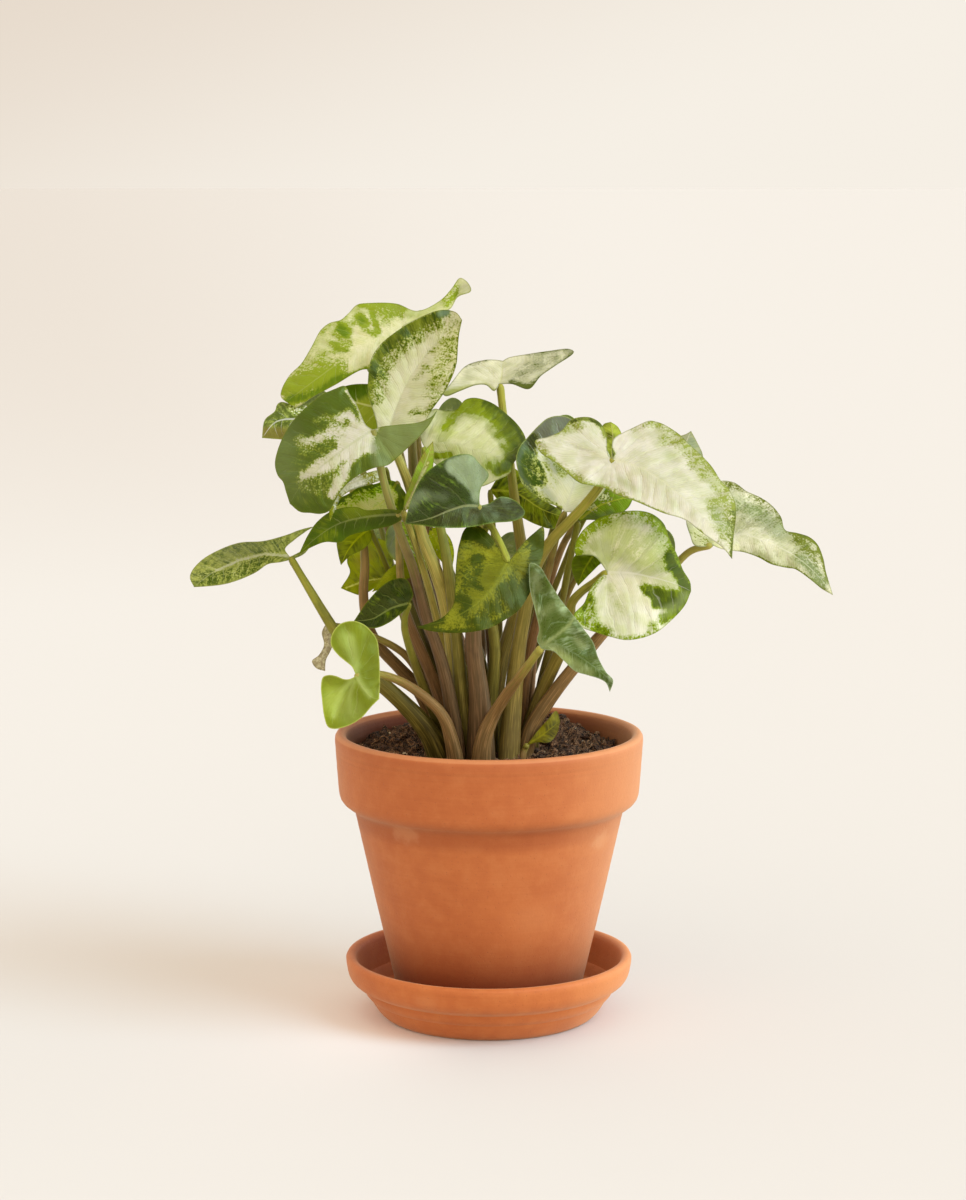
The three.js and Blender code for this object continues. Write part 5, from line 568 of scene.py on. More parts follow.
        'stalk': [[-61.7, -65.9, 178.6, 1.6], [-57.6, -58.3, 177.9, 1.6], [-53.1, -52.6, 177.3, 1.7], [-48.6, -47.2, 175.6, 1.8], [-43.9, -42.3, 173, 1.9], [-39.2, -37.9, 169.8, 2], [-34.3, -34.3, 165.9, 2.1], [-29.3, -31.6, 161.4, 2.2], [-24.4, -30, 156.3, 2.3], [-20.7, -29.2, 150.2, 2.4], [-18.6, -28.6, 143.3, 2.5], [-17, -27.8, 136.2, 2.6], [-15.9, -27, 129.1, 2.7], [-14.8, -26.3, 122, 2.7]],
        'stalk_kind': 'tan',
        'stout': 1.15,
        'nodes': ['leaf_left_low_blade', 'leaf_left_low_petiole'],
        'slot': 'leaf_cream',
    },
    'leaf_left_folded': {
        'kind': 'leaf',
        'a': [[-36, -1.5], [-34.1, 1.9], [-35.1, 6.3], [-37.5, 10.2], [-43.3, 10.2], [-49.2, 6.8], [-56.5, -1], [-59.9, -5.8], [-62.8, -10.2]],
        'b': [[-36, -1.5], [-37, -3.9], [-39, -5.8], [-45.3, -10.7], [-52.1, -13.6], [-57.5, -13.1], [-62.8, -10.2]],
        'm': [[-36, -1.5], [-44.3, -3.9], [-54.1, -9.3], [-62.8, -10.2]],
        'at': [-42.91, -0.0783, 0.6766, -47.7, -3.4],
        'fold': -0.3,
        'arch': 2,
        'stalk': [[-37.6, -42.5, 209.3, 1.6], [-39.6, -37, 202.8, 1.6], [-40, -33.3, 196.2, 1.7], [-38.9, -29.7, 189.7, 1.7], [-37.2, -26.1, 183.2, 1.8], [-35.4, -22.6, 176.8, 1.8], [-33.5, -19.1, 170.4, 1.9], [-31.2, -15.8, 163.9, 1.9], [-29, -12.7, 157.4, 2], [-26.7, -10, 150.7, 2.1], [-24.4, -7.9, 143.8, 2.1], [-22.2, -6.5, 136.7, 2.2], [-20.6, -5.7, 129.4, 2.2], [-19.1, -5, 122, 2.2]],
        'stalk_kind': 'olive',
        'stout': 1.12,
        'nodes': ['leaf_left_folded_blade', 'leaf_left_folded_petiole'],
        'slot': 'leaf_green',
    },
    'leaf_left_olive': {
        'kind': 'leaf',
        'a': [[-48.2, 10.7], [-44.3, 17], [-45.3, 26.8], [-52.6, 30.2], [-59.9, 28.7], [-65.3, 23.4], [-66.2, 18.5], [-64.8, 13.6], [-69.2, 5.8]],
        'b': [[-48.2, 10.7], [-50.2, 7.8], [-54.1, 4.9], [-59.4, 2.4], [-64.8, 3.9], [-69.2, 5.8]],
        'm': [[-48.2, 10.7], [-57.5, 7.8], [-69.2, 5.8]],
        'at': [7.2, 0.4821, 1.096, -56.9, 13],
        'fold': 0.2,
        'arch': 2,
        'stalk': [[-51, 8.9, 214.1, 1.1], [-47.2, 7, 207.7, 1.2], [-44.1, 7.3, 200.8, 1.2], [-41.6, 7.8, 193.6, 1.3], [-39.3, 8.5, 186.3, 1.3], [-36.9, 9.4, 179.1, 1.4], [-34.5, 10.4, 172, 1.5], [-32, 11.7, 164.9, 1.5], [-29.7, 13, 157.7, 1.6], [-27.5, 14.3, 150.6, 1.6], [-25.3, 15.4, 143.3, 1.7], [-23.1, 16.3, 136.1, 1.7], [-20.4, 16.9, 129, 1.8], [-17.4, 17.5, 122, 1.8]],
        'stalk_kind': 'olive',
        'stout': 1.12,
        'nodes': ['leaf_left_olive'],
        'slot': 'leaf_green',
    },
    'leaf_left_olive_small': {
        'kind': 'leaf',
        'a': [[-55, 35.1], [-59.9, 37], [-67.2, 35.1], [-71.1, 29.2], [-70.6, 22.9], [-69.2, 17]],
        'b': [[-55, 35.1], [-54.1, 30.2], [-57.5, 25.3], [-64.8, 21.4], [-69.2, 17]],
        'm': [[-55, 35.1], [-60.9, 30.2], [-65.7, 24.3], [-69.2, 17]],
        'at': [-12.9, -0.1129, 0.2885, -63.2, 27.8],
        'fold': 0.2,
        'arch': 2,
        'stalk': [[-56.9, -11.7, 241, 1.1], [-54, -3.8, 232.7, 1.2], [-51.1, 2.7, 224.5, 1.2], [-48.4, 9.5, 216.4, 1.3], [-45.5, 15.4, 207.8, 1.3], [-42.2, 19.5, 198.3, 1.4], [-38.6, 22.1, 188.4, 1.4], [-34.6, 23.8, 178.5, 1.5], [-30, 25, 168.6, 1.5], [-25.3, 25.9, 158.9, 1.6], [-20.4, 26.5, 149.2, 1.6], [-15.4, 27.2, 139.6, 1.7], [-9.9, 28.6, 130.3, 1.8], [-3, 29.8, 122, 1.8]],
        'stalk_kind': 'olive',
        'stout': 1.12,
        'nodes': ['leaf_left_olive_small'],
        'slot': 'leaf_green',
    },
    'leaf_left_level': {
        'kind': 'leaf',
        'a': [[-41.4, 41.9], [-39.4, 43.3], [-47.7, 44.3], [-57, 43.8], [-61.4, 45.3], [-69.2, 44.8], [-75.5, 42.4], [-81.3, 37.5], [-84.7, 32.6], [-87.2, 27.8], [-89.6, 22.4]],
        'b': [[-41.4, 41.9], [-39.4, 39.9], [-44.3, 36.5], [-54.5, 34.1], [-65.3, 31.2], [-69.2, 28.2], [-76.9, 28.2], [-83.3, 25.8], [-89.6, 22.4]],
        'm': [[-41.4, 41.9], [-57.5, 40.4], [-70.6, 37], [-81.3, 30.2], [-89.6, 22.4]],
        'at': [-41.2, -0.0811, 0.0405, -65.1, 35.7],
        'fold': 0.1,
        'arch': 3,
        'stalk': [[-42.6, -42.9, 251.4, 1.6], [-42.7, -30.5, 240, 1.7], [-42.5, -27.8, 229.8, 1.8], [-42.1, -25, 219.7, 1.8], [-41.3, -21.7, 209.7, 1.9], [-39.6, -18, 200, 2], [-36.5, -14.2, 190.6, 2.1], [-32.8, -10.7, 181.4, 2.2], [-29, -7.5, 172.1, 2.3], [-25.5, -4.8, 162.5, 2.4], [-22.4, -2.6, 152.6, 2.5], [-19.6, -1.2, 142.6, 2.6], [-17.3, -0.3, 132.3, 2.7], [-15.2, 0.6, 122, 2.7]],
        'stalk_kind': 'wine',
        'stout': 1.3,
        'nodes': ['leaf_left_level_blade', 'leaf_left_level_petiole'],
        'slot': 'leaf_green',
    },
    'leaf_left_mottled': {
        'kind': 'leaf',
        'a': [[-41.9, 57.5], [-46.3, 58.4], [-52.6, 56.5], [-59.9, 55], [-65.7, 51.6], [-70.1, 49.2], [-72.1, 45.3], [-67.2, 40.9]],
        'b': [[-41.9, 57.5], [-39.4, 54.5], [-37, 50.2], [-38, 44.3], [-45.3, 39.9], [-57.5, 39], [-67.2, 40.9]],
        'm': [[-41.9, 57.5], [-46.3, 50.2], [-55, 43.8], [-67.2, 40.9]],
        'at': [-23.77, -0.0441, 0.2165, -53.9, 48],
        'fold': 0.2,
        'arch': 2,
        'stalk': [[-43.6, -22.3, 264.2, 1.3], [-42.5, -11.4, 256.2, 1.4], [-41.1, -3.2, 247.4, 1.4], [-39.3, 2.4, 237.1, 1.5], [-37.2, 4, 225.3, 1.5], [-35, 4.6, 213.4, 1.6], [-31.8, 5, 201.8, 1.6], [-27.4, 5.2, 190.5, 1.7], [-22.8, 5.5, 179.3, 1.8], [-18.3, 5.8, 168, 1.8], [-14, 6, 156.7, 1.9], [-10.2, 6.2, 145.2, 1.9], [-6.7, 6.5, 133.6, 2], [-3.1, 6.8, 122, 2]],
        'stalk_kind': 'wine',
        'stout': 1.12,
        'nodes': ['leaf_left_mottled'],
        'slot': 'leaf_green',
    },
    'leaf_left_curled': {
        'kind': 'leaf',
        'a': [[-47.2, 64.3], [-55, 62.3], [-63.8, 59.4], [-70.1, 56.5], [-74, 50.6], [-75, 43.8], [-74.5, 38.5]],
        'b': [[-47.2, 64.3], [-48.2, 59.4], [-55, 56.5], [-63.8, 53.6], [-69.2, 49.7], [-71.6, 44.8], [-74.5, 38.5]],
        'm': [[-47.2, 64.3], [-58.9, 58.9], [-69.2, 53.6], [-74.5, 38.5]],
        'at': [-34.74, 0.1833, 0.8179, -63.5, 53.8],
        'fold': 0.1,
        'arch': 3,
        'stalk': [[-48.7, -23.2, 271, 1.1], [-47, -15.7, 259.8, 1.2], [-45.8, -9.6, 248.7, 1.2], [-45.3, -1.6, 238.8, 1.3], [-44.2, 5.1, 228.1, 1.3], [-42.3, 10.2, 216.6, 1.4], [-39.6, 13.8, 204.8, 1.4], [-35.8, 16.6, 192.9, 1.5], [-31.5, 18.9, 181.2, 1.5], [-26.7, 21, 169.6, 1.6], [-21.7, 22.1, 158, 1.6], [-17.3, 22.5, 146, 1.7], [-13.6, 23.6, 133.9, 1.8], [-9.4, 25.3, 122, 1.8]],
        'stalk_kind': 'dim',
        'stout': 1.12,
        'nodes': ['leaf_left_curled'],
        'slot': 'leaf_green',
    },
    'leaf_furled_young': {
        'kind': 'leaf',
        'a': [[-39, 42.9], [-38, 50.2], [-35.1, 58], [-31.7, 66.7], [-28.2, 73], [-24.3, 77.4]],
        'b': [[-39, 42.9], [-35.1, 45.3], [-29.2, 53.6], [-25.3, 61.4], [-23.9, 69.2], [-24.3, 77.4]],
        'm': [[-39, 42.9], [-34.1, 52.6], [-28.7, 65.3], [-24.3, 77.4]],
        'at': [-28.5, 0.6007, 0.168, -30.8, 59.8],
        'fold': 0.5,
        'arch': 2,
        'stalk': [[-40.4, -36.2, 251.6, 1.6], [-37.3, -25.5, 241.5, 1.6], [-34.3, -21.9, 232, 1.6], [-31.5, -18.6, 222.4, 1.7], [-28.8, -15.7, 212.5, 1.7], [-26.4, -12.7, 202.7, 1.7], [-24.2, -9.6, 192.8, 1.8], [-21.9, -6.6, 183, 1.8], [-19.8, -3.5, 173, 1.9], [-18, -0.6, 163.1, 1.9], [-16.3, 2.1, 153, 1.9], [-14.6, 4.3, 142.8, 2], [-12.9, 5.3, 132.4, 2], [-11.1, 5.9, 122, 2]],
        'stalk_kind': 'pale',
        'stout': 1.12,
        'nodes': ['leaf_furled_young'],
        'slot': 'leaf_green',
    },
    'leaf_left_pale': {
        'kind': 'leaf',
        'a': [[-25.3, 16.1], [-29.7, 19.5], [-35.6, 21.4], [-40.4, 19], [-45.8, 15.1], [-50.2, 9.7], [-54.1, 3.9]],
        'b': [[-25.3, 16.1], [-28.7, 13.6], [-34.6, 11.2], [-40.4, 8.8], [-46.3, 6.3], [-54.1, 3.9]],
        'm': [[-25.3, 16.1], [-35.6, 16.1], [-45.3, 11.2], [-54.1, 3.9]],
        'at': [-17.29, 0.2442, 0.2492, -40.2, 12.4],
        'fold': 0.2,
        'arch': 2,
        'stalk': [[-27.8, -12.8, 222.4, 1.1], [-25.7, -8.9, 214.6, 1.2], [-23.5, -6.7, 207, 1.2], [-21.4, -4.7, 199.3, 1.3], [-19.2, -2.8, 191.6, 1.3], [-16.7, -0.9, 184, 1.4], [-14, 1.1, 176.4, 1.5], [-11.5, 3.4, 168.9, 1.5], [-9.5, 6.1, 161.4, 1.6], [-7.7, 8.6, 153.8, 1.6], [-6.1, 10.6, 146, 1.7], [-4.6, 11.5, 138, 1.7], [-2.7, 11.4, 130, 1.8], [-0.7, 10.9, 122, 1.8]],
        'stalk_kind': 'olive',
        'stout': 1.12,
        'nodes': ['leaf_left_pale'],
        'slot': 'leaf_green',
    },
    'leaf_centre_grey': {
        'kind': 'leaf',
        'a': [[-41.4, 38], [-46.3, 35.1], [-47.2, 26.8], [-44.3, 20.5], [-38, 17], [-26.8, 18]],
        'b': [[-41.4, 38], [-34.6, 38], [-28.7, 33.1], [-24.8, 26.8], [-24.8, 21.4], [-26.8, 18]],
        'm': [[-41.4, 38], [-38.5, 29.2], [-33.6, 22.9], [-26.8, 18]],
        'at': [-8.37, 0.506, 0.4176, -35.5, 27.6],
        'fold': 0.3,
        'arch': 2,
        'stalk': [[-43.6, -7, 243.3, 1.1], [-42.2, 6.1, 235.7, 1.2], [-40.1, 12.3, 227.5, 1.2], [-36.8, 15.1, 218, 1.3], [-32.4, 14.6, 208.4, 1.3], [-28, 12.7, 198.8, 1.4], [-23.8, 10.9, 189.2, 1.4], [-19.4, 9.7, 179.6, 1.5], [-14.9, 10, 169.9, 1.5], [-10.5, 12.1, 160.5, 1.6], [-6.7, 15.3, 151, 1.7], [-3.4, 18.3, 141.4, 1.7], [0.1, 20.6, 131.6, 1.8], [4.4, 22.1, 122, 1.8]],
        'stalk_kind': 'dim',
        'stout': 1.12,
        'nodes': ['leaf_centre_grey'],
        'slot': 'leaf_green',
    },
    'leaf_centre_small': {
        'kind': 'leaf',
        'a': [[-25.8, 35.1], [-26.8, 29.2], [-23.9, 23.4], [-20, 18.5], [-15.1, 14.6]],
        'b': [[-25.8, 35.1], [-20.9, 35.1], [-16.1, 30.2], [-14.1, 23.4], [-15.1, 14.6]],
        'm': [[-25.8, 35.1], [-21.9, 27.8], [-18, 21.4], [-15.1, 14.6]],
        'at': [14, -0.0015, 0.2932, -20, 25.6],
        'fold': 0.2,
        'arch': 2,
        'stalk': [[-28.7, 16.8, 237.6, 1.1], [-24.6, 18.4, 229, 1.2], [-20.5, 18.7, 220.6, 1.2], [-16.5, 19, 212.1, 1.3], [-12.9, 19.3, 203.4, 1.3], [-9.7, 19.8, 194.6, 1.4], [-6.9, 20.3, 185.7, 1.4], [-4.4, 20.9, 176.6, 1.5], [-2.1, 21.6, 167.6, 1.5], [0, 22.4, 158.5, 1.6], [1.9, 23.2, 149.3, 1.7], [3.5, 24.2, 140.1, 1.7], [5.3, 25.2, 131, 1.8], [7.7, 26.5, 122, 1.8]],
        'stalk_kind': 'dim',
        'stout': 1.12,
        'nodes': ['leaf_centre_small'],
        'slot': 'leaf_green',
    },
    'leaf_centre_olive': {
        'kind': 'leaf',
        'a': [[3.4, 53.6], [7.9, 60.3], [14.6, 64.3], [21.3, 57.6], [28.1, 49.5], [35.9, 44.8], [41.5, 39.5]],
        'b': [[3.4, 53.6], [9, 46.8], [16.9, 41.5], [25.8, 36.8], [34.2, 34.8], [41.5, 39.5]],
        'm': [[3.4, 53.6], [15.7, 52.2], [28.6, 44.2], [41.5, 39.5]],
        'at': [16.31, 0.1032, 0.4925, 19.4, 49.2],
        'fold': 0.2,
        'arch': 2,
        'stalk': [[0.5, 16.8, 256.2, 1.3], [1.4, 17.7, 245.7, 1.4], [2.2, 17.2, 235.4, 1.4], [3, 16.7, 225.1, 1.5], [3.7, 16.2, 214.8, 1.5], [4.3, 15.8, 204.5, 1.5], [4.6, 15.4, 194.2, 1.6], [4.6, 15.1, 183.8, 1.6], [4.4, 14.8, 173.5, 1.6], [4.1, 14.8, 163.2, 1.7], [3.7, 14.9, 152.8, 1.7], [3.2, 15.3, 142.5, 1.7], [2.7, 16.2, 132.2, 1.8], [2.1, 17.6, 122, 1.8]],
        'stalk_kind': 'olive',
        'stout': 1.3,
        'nodes': ['leaf_centre_olive'],
        'slot': 'leaf_green',
    },
    'leaf_basal_young': {
        'kind': 'leaf',
        'a': [[21.4, -70.6], [26.8, -63.5], [31.5, -58.4], [35.7, -53.9], [37.5, -59]],
        'b': [[21.4, -70.6], [26.8, -69.3], [32.1, -69.3], [35.7, -65.5], [37.5, -59]],
        'm': [[21.4, -70.6], [29.2, -65.5], [37.5, -59]],
        'at': [-11.59, 0.2851, 0.2679, 29, -65.6],
        'fold': 0.2,
        'arch': 1,
        'stalk': [[18.3, -15.1, 136.2, 1.3], [17.7, -11.8, 134.4, 1.4], [16.6, -12.1, 132.1, 1.5], [16.2, -12.2, 129.6, 1.6], [15.8, -12.2, 127.1, 1.6], [15.4, -12.2, 124.5, 1.6], [15.1, -12.2, 122, 1.6]],
        'stalk_kind': 'tan',
        'stout': 1.12,
        'nodes': ['leaf_basal_young'],
        'slot': 'leaf_green',
    },
    'leaf_right_dark_small': {
        'kind': 'leaf',
        'a': [[57, 25.3], [52.1, 26.8], [46.3, 23.4], [43.3, 18.5], [43.8, 12.7], [46.3, 6.8]],
        'b': [[57, 25.3], [58.9, 19.5], [56, 16.6], [52.1, 12.7], [46.3, 6.8]],
        'm': [[57, 25.3], [52.1, 19.5], [48.7, 13.6], [46.3, 6.8]],
        'at': [-12.41, 0.1062, 0.3999, 50.6, 17.5],
        'fold': 0.2,
        'arch': 2,
        'stalk': [[53.2, -8.6, 231, 1.1], [47.9, -3.8, 224.3, 1.2], [43.2, -0.6, 217.1, 1.2], [39.3, 2.3, 209.4, 1.3], [36.3, 4.9, 201.2, 1.3], [33.8, 7.1, 192.8, 1.4], [31.5, 9, 184.2, 1.4], [29.5, 10.7, 175.4, 1.5], [27.5, 12.1, 166.7, 1.5], [25.3, 13.3, 157.9, 1.6], [23.4, 14.1, 149, 1.7], [22, 14.5, 140.1, 1.7], [20.9, 14.5, 131, 1.8], [19.7, 14.2, 122, 1.8]],
        'stalk_kind': 'wine',
        'stout': 1.12,
        'nodes': ['leaf_right_dark_small'],
        'slot': 'leaf_green',
    },
    'leaf_right_notch': {
        'kind': 'leaf',
        'a': [[61.8, 59.4], [58.9, 67.2], [58, 75], [57.5, 82.8], [58.9, 85.7], [62.3, 86.7]],
        'b': [[61.8, 59.4], [66.2, 67.2], [67.2, 74], [67.7, 79.9], [65.7, 84.3], [62.3, 86.7]],
        'm': [[61.8, 59.4], [62.8, 70.6], [63.3, 78.9], [62.3, 86.7]],
        'at': [0.7, -0.0009, 0.2758, 62.4, 73.8],
        'fold': 0.3,
        'arch': 2,
        'stalk': [[58, -3.3, 264.1, 1.1], [52.1, 0.3, 254.1, 1.2], [46.2, 2.4, 244.1, 1.2], [41.1, 4.4, 233.7, 1.3], [37, 6.3, 222.9, 1.3], [32.9, 8, 212, 1.4], [28.8, 9.6, 201.1, 1.4], [25.4, 11.1, 189.9, 1.5], [22.5, 12.4, 178.6, 1.6], [19.3, 13.8, 167.4, 1.6], [16.2, 15.3, 156.1, 1.7], [14.2, 17.3, 144.7, 1.7], [12.9, 19.7, 133.3, 1.8], [11.5, 22.6, 122, 1.8]],
        'stalk_kind': 'olive',
        'stout': 1.12,
        'nodes': ['leaf_right_notch'],
        'slot': 'leaf_green',
    },
    'leaf_back_1': {
        'kind': 'back',
        'a': [[-71.1, 83.8], [-68.1, 85.5], [-63.3, 88.7], [-56.6, 90.1], [-51.6, 88.4], [-48.9, 83.3], [-49.4, 76.7], [-53.5, 69.8], [-60.3, 63.5], [-69.4, 58.5], [-79.6, 54.8], [-87.7, 51.6]],
        'b': [[-71.1, 83.8], [-71.4, 87.2], [-71.7, 93], [-74.3, 99.3], [-78.7, 102.3], [-84.3, 101.6], [-89.5, 97.3], [-92.7, 90], [-93.8, 80.8], [-92.7, 70.5], [-89.8, 60], [-87.7, 51.6]],
        'm': [[-71.1, 83.8], [-76.6, 73.2], [-82, 62.6], [-87.7, 51.6]],
        'at': [47.05, 0.4459, -0.708, -74.1, 77.9],
        'fold': -0.25,
        'arch': -8,
        'stalk': [[-75, 44.2, 284, 1.6], [-68.1, 40.2, 272.8, 1.6], [-61.4, 38.3, 261.3, 1.7], [-55.5, 37.3, 249.3, 1.7], [-50.5, 36.6, 236.8, 1.8], [-45.8, 35.7, 224.3, 1.8], [-40.8, 34.5, 211.9, 1.9], [-35.7, 33.6, 199.5, 1.9], [-31.2, 33.1, 186.9, 2], [-27.2, 33.1, 174.1, 2], [-23.8, 33.4, 161.1, 2.1], [-21.1, 33.4, 148, 2.1], [-19.1, 32.2, 134.8, 2.2], [-16.7, 28.9, 122, 2.2]],
        'stalk_kind': 'mauve',
        'stout': 1.12,
        'nodes': ['leaf_back_1'],
        'slot': 'leaf_green',
    },
    'leaf_back_2': {
        'kind': 'back',
        'a': [[-39.4, 123.7], [-38.7, 127.2], [-37.7, 133.2], [-34.4, 139.1], [-30.1, 141.1], [-25, 138.8], [-20.9, 133], [-19, 124.5], [-19.2, 114.7], [-21.6, 104.1], [-25.6, 94], [-28.7, 85.7]],
        'b': [[-39.4, 123.7], [-41.9, 126.3], [-45.9, 130.9], [-51.8, 134.2], [-56.5, 133.6], [-59.7, 129.1], [-60.1, 122], [-57.3, 113.7], [-52, 105.4], [-44.4, 97.7], [-35.7, 91.1], [-28.7, 85.7]],
        'm': [[-39.4, 123.7], [-35.9, 111.2], [-32.4, 98.6], [-28.7, 85.7]],
        'at': [58.95, 0.1073, -0.8717, -37.4, 116.6],
        'fold': -0.25,
        'arch': -8,
        'stalk': [[-43, 52.5, 323.9, 1.6], [-40.2, 47.2, 308.6, 1.6], [-37.5, 43.8, 293.1, 1.7], [-35.1, 40.7, 277.5, 1.7], [-33.1, 37.9, 261.8, 1.8], [-31, 35.4, 246, 1.8], [-28.4, 33.3, 230.3, 1.9], [-25.4, 31.4, 214.6, 1.9], [-21.8, 29.8, 199, 2], [-17.3, 28.5, 183.6, 2], [-12.6, 27.4, 168.3, 2.1], [-8.3, 26.6, 152.8, 2.1], [-4.2, 26.1, 137.3, 2.2], [0.9, 25.9, 122, 2.2]],
        'stalk_kind': 'wine',
        'stout': 1.12,
        'nodes': ['leaf_back_2'],
        'slot': 'leaf_green',
    },
    'leaf_back_3': {
        'kind': 'back',
        'a': [[-5.8, 82.8], [-3.8, 85.4], [-0.4, 90], [4.6, 93.6], [8.8, 93.4], [11.8, 89.3], [12.5, 82.7], [10.4, 74.7], [6.1, 66.5], [-0.3, 58.7], [-7.7, 51.9], [-13.6, 46.3]],
        'b': [[-5.8, 82.8], [-6.7, 86], [-7.8, 91.6], [-11, 96.9], [-14.9, 98.5], [-19.3, 96], [-22.7, 90.2], [-24, 82.1], [-23.4, 72.8], [-20.7, 63.1], [-16.7, 53.8], [-13.6, 46.3]],
        'm': [[-5.8, 82.8], [-8.4, 70.7], [-11, 58.7], [-13.6, 46.3]],
        'at': [61.53, -0.0002, -0.901, -7.3, 75.9],
        'fold': -0.25,
        'arch': -8,
        'stalk': [[-8.9, 55.3, 282, 1.6], [-8, 50.1, 270.1, 1.6], [-7.2, 46.7, 258.1, 1.7], [-6.2, 43.6, 246, 1.7], [-5, 40.8, 233.8, 1.8], [-3.7, 38.4, 221.5, 1.8], [-2.4, 36.4, 209.2, 1.9], [-1.1, 34.8, 196.8, 1.9], [0.2, 33.7, 184.4, 2], [1.4, 33.2, 171.9, 2], [2.2, 33.2, 159.4, 2.1], [2.9, 33.6, 146.9, 2.1], [3.5, 34.6, 134.4, 2.2], [4.5, 36.6, 122, 2.2]],
        'stalk_kind': 'mauve',
        'stout': 1.12,
        'nodes': ['leaf_back_3'],
        'slot': 'leaf_green',
    },
    'leaf_back_4': {
        'kind': 'back',
        'a': [[48.2, 75], [50.6, 76.5], [54.6, 79.3], [60, 80.8], [64.2, 79.5], [66.7, 75.4], [66.5, 69.8], [63.3, 64], [57.9, 58.6], [50.5, 54], [42.2, 50.6], [35.6, 47.7]],
        'b': [[48.2, 75], [47.8, 77.8], [47.4, 82.7], [45, 87.8], [41.3, 90.1], [36.6, 89.3], [32.5, 85.6], [30.1, 79.4], [29.4, 71.8], [30.7, 63.2], [33.5, 54.7], [35.6, 47.7]],
        'm': [[48.2, 75], [44, 66], [39.9, 57], [35.6, 47.7]],
        'at': [49.73, -0.2002, -0.8005, 45.9, 70],
        'fold': -0.25,
        'arch': -7,
        'stalk': [[46.1, 45.3, 275, 1.6], [41.6, 40.9, 263.9, 1.6], [37.4, 38.4, 252.7, 1.7], [33.6, 36.1, 241.2, 1.7], [30.3, 34, 229.5, 1.8], [27.1, 32.1, 217.8, 1.8], [24.1, 30.5, 206, 1.9], [21.2, 29.3, 194.1, 1.9], [18.3, 28.4, 182.1, 2], [15.5, 28, 170.2, 2], [13, 28.1, 158.1, 2.1], [10.9, 28.6, 146, 2.1], [8.9, 29.6, 133.9, 2.2], [6.2, 31.2, 122, 2.2]],
        'stalk_kind': 'dim',
        'stout': 1.12,
        'nodes': ['leaf_back_4'],
        'slot': 'leaf_green',
    },
    'leaf_back_5': {
        'kind': 'back',
        'a': [[80.4, 70.6], [79.3, 73.4], [77.3, 78], [76.9, 83.3], [78.9, 86.3], [83.2, 86.4], [88.5, 83.7], [93.5, 78.3], [97.8, 71.2], [100.8, 62.9], [102.6, 54.2], [104.2, 47.2]],
        'b': [[80.4, 70.6], [77.6, 71.6], [72.9, 73.5], [67.6, 73.8], [64.6, 71.8], [64.6, 67.4], [67.4, 62.2], [72.9, 57.3], [80.1, 53.2], [88.5, 50.3], [97.2, 48.7], [104.2, 47.2]],
        'm': [[80.4, 70.6], [88.2, 62.9], [96.1, 55.2], [104.2, 47.2]],
        'at': [49.8, -0.4995, -0.6005, 84.9, 66.2],
        'fold': -0.25,
        'arch': -7,
        'stalk': [[79, 49.4, 270.1, 1.6], [72.2, 45.3, 259.7, 1.6], [65.4, 43.1, 249.1, 1.7], [58.3, 41, 238.7, 1.7], [51.2, 39, 228.3, 1.8], [44.6, 37.3, 217.5, 1.8], [38.5, 35.8, 206.4, 1.9], [33.1, 34.6, 194.9, 1.9], [28.4, 33.8, 183, 2], [24, 33.3, 171.1, 2], [19.5, 33.3, 159.2, 2.1], [16, 33.7, 146.9, 2.1], [13.9, 34.6, 134.4, 2.2], [11.3, 36.5, 122, 2.2]],
        'stalk_kind': 'dim',
        'stout': 1.12,
        'nodes': ['leaf_back_5'],
        'slot': 'leaf_green',
    },
    'leaf_back_6': {
        'kind': 'back',
        'a': [[3.9, 23.4], [5.5, 25.6], [8, 29.6], [12, 32.7], [15.5, 32.8], [18.3, 29.6], [19.3, 24.2], [18, 17.6], [14.8, 10.7], [9.9, 4], [4.1, -1.9], [-0.5, -6.8]],
        'b': [[3.9, 23.4], [3, 26], [1.7, 30.5], [-1.2, 34.6], [-4.6, 35.7], [-8.1, 33.4], [-10.6, 28.6], [-11.2, 21.9], [-10.2, 14.3], [-7.4, 6.5], [-3.5, -0.8], [-0.5, -6.8]],
        'm': [[3.9, 23.4], [2.4, 13.4], [1, 3.4], [-0.5, -6.8]],
        'at': [62.58, -0.0022, -0.8943, 3.1, 17.7],
        'fold': -0.25,
        'arch': -7,
        'stalk': [[1.1, 57.5, 220.5, 1.6], [0.5, 52.6, 213.5, 1.6], [-0.1, 49.6, 206.2, 1.7], [-0.7, 46.7, 198.8, 1.7], [-1.3, 44.2, 191.3, 1.8], [-1.9, 41.9, 183.8, 1.8], [-2.7, 40, 176.1, 1.9], [-3.7, 38.5, 168.4, 1.9], [-4.8, 37.4, 160.6, 2], [-5.9, 36.8, 152.8, 2], [-6.9, 36.6, 144.9, 2.1], [-7.8, 36.9, 137, 2.1], [-8.9, 37.6, 129.3, 2.2], [-11.5, 39.4, 122, 2.2]],
        'stalk_kind': 'mauve',
        'stout': 1.12,
        'nodes': ['leaf_back_6'],
        'slot': 'leaf_green',
    },
    'leaf_back_7': {
        'kind': 'back',
        'a': [[-52.1, 44.8], [-50.4, 47], [-47.7, 51], [-43.7, 54], [-40.4, 53.9], [-38.3, 50.4], [-38, 44.8], [-39.9, 38], [-43.5, 31], [-48.7, 24.3], [-54.7, 18.4], [-59.4, 13.6]],
        'b': [[-52.1, 44.8], [-52.6, 47.6], [-53.3, 52.3], [-55.5, 56.8], [-58.5, 58.1], [-62, 56], [-64.8, 51.1], [-66.1, 44.1], [-66, 36.2], [-64.3, 27.9], [-61.5, 20], [-59.4, 13.6]],
        'm': [[-52.1, 44.8], [-54.5, 34.5], [-56.9, 24.2], [-59.4, 13.6]],
        'at': [61.58, 0.377, -0.744, -53.5, 38.9],
        'fold': -0.25,
        'arch': -6,
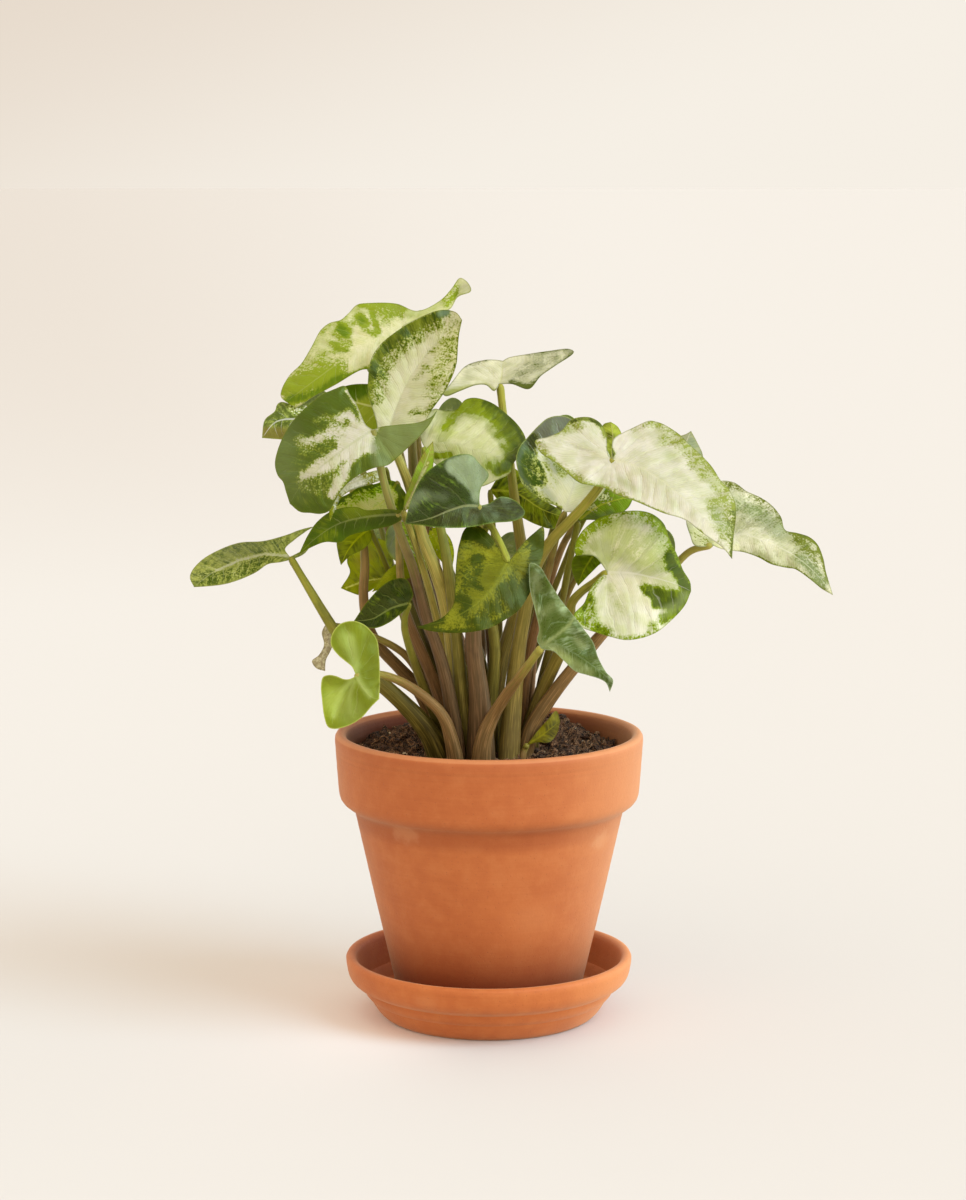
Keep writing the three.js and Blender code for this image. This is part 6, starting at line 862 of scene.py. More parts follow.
        'stalk': [[-56.4, 57.7, 242.7, 1.6], [-53.6, 52.3, 233.3, 1.6], [-50.9, 48.9, 223.6, 1.7], [-48, 46.1, 213.8, 1.7], [-44.6, 43.9, 203.9, 1.8], [-40.8, 42.4, 194.2, 1.8], [-36.7, 41.4, 184.4, 1.9], [-32.6, 40.9, 174.6, 2], [-28.3, 40.7, 164.9, 2], [-24.1, 40.5, 155.2, 2.1], [-20.4, 39.7, 145.2, 2.1], [-17.5, 37.6, 135.3, 2.2], [-13.7, 31.4, 128.1, 2.2], [-9.5, 23.8, 122, 2.2]],
        'stalk_kind': 'dim',
        'stout': 1.12,
        'nodes': ['leaf_back_7'],
        'slot': 'leaf_green',
    },
    'leaf_back_8': {
        'kind': 'back',
        'a': [[76.5, 24.8], [78.1, 27.1], [80.6, 31.1], [84.9, 34.4], [88.9, 34.6], [92.2, 31.5], [93.6, 26.2], [92.6, 19.6], [89.5, 12.6], [84.5, 5.8], [78.4, -0.3], [73.5, -5.4]],
        'b': [[76.5, 24.8], [75.3, 27.4], [73.6, 31.8], [70, 35.8], [66.1, 36.8], [62.3, 34.4], [59.9, 29.5], [59.6, 22.8], [61.3, 15.3], [64.9, 7.7], [69.7, 0.5], [73.5, -5.4]],
        'm': [[76.5, 24.8], [75.5, 14.9], [74.5, 4.9], [73.5, -5.4]],
        'at': [45.85, -0.5, -0.7002, 75.9, 19.2],
        'fold': -0.25,
        'arch': -7,
        'stalk': [[74.9, 41.7, 224.1, 1.6], [68.9, 38.4, 217.3, 1.6], [62.9, 36.9, 210.3, 1.7], [57, 35.5, 203.2, 1.7], [51, 34.2, 196.1, 1.8], [45.3, 33, 188.9, 1.8], [39.9, 31.9, 181.3, 1.9], [34.8, 30.9, 173.6, 1.9], [30.1, 30.1, 165.5, 2], [26.1, 29.4, 157.1, 2], [22.7, 28.8, 148.5, 2.1], [20.1, 28.4, 139.5, 2.2], [17.6, 28, 130.6, 2.2], [13.9, 27.8, 122, 2.2]],
        'stalk_kind': 'wine',
        'stout': 1.12,
        'nodes': ['leaf_back_8'],
        'slot': 'leaf_green',
    },
    'leaf_spent': {
        'kind': 'leaf',
        'a': [[-73, -12.2], [-76, -11.7], [-78.4, -15.6], [-77.4, -21.9], [-79.9, -26.8], [-83.3, -29.7], [-81.3, -33.1], [-76.9, -34.6]],
        'b': [[-73, -12.2], [-71.1, -15.6], [-72.6, -20.5], [-74.5, -25.3], [-76.5, -29.2], [-76.9, -34.6]],
        'm': [[-73, -12.2], [-75, -20.5], [-77.9, -26.8], [-76.9, -34.6]],
        'at': [-18.5, 0.01, 0.1887, -76.4, -23.3],
        'fold': 0.3,
        'arch': 2,
        'stalk': [[-74.7, -16.4, 194.9, 1.3], [-67.3, -13.5, 192.8, 1.4], [-60, -12, 190.4, 1.5], [-53.1, -10.2, 187.2, 1.6], [-46.6, -8.1, 183.5, 1.7], [-40.7, -5.9, 178.9, 1.7], [-36.2, -3.6, 173, 1.8], [-32.9, -1.4, 166.3, 1.9], [-30.3, 0.6, 159.3, 1.9], [-28.1, 2.4, 152, 2], [-26.2, 3.8, 144.6, 2.1], [-24.5, 4.8, 137.1, 2.2], [-22.6, 5.5, 129.5, 2.2], [-20.6, 6.1, 122, 2.2]],
        'stalk_kind': 'tan',
        'stout': 1.12,
        'nodes': ['leaf_spent'],
        'slot': 'dry_leaf',
    },
}
# palette, base values and strokes (field, value, half width, softness, points) of each leaf's markings, in sheet mm;
# field l is painted light and shade, field q with the tint colour is partly the leaf's own grey-blue colour and partly
# a painted reflection of its gloss
MARKS = {
    'leaf_top_left': {
        'cream': (202, 196, 155),
        'lime': (123, 138, 25),
        'dark': (82, 108, 2),
        'tint': (176, 172, 129),
        'g0': 0.12,
        'd0': 0.3,
        's0': 0.55,
        'q0': 0.0,
        'strokes': [('h', 0.55, 5.84, 3.9, [[-69.6, 133.4], [-76.5, 124.7], [-81.3, 116.9]]), ('h', 0.6, 3.9, 2.92, [[-61.8, 142.2], [-50.2, 143.2], [-39.4, 142.2]]), ('h', 0.25, 2.92, 2.92, [[-42.4, 137.3], [-50.2, 130.5]]), ('h', 0, 2.92, 2.44, [[-42.4, 133.4], [-52.1, 125.6], [-63.8, 118.8], [-71.6, 114]]), ('g', 0.8, 1.46, 1.22, [[-59.9, 143.2], [-47.7, 143.9], [-38, 142.2]]), ('d', 0.1, 2.44, 1.46, [[-59.9, 143.2], [-47.7, 143.7], [-38, 141.7]]), ('g', 0.97, 2.44, 1.7, [[-59.9, 137.3], [-57.5, 134.4]]), ('g', 0.62, 1.7, 1.46, [[-61.8, 137.3], [-63.8, 134.4]]), ('g', 0.85, 1.56, 1.22, [[-54.1, 141.7], [-53.1, 136.4], [-51.1, 130.5]]), ('g', 0.62, 1.95, 1.46, [[-49.2, 139.3], [-45.3, 138.3]]), ('g', 0.55, 1.46, 1.46, [[-48.2, 135.4], [-46.3, 134.4]]), ('g', 0.58, 1.46, 1.46, [[-57, 131.5], [-53.1, 129.5]]), ('g', 1, 2.92, 1.46, [[-68.7, 132.5], [-66.7, 130]]), ('g', 0.6, 1.46, 1.22, [[-72.6, 129.5], [-69.6, 127.6]]), ('g', 0.66, 1.7, 1.46, [[-74, 124.7], [-70.6, 124.7]]), ('g', 0.55, 1.46, 1.22, [[-67.7, 124.7], [-64.8, 125.2]]), ('g', 0.52, 1.22, 1.22, [[-80.4, 118.8], [-74.5, 120.3], [-68.7, 121.3]]), ('g', 0.46, 1.46, 1.46, [[-85.2, 120.8], [-82.3, 124.7]]), ('g', 0.58, 1.7, 1.46, [[-86.2, 114.9], [-80.4, 116.4], [-75.5, 115.9]]), ('g', 0.9, 5.84, 3.41, [[-93, 102.3], [-87.2, 106.2], [-80.4, 108.1], [-72.6, 110.1]]), ('g', 0.55, 2.44, 2.44, [[-83.3, 113], [-74.5, 114.9], [-68.7, 114.9]]), ('d', 0.05, 4.38, 2.92, [[-93, 105.2], [-86.2, 109.1], [-78.4, 111]]), ('d', 0.75, 1.7, 1.46, [[-95, 97.4], [-86.2, 99.3], [-76.5, 104.2], [-66.7, 109.1], [-57, 112.5]]), ('g', 0.95, 1.7, 1.22, [[-94, 96.4], [-84.3, 98.9], [-74.5, 103.7], [-64.8, 108.6], [-56, 112]]), ('g', 0.5, 1.46, 1.46, [[-78.4, 130.5], [-74.5, 134.4], [-67.7, 137.3]]), ('g', 0.45, 1.95, 1.46, [[-90.1, 111], [-86.2, 116.9]]), ('h', 0.9, 2.44, 1.95, [[-34.6, 139.3], [-27.8, 140.3], [-20.9, 144.6]]), ('g', 0.55, 1.46, 1.22, [[-19, 146.1], [-15.1, 151], [-12.2, 155.8]]), ('g', 0.65, 1.22, 0.97, [[-18, 143.2], [-13.6, 148], [-11.2, 153.9]]), ('d', 0, 3.9, 2.44, [[-30.7, 140.3], [-19, 145.1], [-12.2, 152.9]]), ('q', 0.95, 2.44, 1.22, [[-10.2, 154.9], [-7.8, 151.9], [-6.3, 150.5]]), ('l', 0.07, 1.95, 1.95, [[-64.8, 123.7], [-57, 126.6], [-50.2, 128.6]]), ('g', 0.72, 2.92, 1.95, [[-53.1, 143.2], [-46.3, 143.7], [-39.4, 142.2]]), ('d', 0.75, 2.44, 1.95, [[-69.6, 131.5], [-67.2, 129.5]]), ('d', 0.6, 1.95, 1.95, [[-59.4, 136.4], [-52.6, 137.3]]), ('l', -0.08, 2.92, 2.44, [[-48.2, 143.2], [-42.4, 142.2]]), ('l', -0.1, 2.44, 1.95, [[-91.1, 98.4], [-81.3, 101.3], [-69.6, 107.1]]), ('d', 0.5, 1.46, 1.22, [[-64.8, 120.8], [-70.6, 121.8]]), ('g', 0.75, 1.46, 0.97, [[-66.7, 121.8], [-71.6, 122.7]]), ('g', 0.6, 1.27, 1.17, [[-42.4, 139.3], [-39.4, 137.3]]), ('l', -0.28, 2.92, 1.95, [[-11.2, 150], [-7.8, 151.9], [-5.4, 151]]), ('d', 0.6, 2.44, 1.95, [[-12.2, 148], [-9.3, 151]])],
        'rough': 0.38,
        'coat': 0.0,
        'vein': 0.12,
        'vcol': (199, 195, 144),
        'vsp': 6.5,
        'under': (196, 196, 132),
        'rib': 0.12,
    },
    'leaf_upper_front': {
        'cream': (181, 175, 143),
        'lime': (109, 118, 26),
        'dark': (26, 51, 0),
        'tint': (100, 121, 96),
        'g0': 0.03,
        'd0': 0.85,
        's0': 0.8,
        'q0': 0.0,
        'strokes': [('h', 0.3, 6.82, 4.87, [[-20.9, 126.6], [-24.8, 112], [-30.7, 101.3]]), ('h', 0, 2.92, 2.44, [[-45.3, 87.7], [-39.4, 101.3], [-33.6, 114], [-26.8, 122.7]]), ('g', 1, 1.75, 0.97, [[-54.5, 96.4], [-55.5, 102.3], [-54.5, 110.1], [-51.6, 117.9], [-46.8, 124.7], [-39.9, 130.5], [-31.7, 134.9], [-23.9, 138.6], [-17.5, 140.3]]), ('g', 0.66, 2.68, 1.7, [[-52.1, 97.4], [-52.1, 105.2], [-50.2, 114], [-46.3, 121.3], [-39.4, 127.6], [-30.7, 132.5], [-21.9, 136.4]]), ('g', 0.44, 3.41, 2.44, [[-49.7, 101.3], [-48.2, 110.1], [-44.3, 118.3], [-36.5, 125.6], [-27.8, 130.5]]), ('g', 1, 2.19, 1.22, [[-38.5, 130], [-30.7, 133.9], [-22.9, 137.3]]), ('g', 0.41, 3.9, 3.41, [[-17, 131.5], [-17, 124.2], [-19, 115.9], [-20.9, 108.1], [-24.8, 100.3]]), ('g', 0.5, 1.7, 1.46, [[-19.5, 125.6], [-17.5, 124.2]]), ('g', 0.47, 1.22, 1.22, [[-25.8, 120.8], [-22.4, 122.7]]), ('g', 0.46, 1.46, 1.46, [[-28.7, 114], [-23.9, 111]]), ('g', 0.46, 1.22, 1.22, [[-33.1, 108.1], [-29.7, 110.1]]), ('g', 0.46, 1.95, 1.95, [[-18, 114.9], [-16.1, 120.8], [-15.1, 127.6]]), ('g', 0.43, 1.95, 1.95, [[-20, 105.2], [-17.5, 109.1]]), ('g', 0.56, 1.7, 1.46, [[-34.6, 90.6], [-31.7, 92]]), ('g', 0.5, 1.46, 1.46, [[-28.7, 90.6], [-24.8, 95]]), ('g', 0.75, 0.63, 0.49, [[-10.2, 135.9], [-11.4, 129.1], [-11.7, 121.8], [-13.6, 114], [-17, 105.2], [-20.9, 97.9], [-25.8, 91.6]]), ('q', 0.85, 1.7, 1.22, [[-20.5, 139.5], [-17.5, 140]]), ('g', 0.35, 1.95, 1.46, [[-15.1, 137.3], [-13.1, 134.4]]), ('d', 0.55, 2.92, 2.44, [[-40.4, 127.6], [-31.7, 133.9], [-22.9, 137.3]]), ('l', 0.22, 4.38, 3.9, [[-17, 128.6], [-18, 118.8], [-20.9, 109.1]]), ('l', 0.15, 2.92, 2.44, [[-31.7, 133], [-40.4, 127.6]]), ('l', 0.25, 3.9, 3.41, [[-16.1, 128.6], [-17, 120.8], [-19.5, 113]]), ('d', 0.85, 1.95, 1.46, [[-40.4, 127.6], [-31.7, 133.4], [-22.9, 137.3]]), ('d', 0.75, 2.92, 2.92, [[-40.4, 127.6], [-31.7, 133.4], [-22.9, 137.3]]), ('q', 0, 3.41, 1.46, [[-36.5, 131], [-42.4, 125.6], [-48.2, 118.8], [-54.1, 110.1], [-56.5, 99.3]]), ('g', 1, 2.24, 1.27, [[-54.5, 111], [-51.1, 118.3], [-45.3, 125.2], [-38.5, 130.5], [-30.7, 134.7], [-21.9, 138.1]]), ('d', 0.55, 3.41, 2.44, [[-56, 97.4], [-54.5, 111], [-51.1, 118.3], [-45.3, 125.2], [-38.5, 130.5], [-30.7, 134.4], [-21.9, 138.3]]), ('g', 0.58, 2.44, 1.95, [[-51.1, 99.3], [-50.2, 107.1], [-48.2, 114], [-43.3, 120.8], [-36.5, 126.1], [-28.7, 131], [-21.9, 134.4]]), ('l', -0.14, 2.92, 2.44, [[-54.1, 111], [-50.2, 119.3], [-44.3, 125.6], [-37.5, 131], [-29.7, 134.9]])],
        'rough': 0.38,
        'coat': 0.0,
        'vein': 0.18,
        'vcol': (165, 161, 123),
        'vsp': 6.5,
        'under': None,
        'rib': 0.18,
    },
    'leaf_left_front': {
        'cream': (190, 184, 167),
        'lime': (116, 128, 36),
        'dark': (61, 79, 14),
        'tint': (95, 107, 66),
        'g0': 1.0,
        'd0': 0.85,
        's0': 0.75,
        'q0': 0.0,
        'strokes': [('g', 0, 3.9, 2.44, [[-55, 82.8], [-60.9, 81.8], [-66.7, 78.9]]), ('g', 0, 3.41, 2.44, [[-58, 77.9], [-62.8, 72.1], [-65.7, 67.2]]), ('g', 0.02, 2.19, 1.95, [[-63.8, 80.8], [-68.7, 75], [-73.5, 70.1], [-80.8, 65.3], [-87.2, 61.4]]), ('g', 0, 2.68, 1.95, [[-61.8, 74], [-65.7, 65.3], [-69.6, 58.4], [-73.5, 52.6]]), ('g', 0.15, 1.95, 1.95, [[-64.8, 82.8], [-71.6, 82.8], [-78.4, 79.9]]), ('g', 0.42, 2.44, 2.44, [[-70.6, 87.7], [-74.5, 83.8], [-80.4, 78.9]]), ('g', 0.5, 2.44, 2.44, [[-89.1, 77.9], [-86.2, 76], [-79.4, 75]]), ('g', 0.48, 1.95, 1.95, [[-80.4, 86.7], [-76.5, 88.6]]), ('g', 0.08, 1.95, 1.95, [[-62.8, 86.7], [-65.3, 90.6], [-68.7, 88.6]]), ('g', 0.54, 2.44, 2.44, [[-78.4, 76.9], [-72.6, 78.9], [-68.7, 78.9]]), ('g', 0.58, 4.38, 3.41, [[-85.2, 57.5], [-78.4, 61.4], [-72.6, 64.3]]), ('g', 0.5, 1.46, 1.46, [[-89.1, 59.4], [-87.2, 54.5]]), ('g', 0.48, 1.46, 1.46, [[-80.4, 52.6], [-74.5, 54.5]]), ('g', 0.95, 2.44, 1.46, [[-63.8, 63.3], [-58.9, 66.2], [-55.5, 69.2]]), ('g', 0.6, 1.46, 1.46, [[-67.7, 66.2], [-63.8, 68.2]]), ('q', 0.95, 8.77, 1.95, [[-43.3, 77.9], [-34.6, 82.8], [-26.8, 88.6]]), ('q', 0.9, 4.38, 1.95, [[-50.2, 74], [-49.2, 67.2]]), ('d', 0.2, 8.77, 1.95, [[-43.3, 77.9], [-34.6, 82.8], [-26.8, 88.6]]), ('q', 0.35, 6.82, 5.84, [[-95, 80.8], [-97.4, 67.2], [-92, 54.5]]), ('l', 0.12, 4.38, 3.9, [[-95.9, 77.9], [-98.4, 67.2]]), ('l', -0.15, 4.87, 3.41, [[-91.1, 82.8], [-85.2, 85.7]]), ('l', 0.1, 3.9, 3.41, [[-83.3, 88.6], [-74.5, 93.5]]), ('l', -0.1, 3.9, 2.92, [[-63.8, 61.4], [-58, 65.3]]), ('g', 0.05, 0.78, 0.68, [[-57, 85.7], [-59.9, 91.6], [-63.8, 98.4], [-66.7, 102.3]]), ('g', 0.9, 4.38, 2.92, [[-90.1, 67.2], [-87.2, 61.4]]), ('g', 0.62, 1.95, 1.95, [[-89.1, 74], [-83.3, 72.1]]), ('l', -0.1, 3.9, 2.92, [[-89.1, 61.4], [-83.3, 56.5]]), ('l', 0.16, 5.84, 4.87, [[-95, 72.1], [-91.1, 65.3]]), ('g', 0.08, 3.9, 1.95, [[-60.9, 82.8], [-57, 77.9], [-55, 73]]), ('g', 0.08, 3.9, 2.44, [[-67.2, 77.4], [-61.8, 74.5]]), ('g', 0.95, 2.92, 1.95, [[-78.4, 96.4], [-71.6, 94.5]]), ('g', 0.88, 2.44, 1.95, [[-77.4, 85.7], [-83.3, 81.8]]), ('g', 0.22, 1.27, 1.17, [[-68.7, 82.8], [-78.4, 79.4], [-87.7, 76.9]]), ('g', 0.86, 1.75, 1.46, [[-72.6, 75], [-78.4, 72.6], [-84.3, 70.6]]), ('g', 0.08, 2.19, 1.46, [[-64.8, 73], [-71.6, 67.7], [-79.4, 63.8], [-87.2, 60.4]]), ('g', 0.8, 2.92, 1.95, [[-84.3, 56.5], [-77.4, 58], [-78.4, 52.6]]), ('g', 0.1, 1.7, 1.46, [[-63.3, 69.2], [-66.7, 63.3], [-70.6, 56.5], [-73.5, 51.6]]), ('g', 0.93, 2.68, 1.7, [[-60.9, 65.3], [-55, 68.7]]), ('d', 1, 3.9, 2.92, [[-74.5, 98.4], [-82.3, 88.6], [-89.1, 82.8]]), ('q', 0.5, 4.38, 3.9, [[-96.9, 75], [-98.4, 62.3]]), ('d', 1, 3.41, 2.44, [[-77.4, 73], [-84.3, 70.6]]), ('d', 1, 3.9, 2.92, [[-83.3, 55.5], [-77.4, 56.5]]), ('d', 1, 4.87, 3.9, [[-64.8, 99.3], [-74.5, 97.4], [-82.3, 88.6], [-89.1, 82.8]]), ('g', 0.82, 1.95, 1.46, [[-78.4, 74.5], [-73.5, 76]]), ('l', -0.14, 4.87, 3.9, [[-89.1, 85.7], [-80.4, 91.6]]), ('l', -0.1, 4.38, 3.41, [[-83.3, 55.5], [-77.4, 56.5]])],
        'rough': 0.34,
        'coat': 0.05,
        'vein': 0.15,
        'vcol': (132, 145, 80),
        'vsp': 6.5,
        'under': None,
        'rib': 0.2,
    },
    'leaf_left_small': {
        'cream': (247, 247, 247),
        'lime': (169, 184, 89),
        'dark': (71, 88, 28),
        'tint': (120, 112, 52),
        'g0': 0.9,
        'd0': 0.7,
        's0': 1.0,
        'q0': 0.0,
        'strokes': [('q', 1, 4.38, 1.46, [[-106.2, 79.9], [-96.4, 79.4], [-88.1, 79.9], [-79.4, 80.8]]), ('g', 0.5, 2.44, 1.95, [[-91.1, 93], [-86.2, 91.6]])],
        'rough': 0.38,
        'coat': 0.0,
        'vein': 0.35,
        'vcol': (247, 247, 247),
        'vsp': 6.5,
        'under': None,
    },
    'leaf_left_inner': {
        'cream': (233, 247, 128),
        'lime': (145, 159, 41),
        'dark': (72, 103, 0),
        'tint': (110, 117, 30),
        'g0': 1.0,
        'd0': 0.9,
        's0': 0.3,
        'q0': 0.0,
        'strokes': [('d', 0.1, 6.82, 3.9, [[-54.1, 87.7], [-46.3, 88.6]]), ('d', 0.35, 3.9, 2.92, [[-63.8, 93.5], [-57, 95.5]])],
        'rough': 0.38,
        'coat': 0.0,
        'vein': 0.3,
        'vcol': (247, 247, 176),
        'vsp': 6.5,
        'under': None,
    },
    'leaf_top_right': {
        'cream': (204, 198, 165),
        'lime': (66, 77, 4),
        'dark': (7, 19, 0),
        'tint': (133, 138, 43),
        'g0': 0.06,
        'd0': 0.15,
        's0': 0.45,
        'q0': 0.0,
        'strokes': [('q', 1, 1.66, 0.78, [[-19.5, 99.8], [-13.6, 101.5], [-6.3, 103], [1.5, 103.5], [5.4, 101.3]]), ('g', 0.75, 1.95, 1.46, [[14.1, 105.2], [20, 103.2], [23.4, 103.7]]), ('g', 0.6, 0.97, 0.78, [[24.3, 105.7], [30.2, 109.6], [37.5, 114.9], [43.8, 120.3]]), ('g', 0.5, 1.46, 1.46, [[22.4, 119.8], [32.6, 121.3], [42.4, 122.2]]), ('g', 0.5, 0.97, 0.97, [[-8.3, 114], [1.5, 116.9]]), ('g', 0.35, 2.44, 2.44, [[18, 110.1], [27.8, 114.9], [35.1, 117.9]]), ('l', 0.3, 2.92, 2.44, [[-20, 108.1], [-12.2, 111]]), ('d', 0.1, 9.74, 3.9, [[22.9, 111], [37.5, 119.3]]), ('h', 0.5, 6.82, 3.9, [[18, 110.1], [31.7, 114.9], [41.4, 120.8]])],
        'rough': 0.38,
        'coat': 0.0,
        'vein': 0.3,
        'vcol': (172, 170, 103),
        'vsp': 6.5,
        'under': None,
    },
    'leaf_centre_upper': {
        'cream': (182, 179, 137),
        'lime': (100, 113, 0),
        'dark': (46, 62, 0),
        'tint': (127, 143, 96),
        'g0': 0.08,
        'd0': 0.85,
        's0': 0.1,
        'q0': 0.0,
        'strokes': [('h', 0.8, 3.9, 3.41, [[-17, 85.7], [-20.9, 79.9]]), ('g', 0.44, 1.95, 1.95, [[-17, 89.6], [-18, 84.7]]), ('h', 0.15, 2.92, 2.44, [[-25.8, 85.7], [-22.9, 90.6]]), ('l', 0.08, 2.92, 2.44, [[-25.8, 84.7], [-22.4, 89.6]]), ('h', 0.5, 3.9, 2.92, [[-20.9, 73], [-11.2, 71.1], [-1.5, 67.2]]), ('h', 0.5, 2.92, 2.92, [[-6.3, 90.6], [0.5, 87.7]]), ('g', 1, 2.44, 1.95, [[-11.2, 93.5], [-8.3, 96.9], [-2.4, 97.6], [5.4, 95], [11.2, 90.1], [17, 83.8], [20, 76.9]]), ('d', 0, 0.88, 0.73, [[-7.3, 97.9], [-2.4, 98.4], [5.4, 95.7], [11.2, 91.1], [17, 85.2], [20.9, 77.9]]), ('g', 0.75, 3.9, 2.92, [[-6.3, 93.5], [1.5, 92.5], [8.3, 86.7], [14.1, 77.9], [15.6, 72.1]]), ('g', 0.5, 2.44, 1.95, [[3.4, 83.8], [8.3, 76.9], [12.2, 72.1]]), ('g', 0.55, 1.95, 1.46, [[-13.1, 90.6], [-15.1, 86.7]]), ('g', 0.85, 3.41, 2.44, [[7.3, 63.3], [11.7, 65.3], [14.1, 68.2]]), ('g', 0.55, 2.44, 1.95, [[2.4, 65.3], [6.3, 67.2]]), ('g', 0.9, 1.46, 0.97, [[-25.3, 70.6], [-20.9, 70.1], [-16.1, 70.6]]), ('d', 0, 1.46, 0.97, [[-25.3, 70.6], [-16.1, 70.6]]), ('g', 0, 1.95, 1.46, [[-6.3, 84.7], [-0.5, 79.9], [5.4, 74]]), ('l', 0.06, 3.41, 3.41, [[-4.4, 82.8], [2.4, 76.9]]), ('l', -0.12, 2.92, 2.44, [[8.3, 67.2], [14.1, 70.1]]), ('d', 0.35, 4.38, 2.92, [[-3.4, 93.5], [4.4, 91.6], [10.2, 85.7]]), ('l', 0.18, 3.9, 2.92, [[0.5, 91.6], [7.3, 87.7]]), ('l', 0.36, 4.87, 3.9, [[-22.9, 85.7], [-18, 82.8]]), ('l', -0.12, 2.44, 1.95, [[10.2, 66.2], [14.1, 70.1]]), ('h', 1, 4.38, 2.92, [[-20.9, 79.9], [-16.1, 87.7], [-10.2, 95.5]]), ('g', 0.6, 2.44, 1.95, [[-18.5, 82.8], [-14.6, 88.6], [-8.8, 96.4]]), ('d', 0.12, 3.9, 2.44, [[-18.5, 82.8], [-14.6, 88.6], [-8.8, 96.4]]), ('l', 0.1, 2.44, 1.95, [[-27.3, 87.7], [-25.8, 77.9]]), ('h', 0, 2.44, 1.95, [[-27.3, 89.6], [-25.8, 77.9]]), ('d', 1, 3.41, 2.44, [[3.4, 95.5], [10.2, 89.6], [15.1, 80.8], [18, 70.6]]), ('l', -0.12, 2.92, 2.44, [[7.3, 92.5], [14.1, 82.8], [17, 73]])],
        'rough': 0.38,
        'coat': 0.0,
        'vein': 0.14,
        'vcol': (174, 174, 122),
        'vsp': 6.5,
        'under': None,
        'rib': 0.0,
    },
    'leaf_centre_dark': {
        'cream': (207, 196, 126),
        'lime': (128, 160, 47),
        'dark': (20, 42, 1),
        'tint': (129, 142, 107),
        'g0': 1.0,
        'd0': 0.8,
        's0': 0.4,
        'q0': 0.0,
        'strokes': [('q', 1, 4.38, 0.78, [[-13.1, 64.3], [-7.3, 67.2], [-2.4, 63.3]]), ('q', 1, 3.9, 0.88, [[-9.7, 61.4], [-5.4, 57.5], [-1.5, 54.5]]), ('q', 0.95, 2.44, 0.97, [[-3.4, 55.5], [-2.4, 51.6]]), ('q', 0.45, 2.44, 1.95, [[1.5, 58.4], [2.4, 63.3]]), ('l', -0.12, 1.46, 1.22, [[-8.3, 63.3], [-5.4, 58.4]]), ('l', 0.14, 0.97, 0.73, [[-17, 67.2], [-12.2, 70.6], [-6.3, 71.1]]), ('l', -0.22, 2.92, 2.44, [[-18, 56.5], [-13.1, 54.1]]), ('l', 0.35, 2.44, 2.44, [[-25.8, 58.4], [-28.7, 54.5]]), ('l', 0.25, 1.95, 1.95, [[-21.9, 53.6], [-18, 51.6]]), ('q', 0.3, 1.95, 1.95, [[-31.7, 50.2], [-24.8, 50.6], [-19, 49.7]]), ('q', 0.22, 1.95, 1.95, [[-35.6, 43.8], [-33.6, 46.8]]), ('l', -0.18, 2.92, 2.44, [[-16.1, 40.9], [-10.2, 41.9], [-5.4, 42.4]]), ('q', 0.25, 1.95, 1.95, [[-15.1, 43.8], [-18, 39.9]]), ('q', 0.55, 2.92, 1.95, [[5.4, 48.7], [12.2, 48.2], [17, 45.3]]), ('q', 0.4, 0.73, 0.58, [[1.5, 45.3], [10.7, 43.3], [19, 43.3]]), ('l', -0.15, 2.44, 1.95, [[8.3, 40.4], [15.1, 40.4]]), ('l', -0.45, 2.92, 2.44, [[-20.9, 40.4], [-13.1, 41.4], [-4.4, 42.4]]), ('q', 0.25, 6.82, 1.95, [[3.4, 46.3], [19, 44.8]]), ('l', -0.42, 4.38, 2.44, [[4.4, 45.8], [11.2, 45.8], [18, 44.8]]), ('l', -0.12, 4.87, 3.9, [[-22.9, 56.5], [-18, 61.4]]), ('q', 0, 2.92, 1.95, [[-8.3, 48.7], [-3.9, 50.6]]), ('l', -0.25, 2.92, 2.44, [[-19, 40.9], [-10.2, 41.4]]), ('l', -0.2, 3.41, 2.44, [[4.4, 44.8], [13.1, 45.3]]), ('l', -0.62, 2.92, 2.44, [[-20.9, 40.4], [-13.1, 41.4], [-4.4, 42.4]]), ('l', -0.58, 4.38, 2.92, [[4.4, 45.8], [11.2, 45.8], [18, 44.8]]), ('l', -0.1, 2.44, 1.95, [[-2.4, 66.2], [0.5, 62.3]]), ('l', -0.72, 2.92, 2.44, [[-20.9, 40.4], [-13.1, 41.4], [-4.4, 42.4]]), ('l', -0.66, 4.38, 2.92, [[4.4, 45.8], [11.2, 45.8], [18, 44.8]]), ('q', 1, 3.41, 0.97, [[-15.1, 65.3], [-6.3, 66.7], [0, 62.3]]), ('q', 1, 3.17, 0.97, [[-9.7, 59.9], [-1.9, 58]]), ('q', 0.85, 2.19, 0.97, [[-4.4, 54.5], [-3.4, 49.7]]), ('l', -0.32, 3.9, 2.92, [[-25.8, 56.5], [-18, 52.6]]), ('q', 0.5, 2.44, 1.95, [[-35.6, 47.7], [-28.7, 51.1]]), ('l', 0.12, 1.46, 1.22, [[-16.1, 63.3], [-13.1, 67.2], [-6.3, 68.7]])],
        'rough': 0.3,
        'coat': 0.1,
        'vein': 0.12,
        'vcol': (176, 178, 122),
        'vsp': 9,
        'under': None,
        'rib': 0.3,
    },
    'leaf_right_large': {
        'cream': (204, 196, 182),
        'lime': (124, 132, 51),
        'dark': (51, 61, 17),
        'tint': (112, 126, 86),
        'g0': 0.04,
        'd0': 0.15,
        's0': 0.62,
        'q0': 0.0,
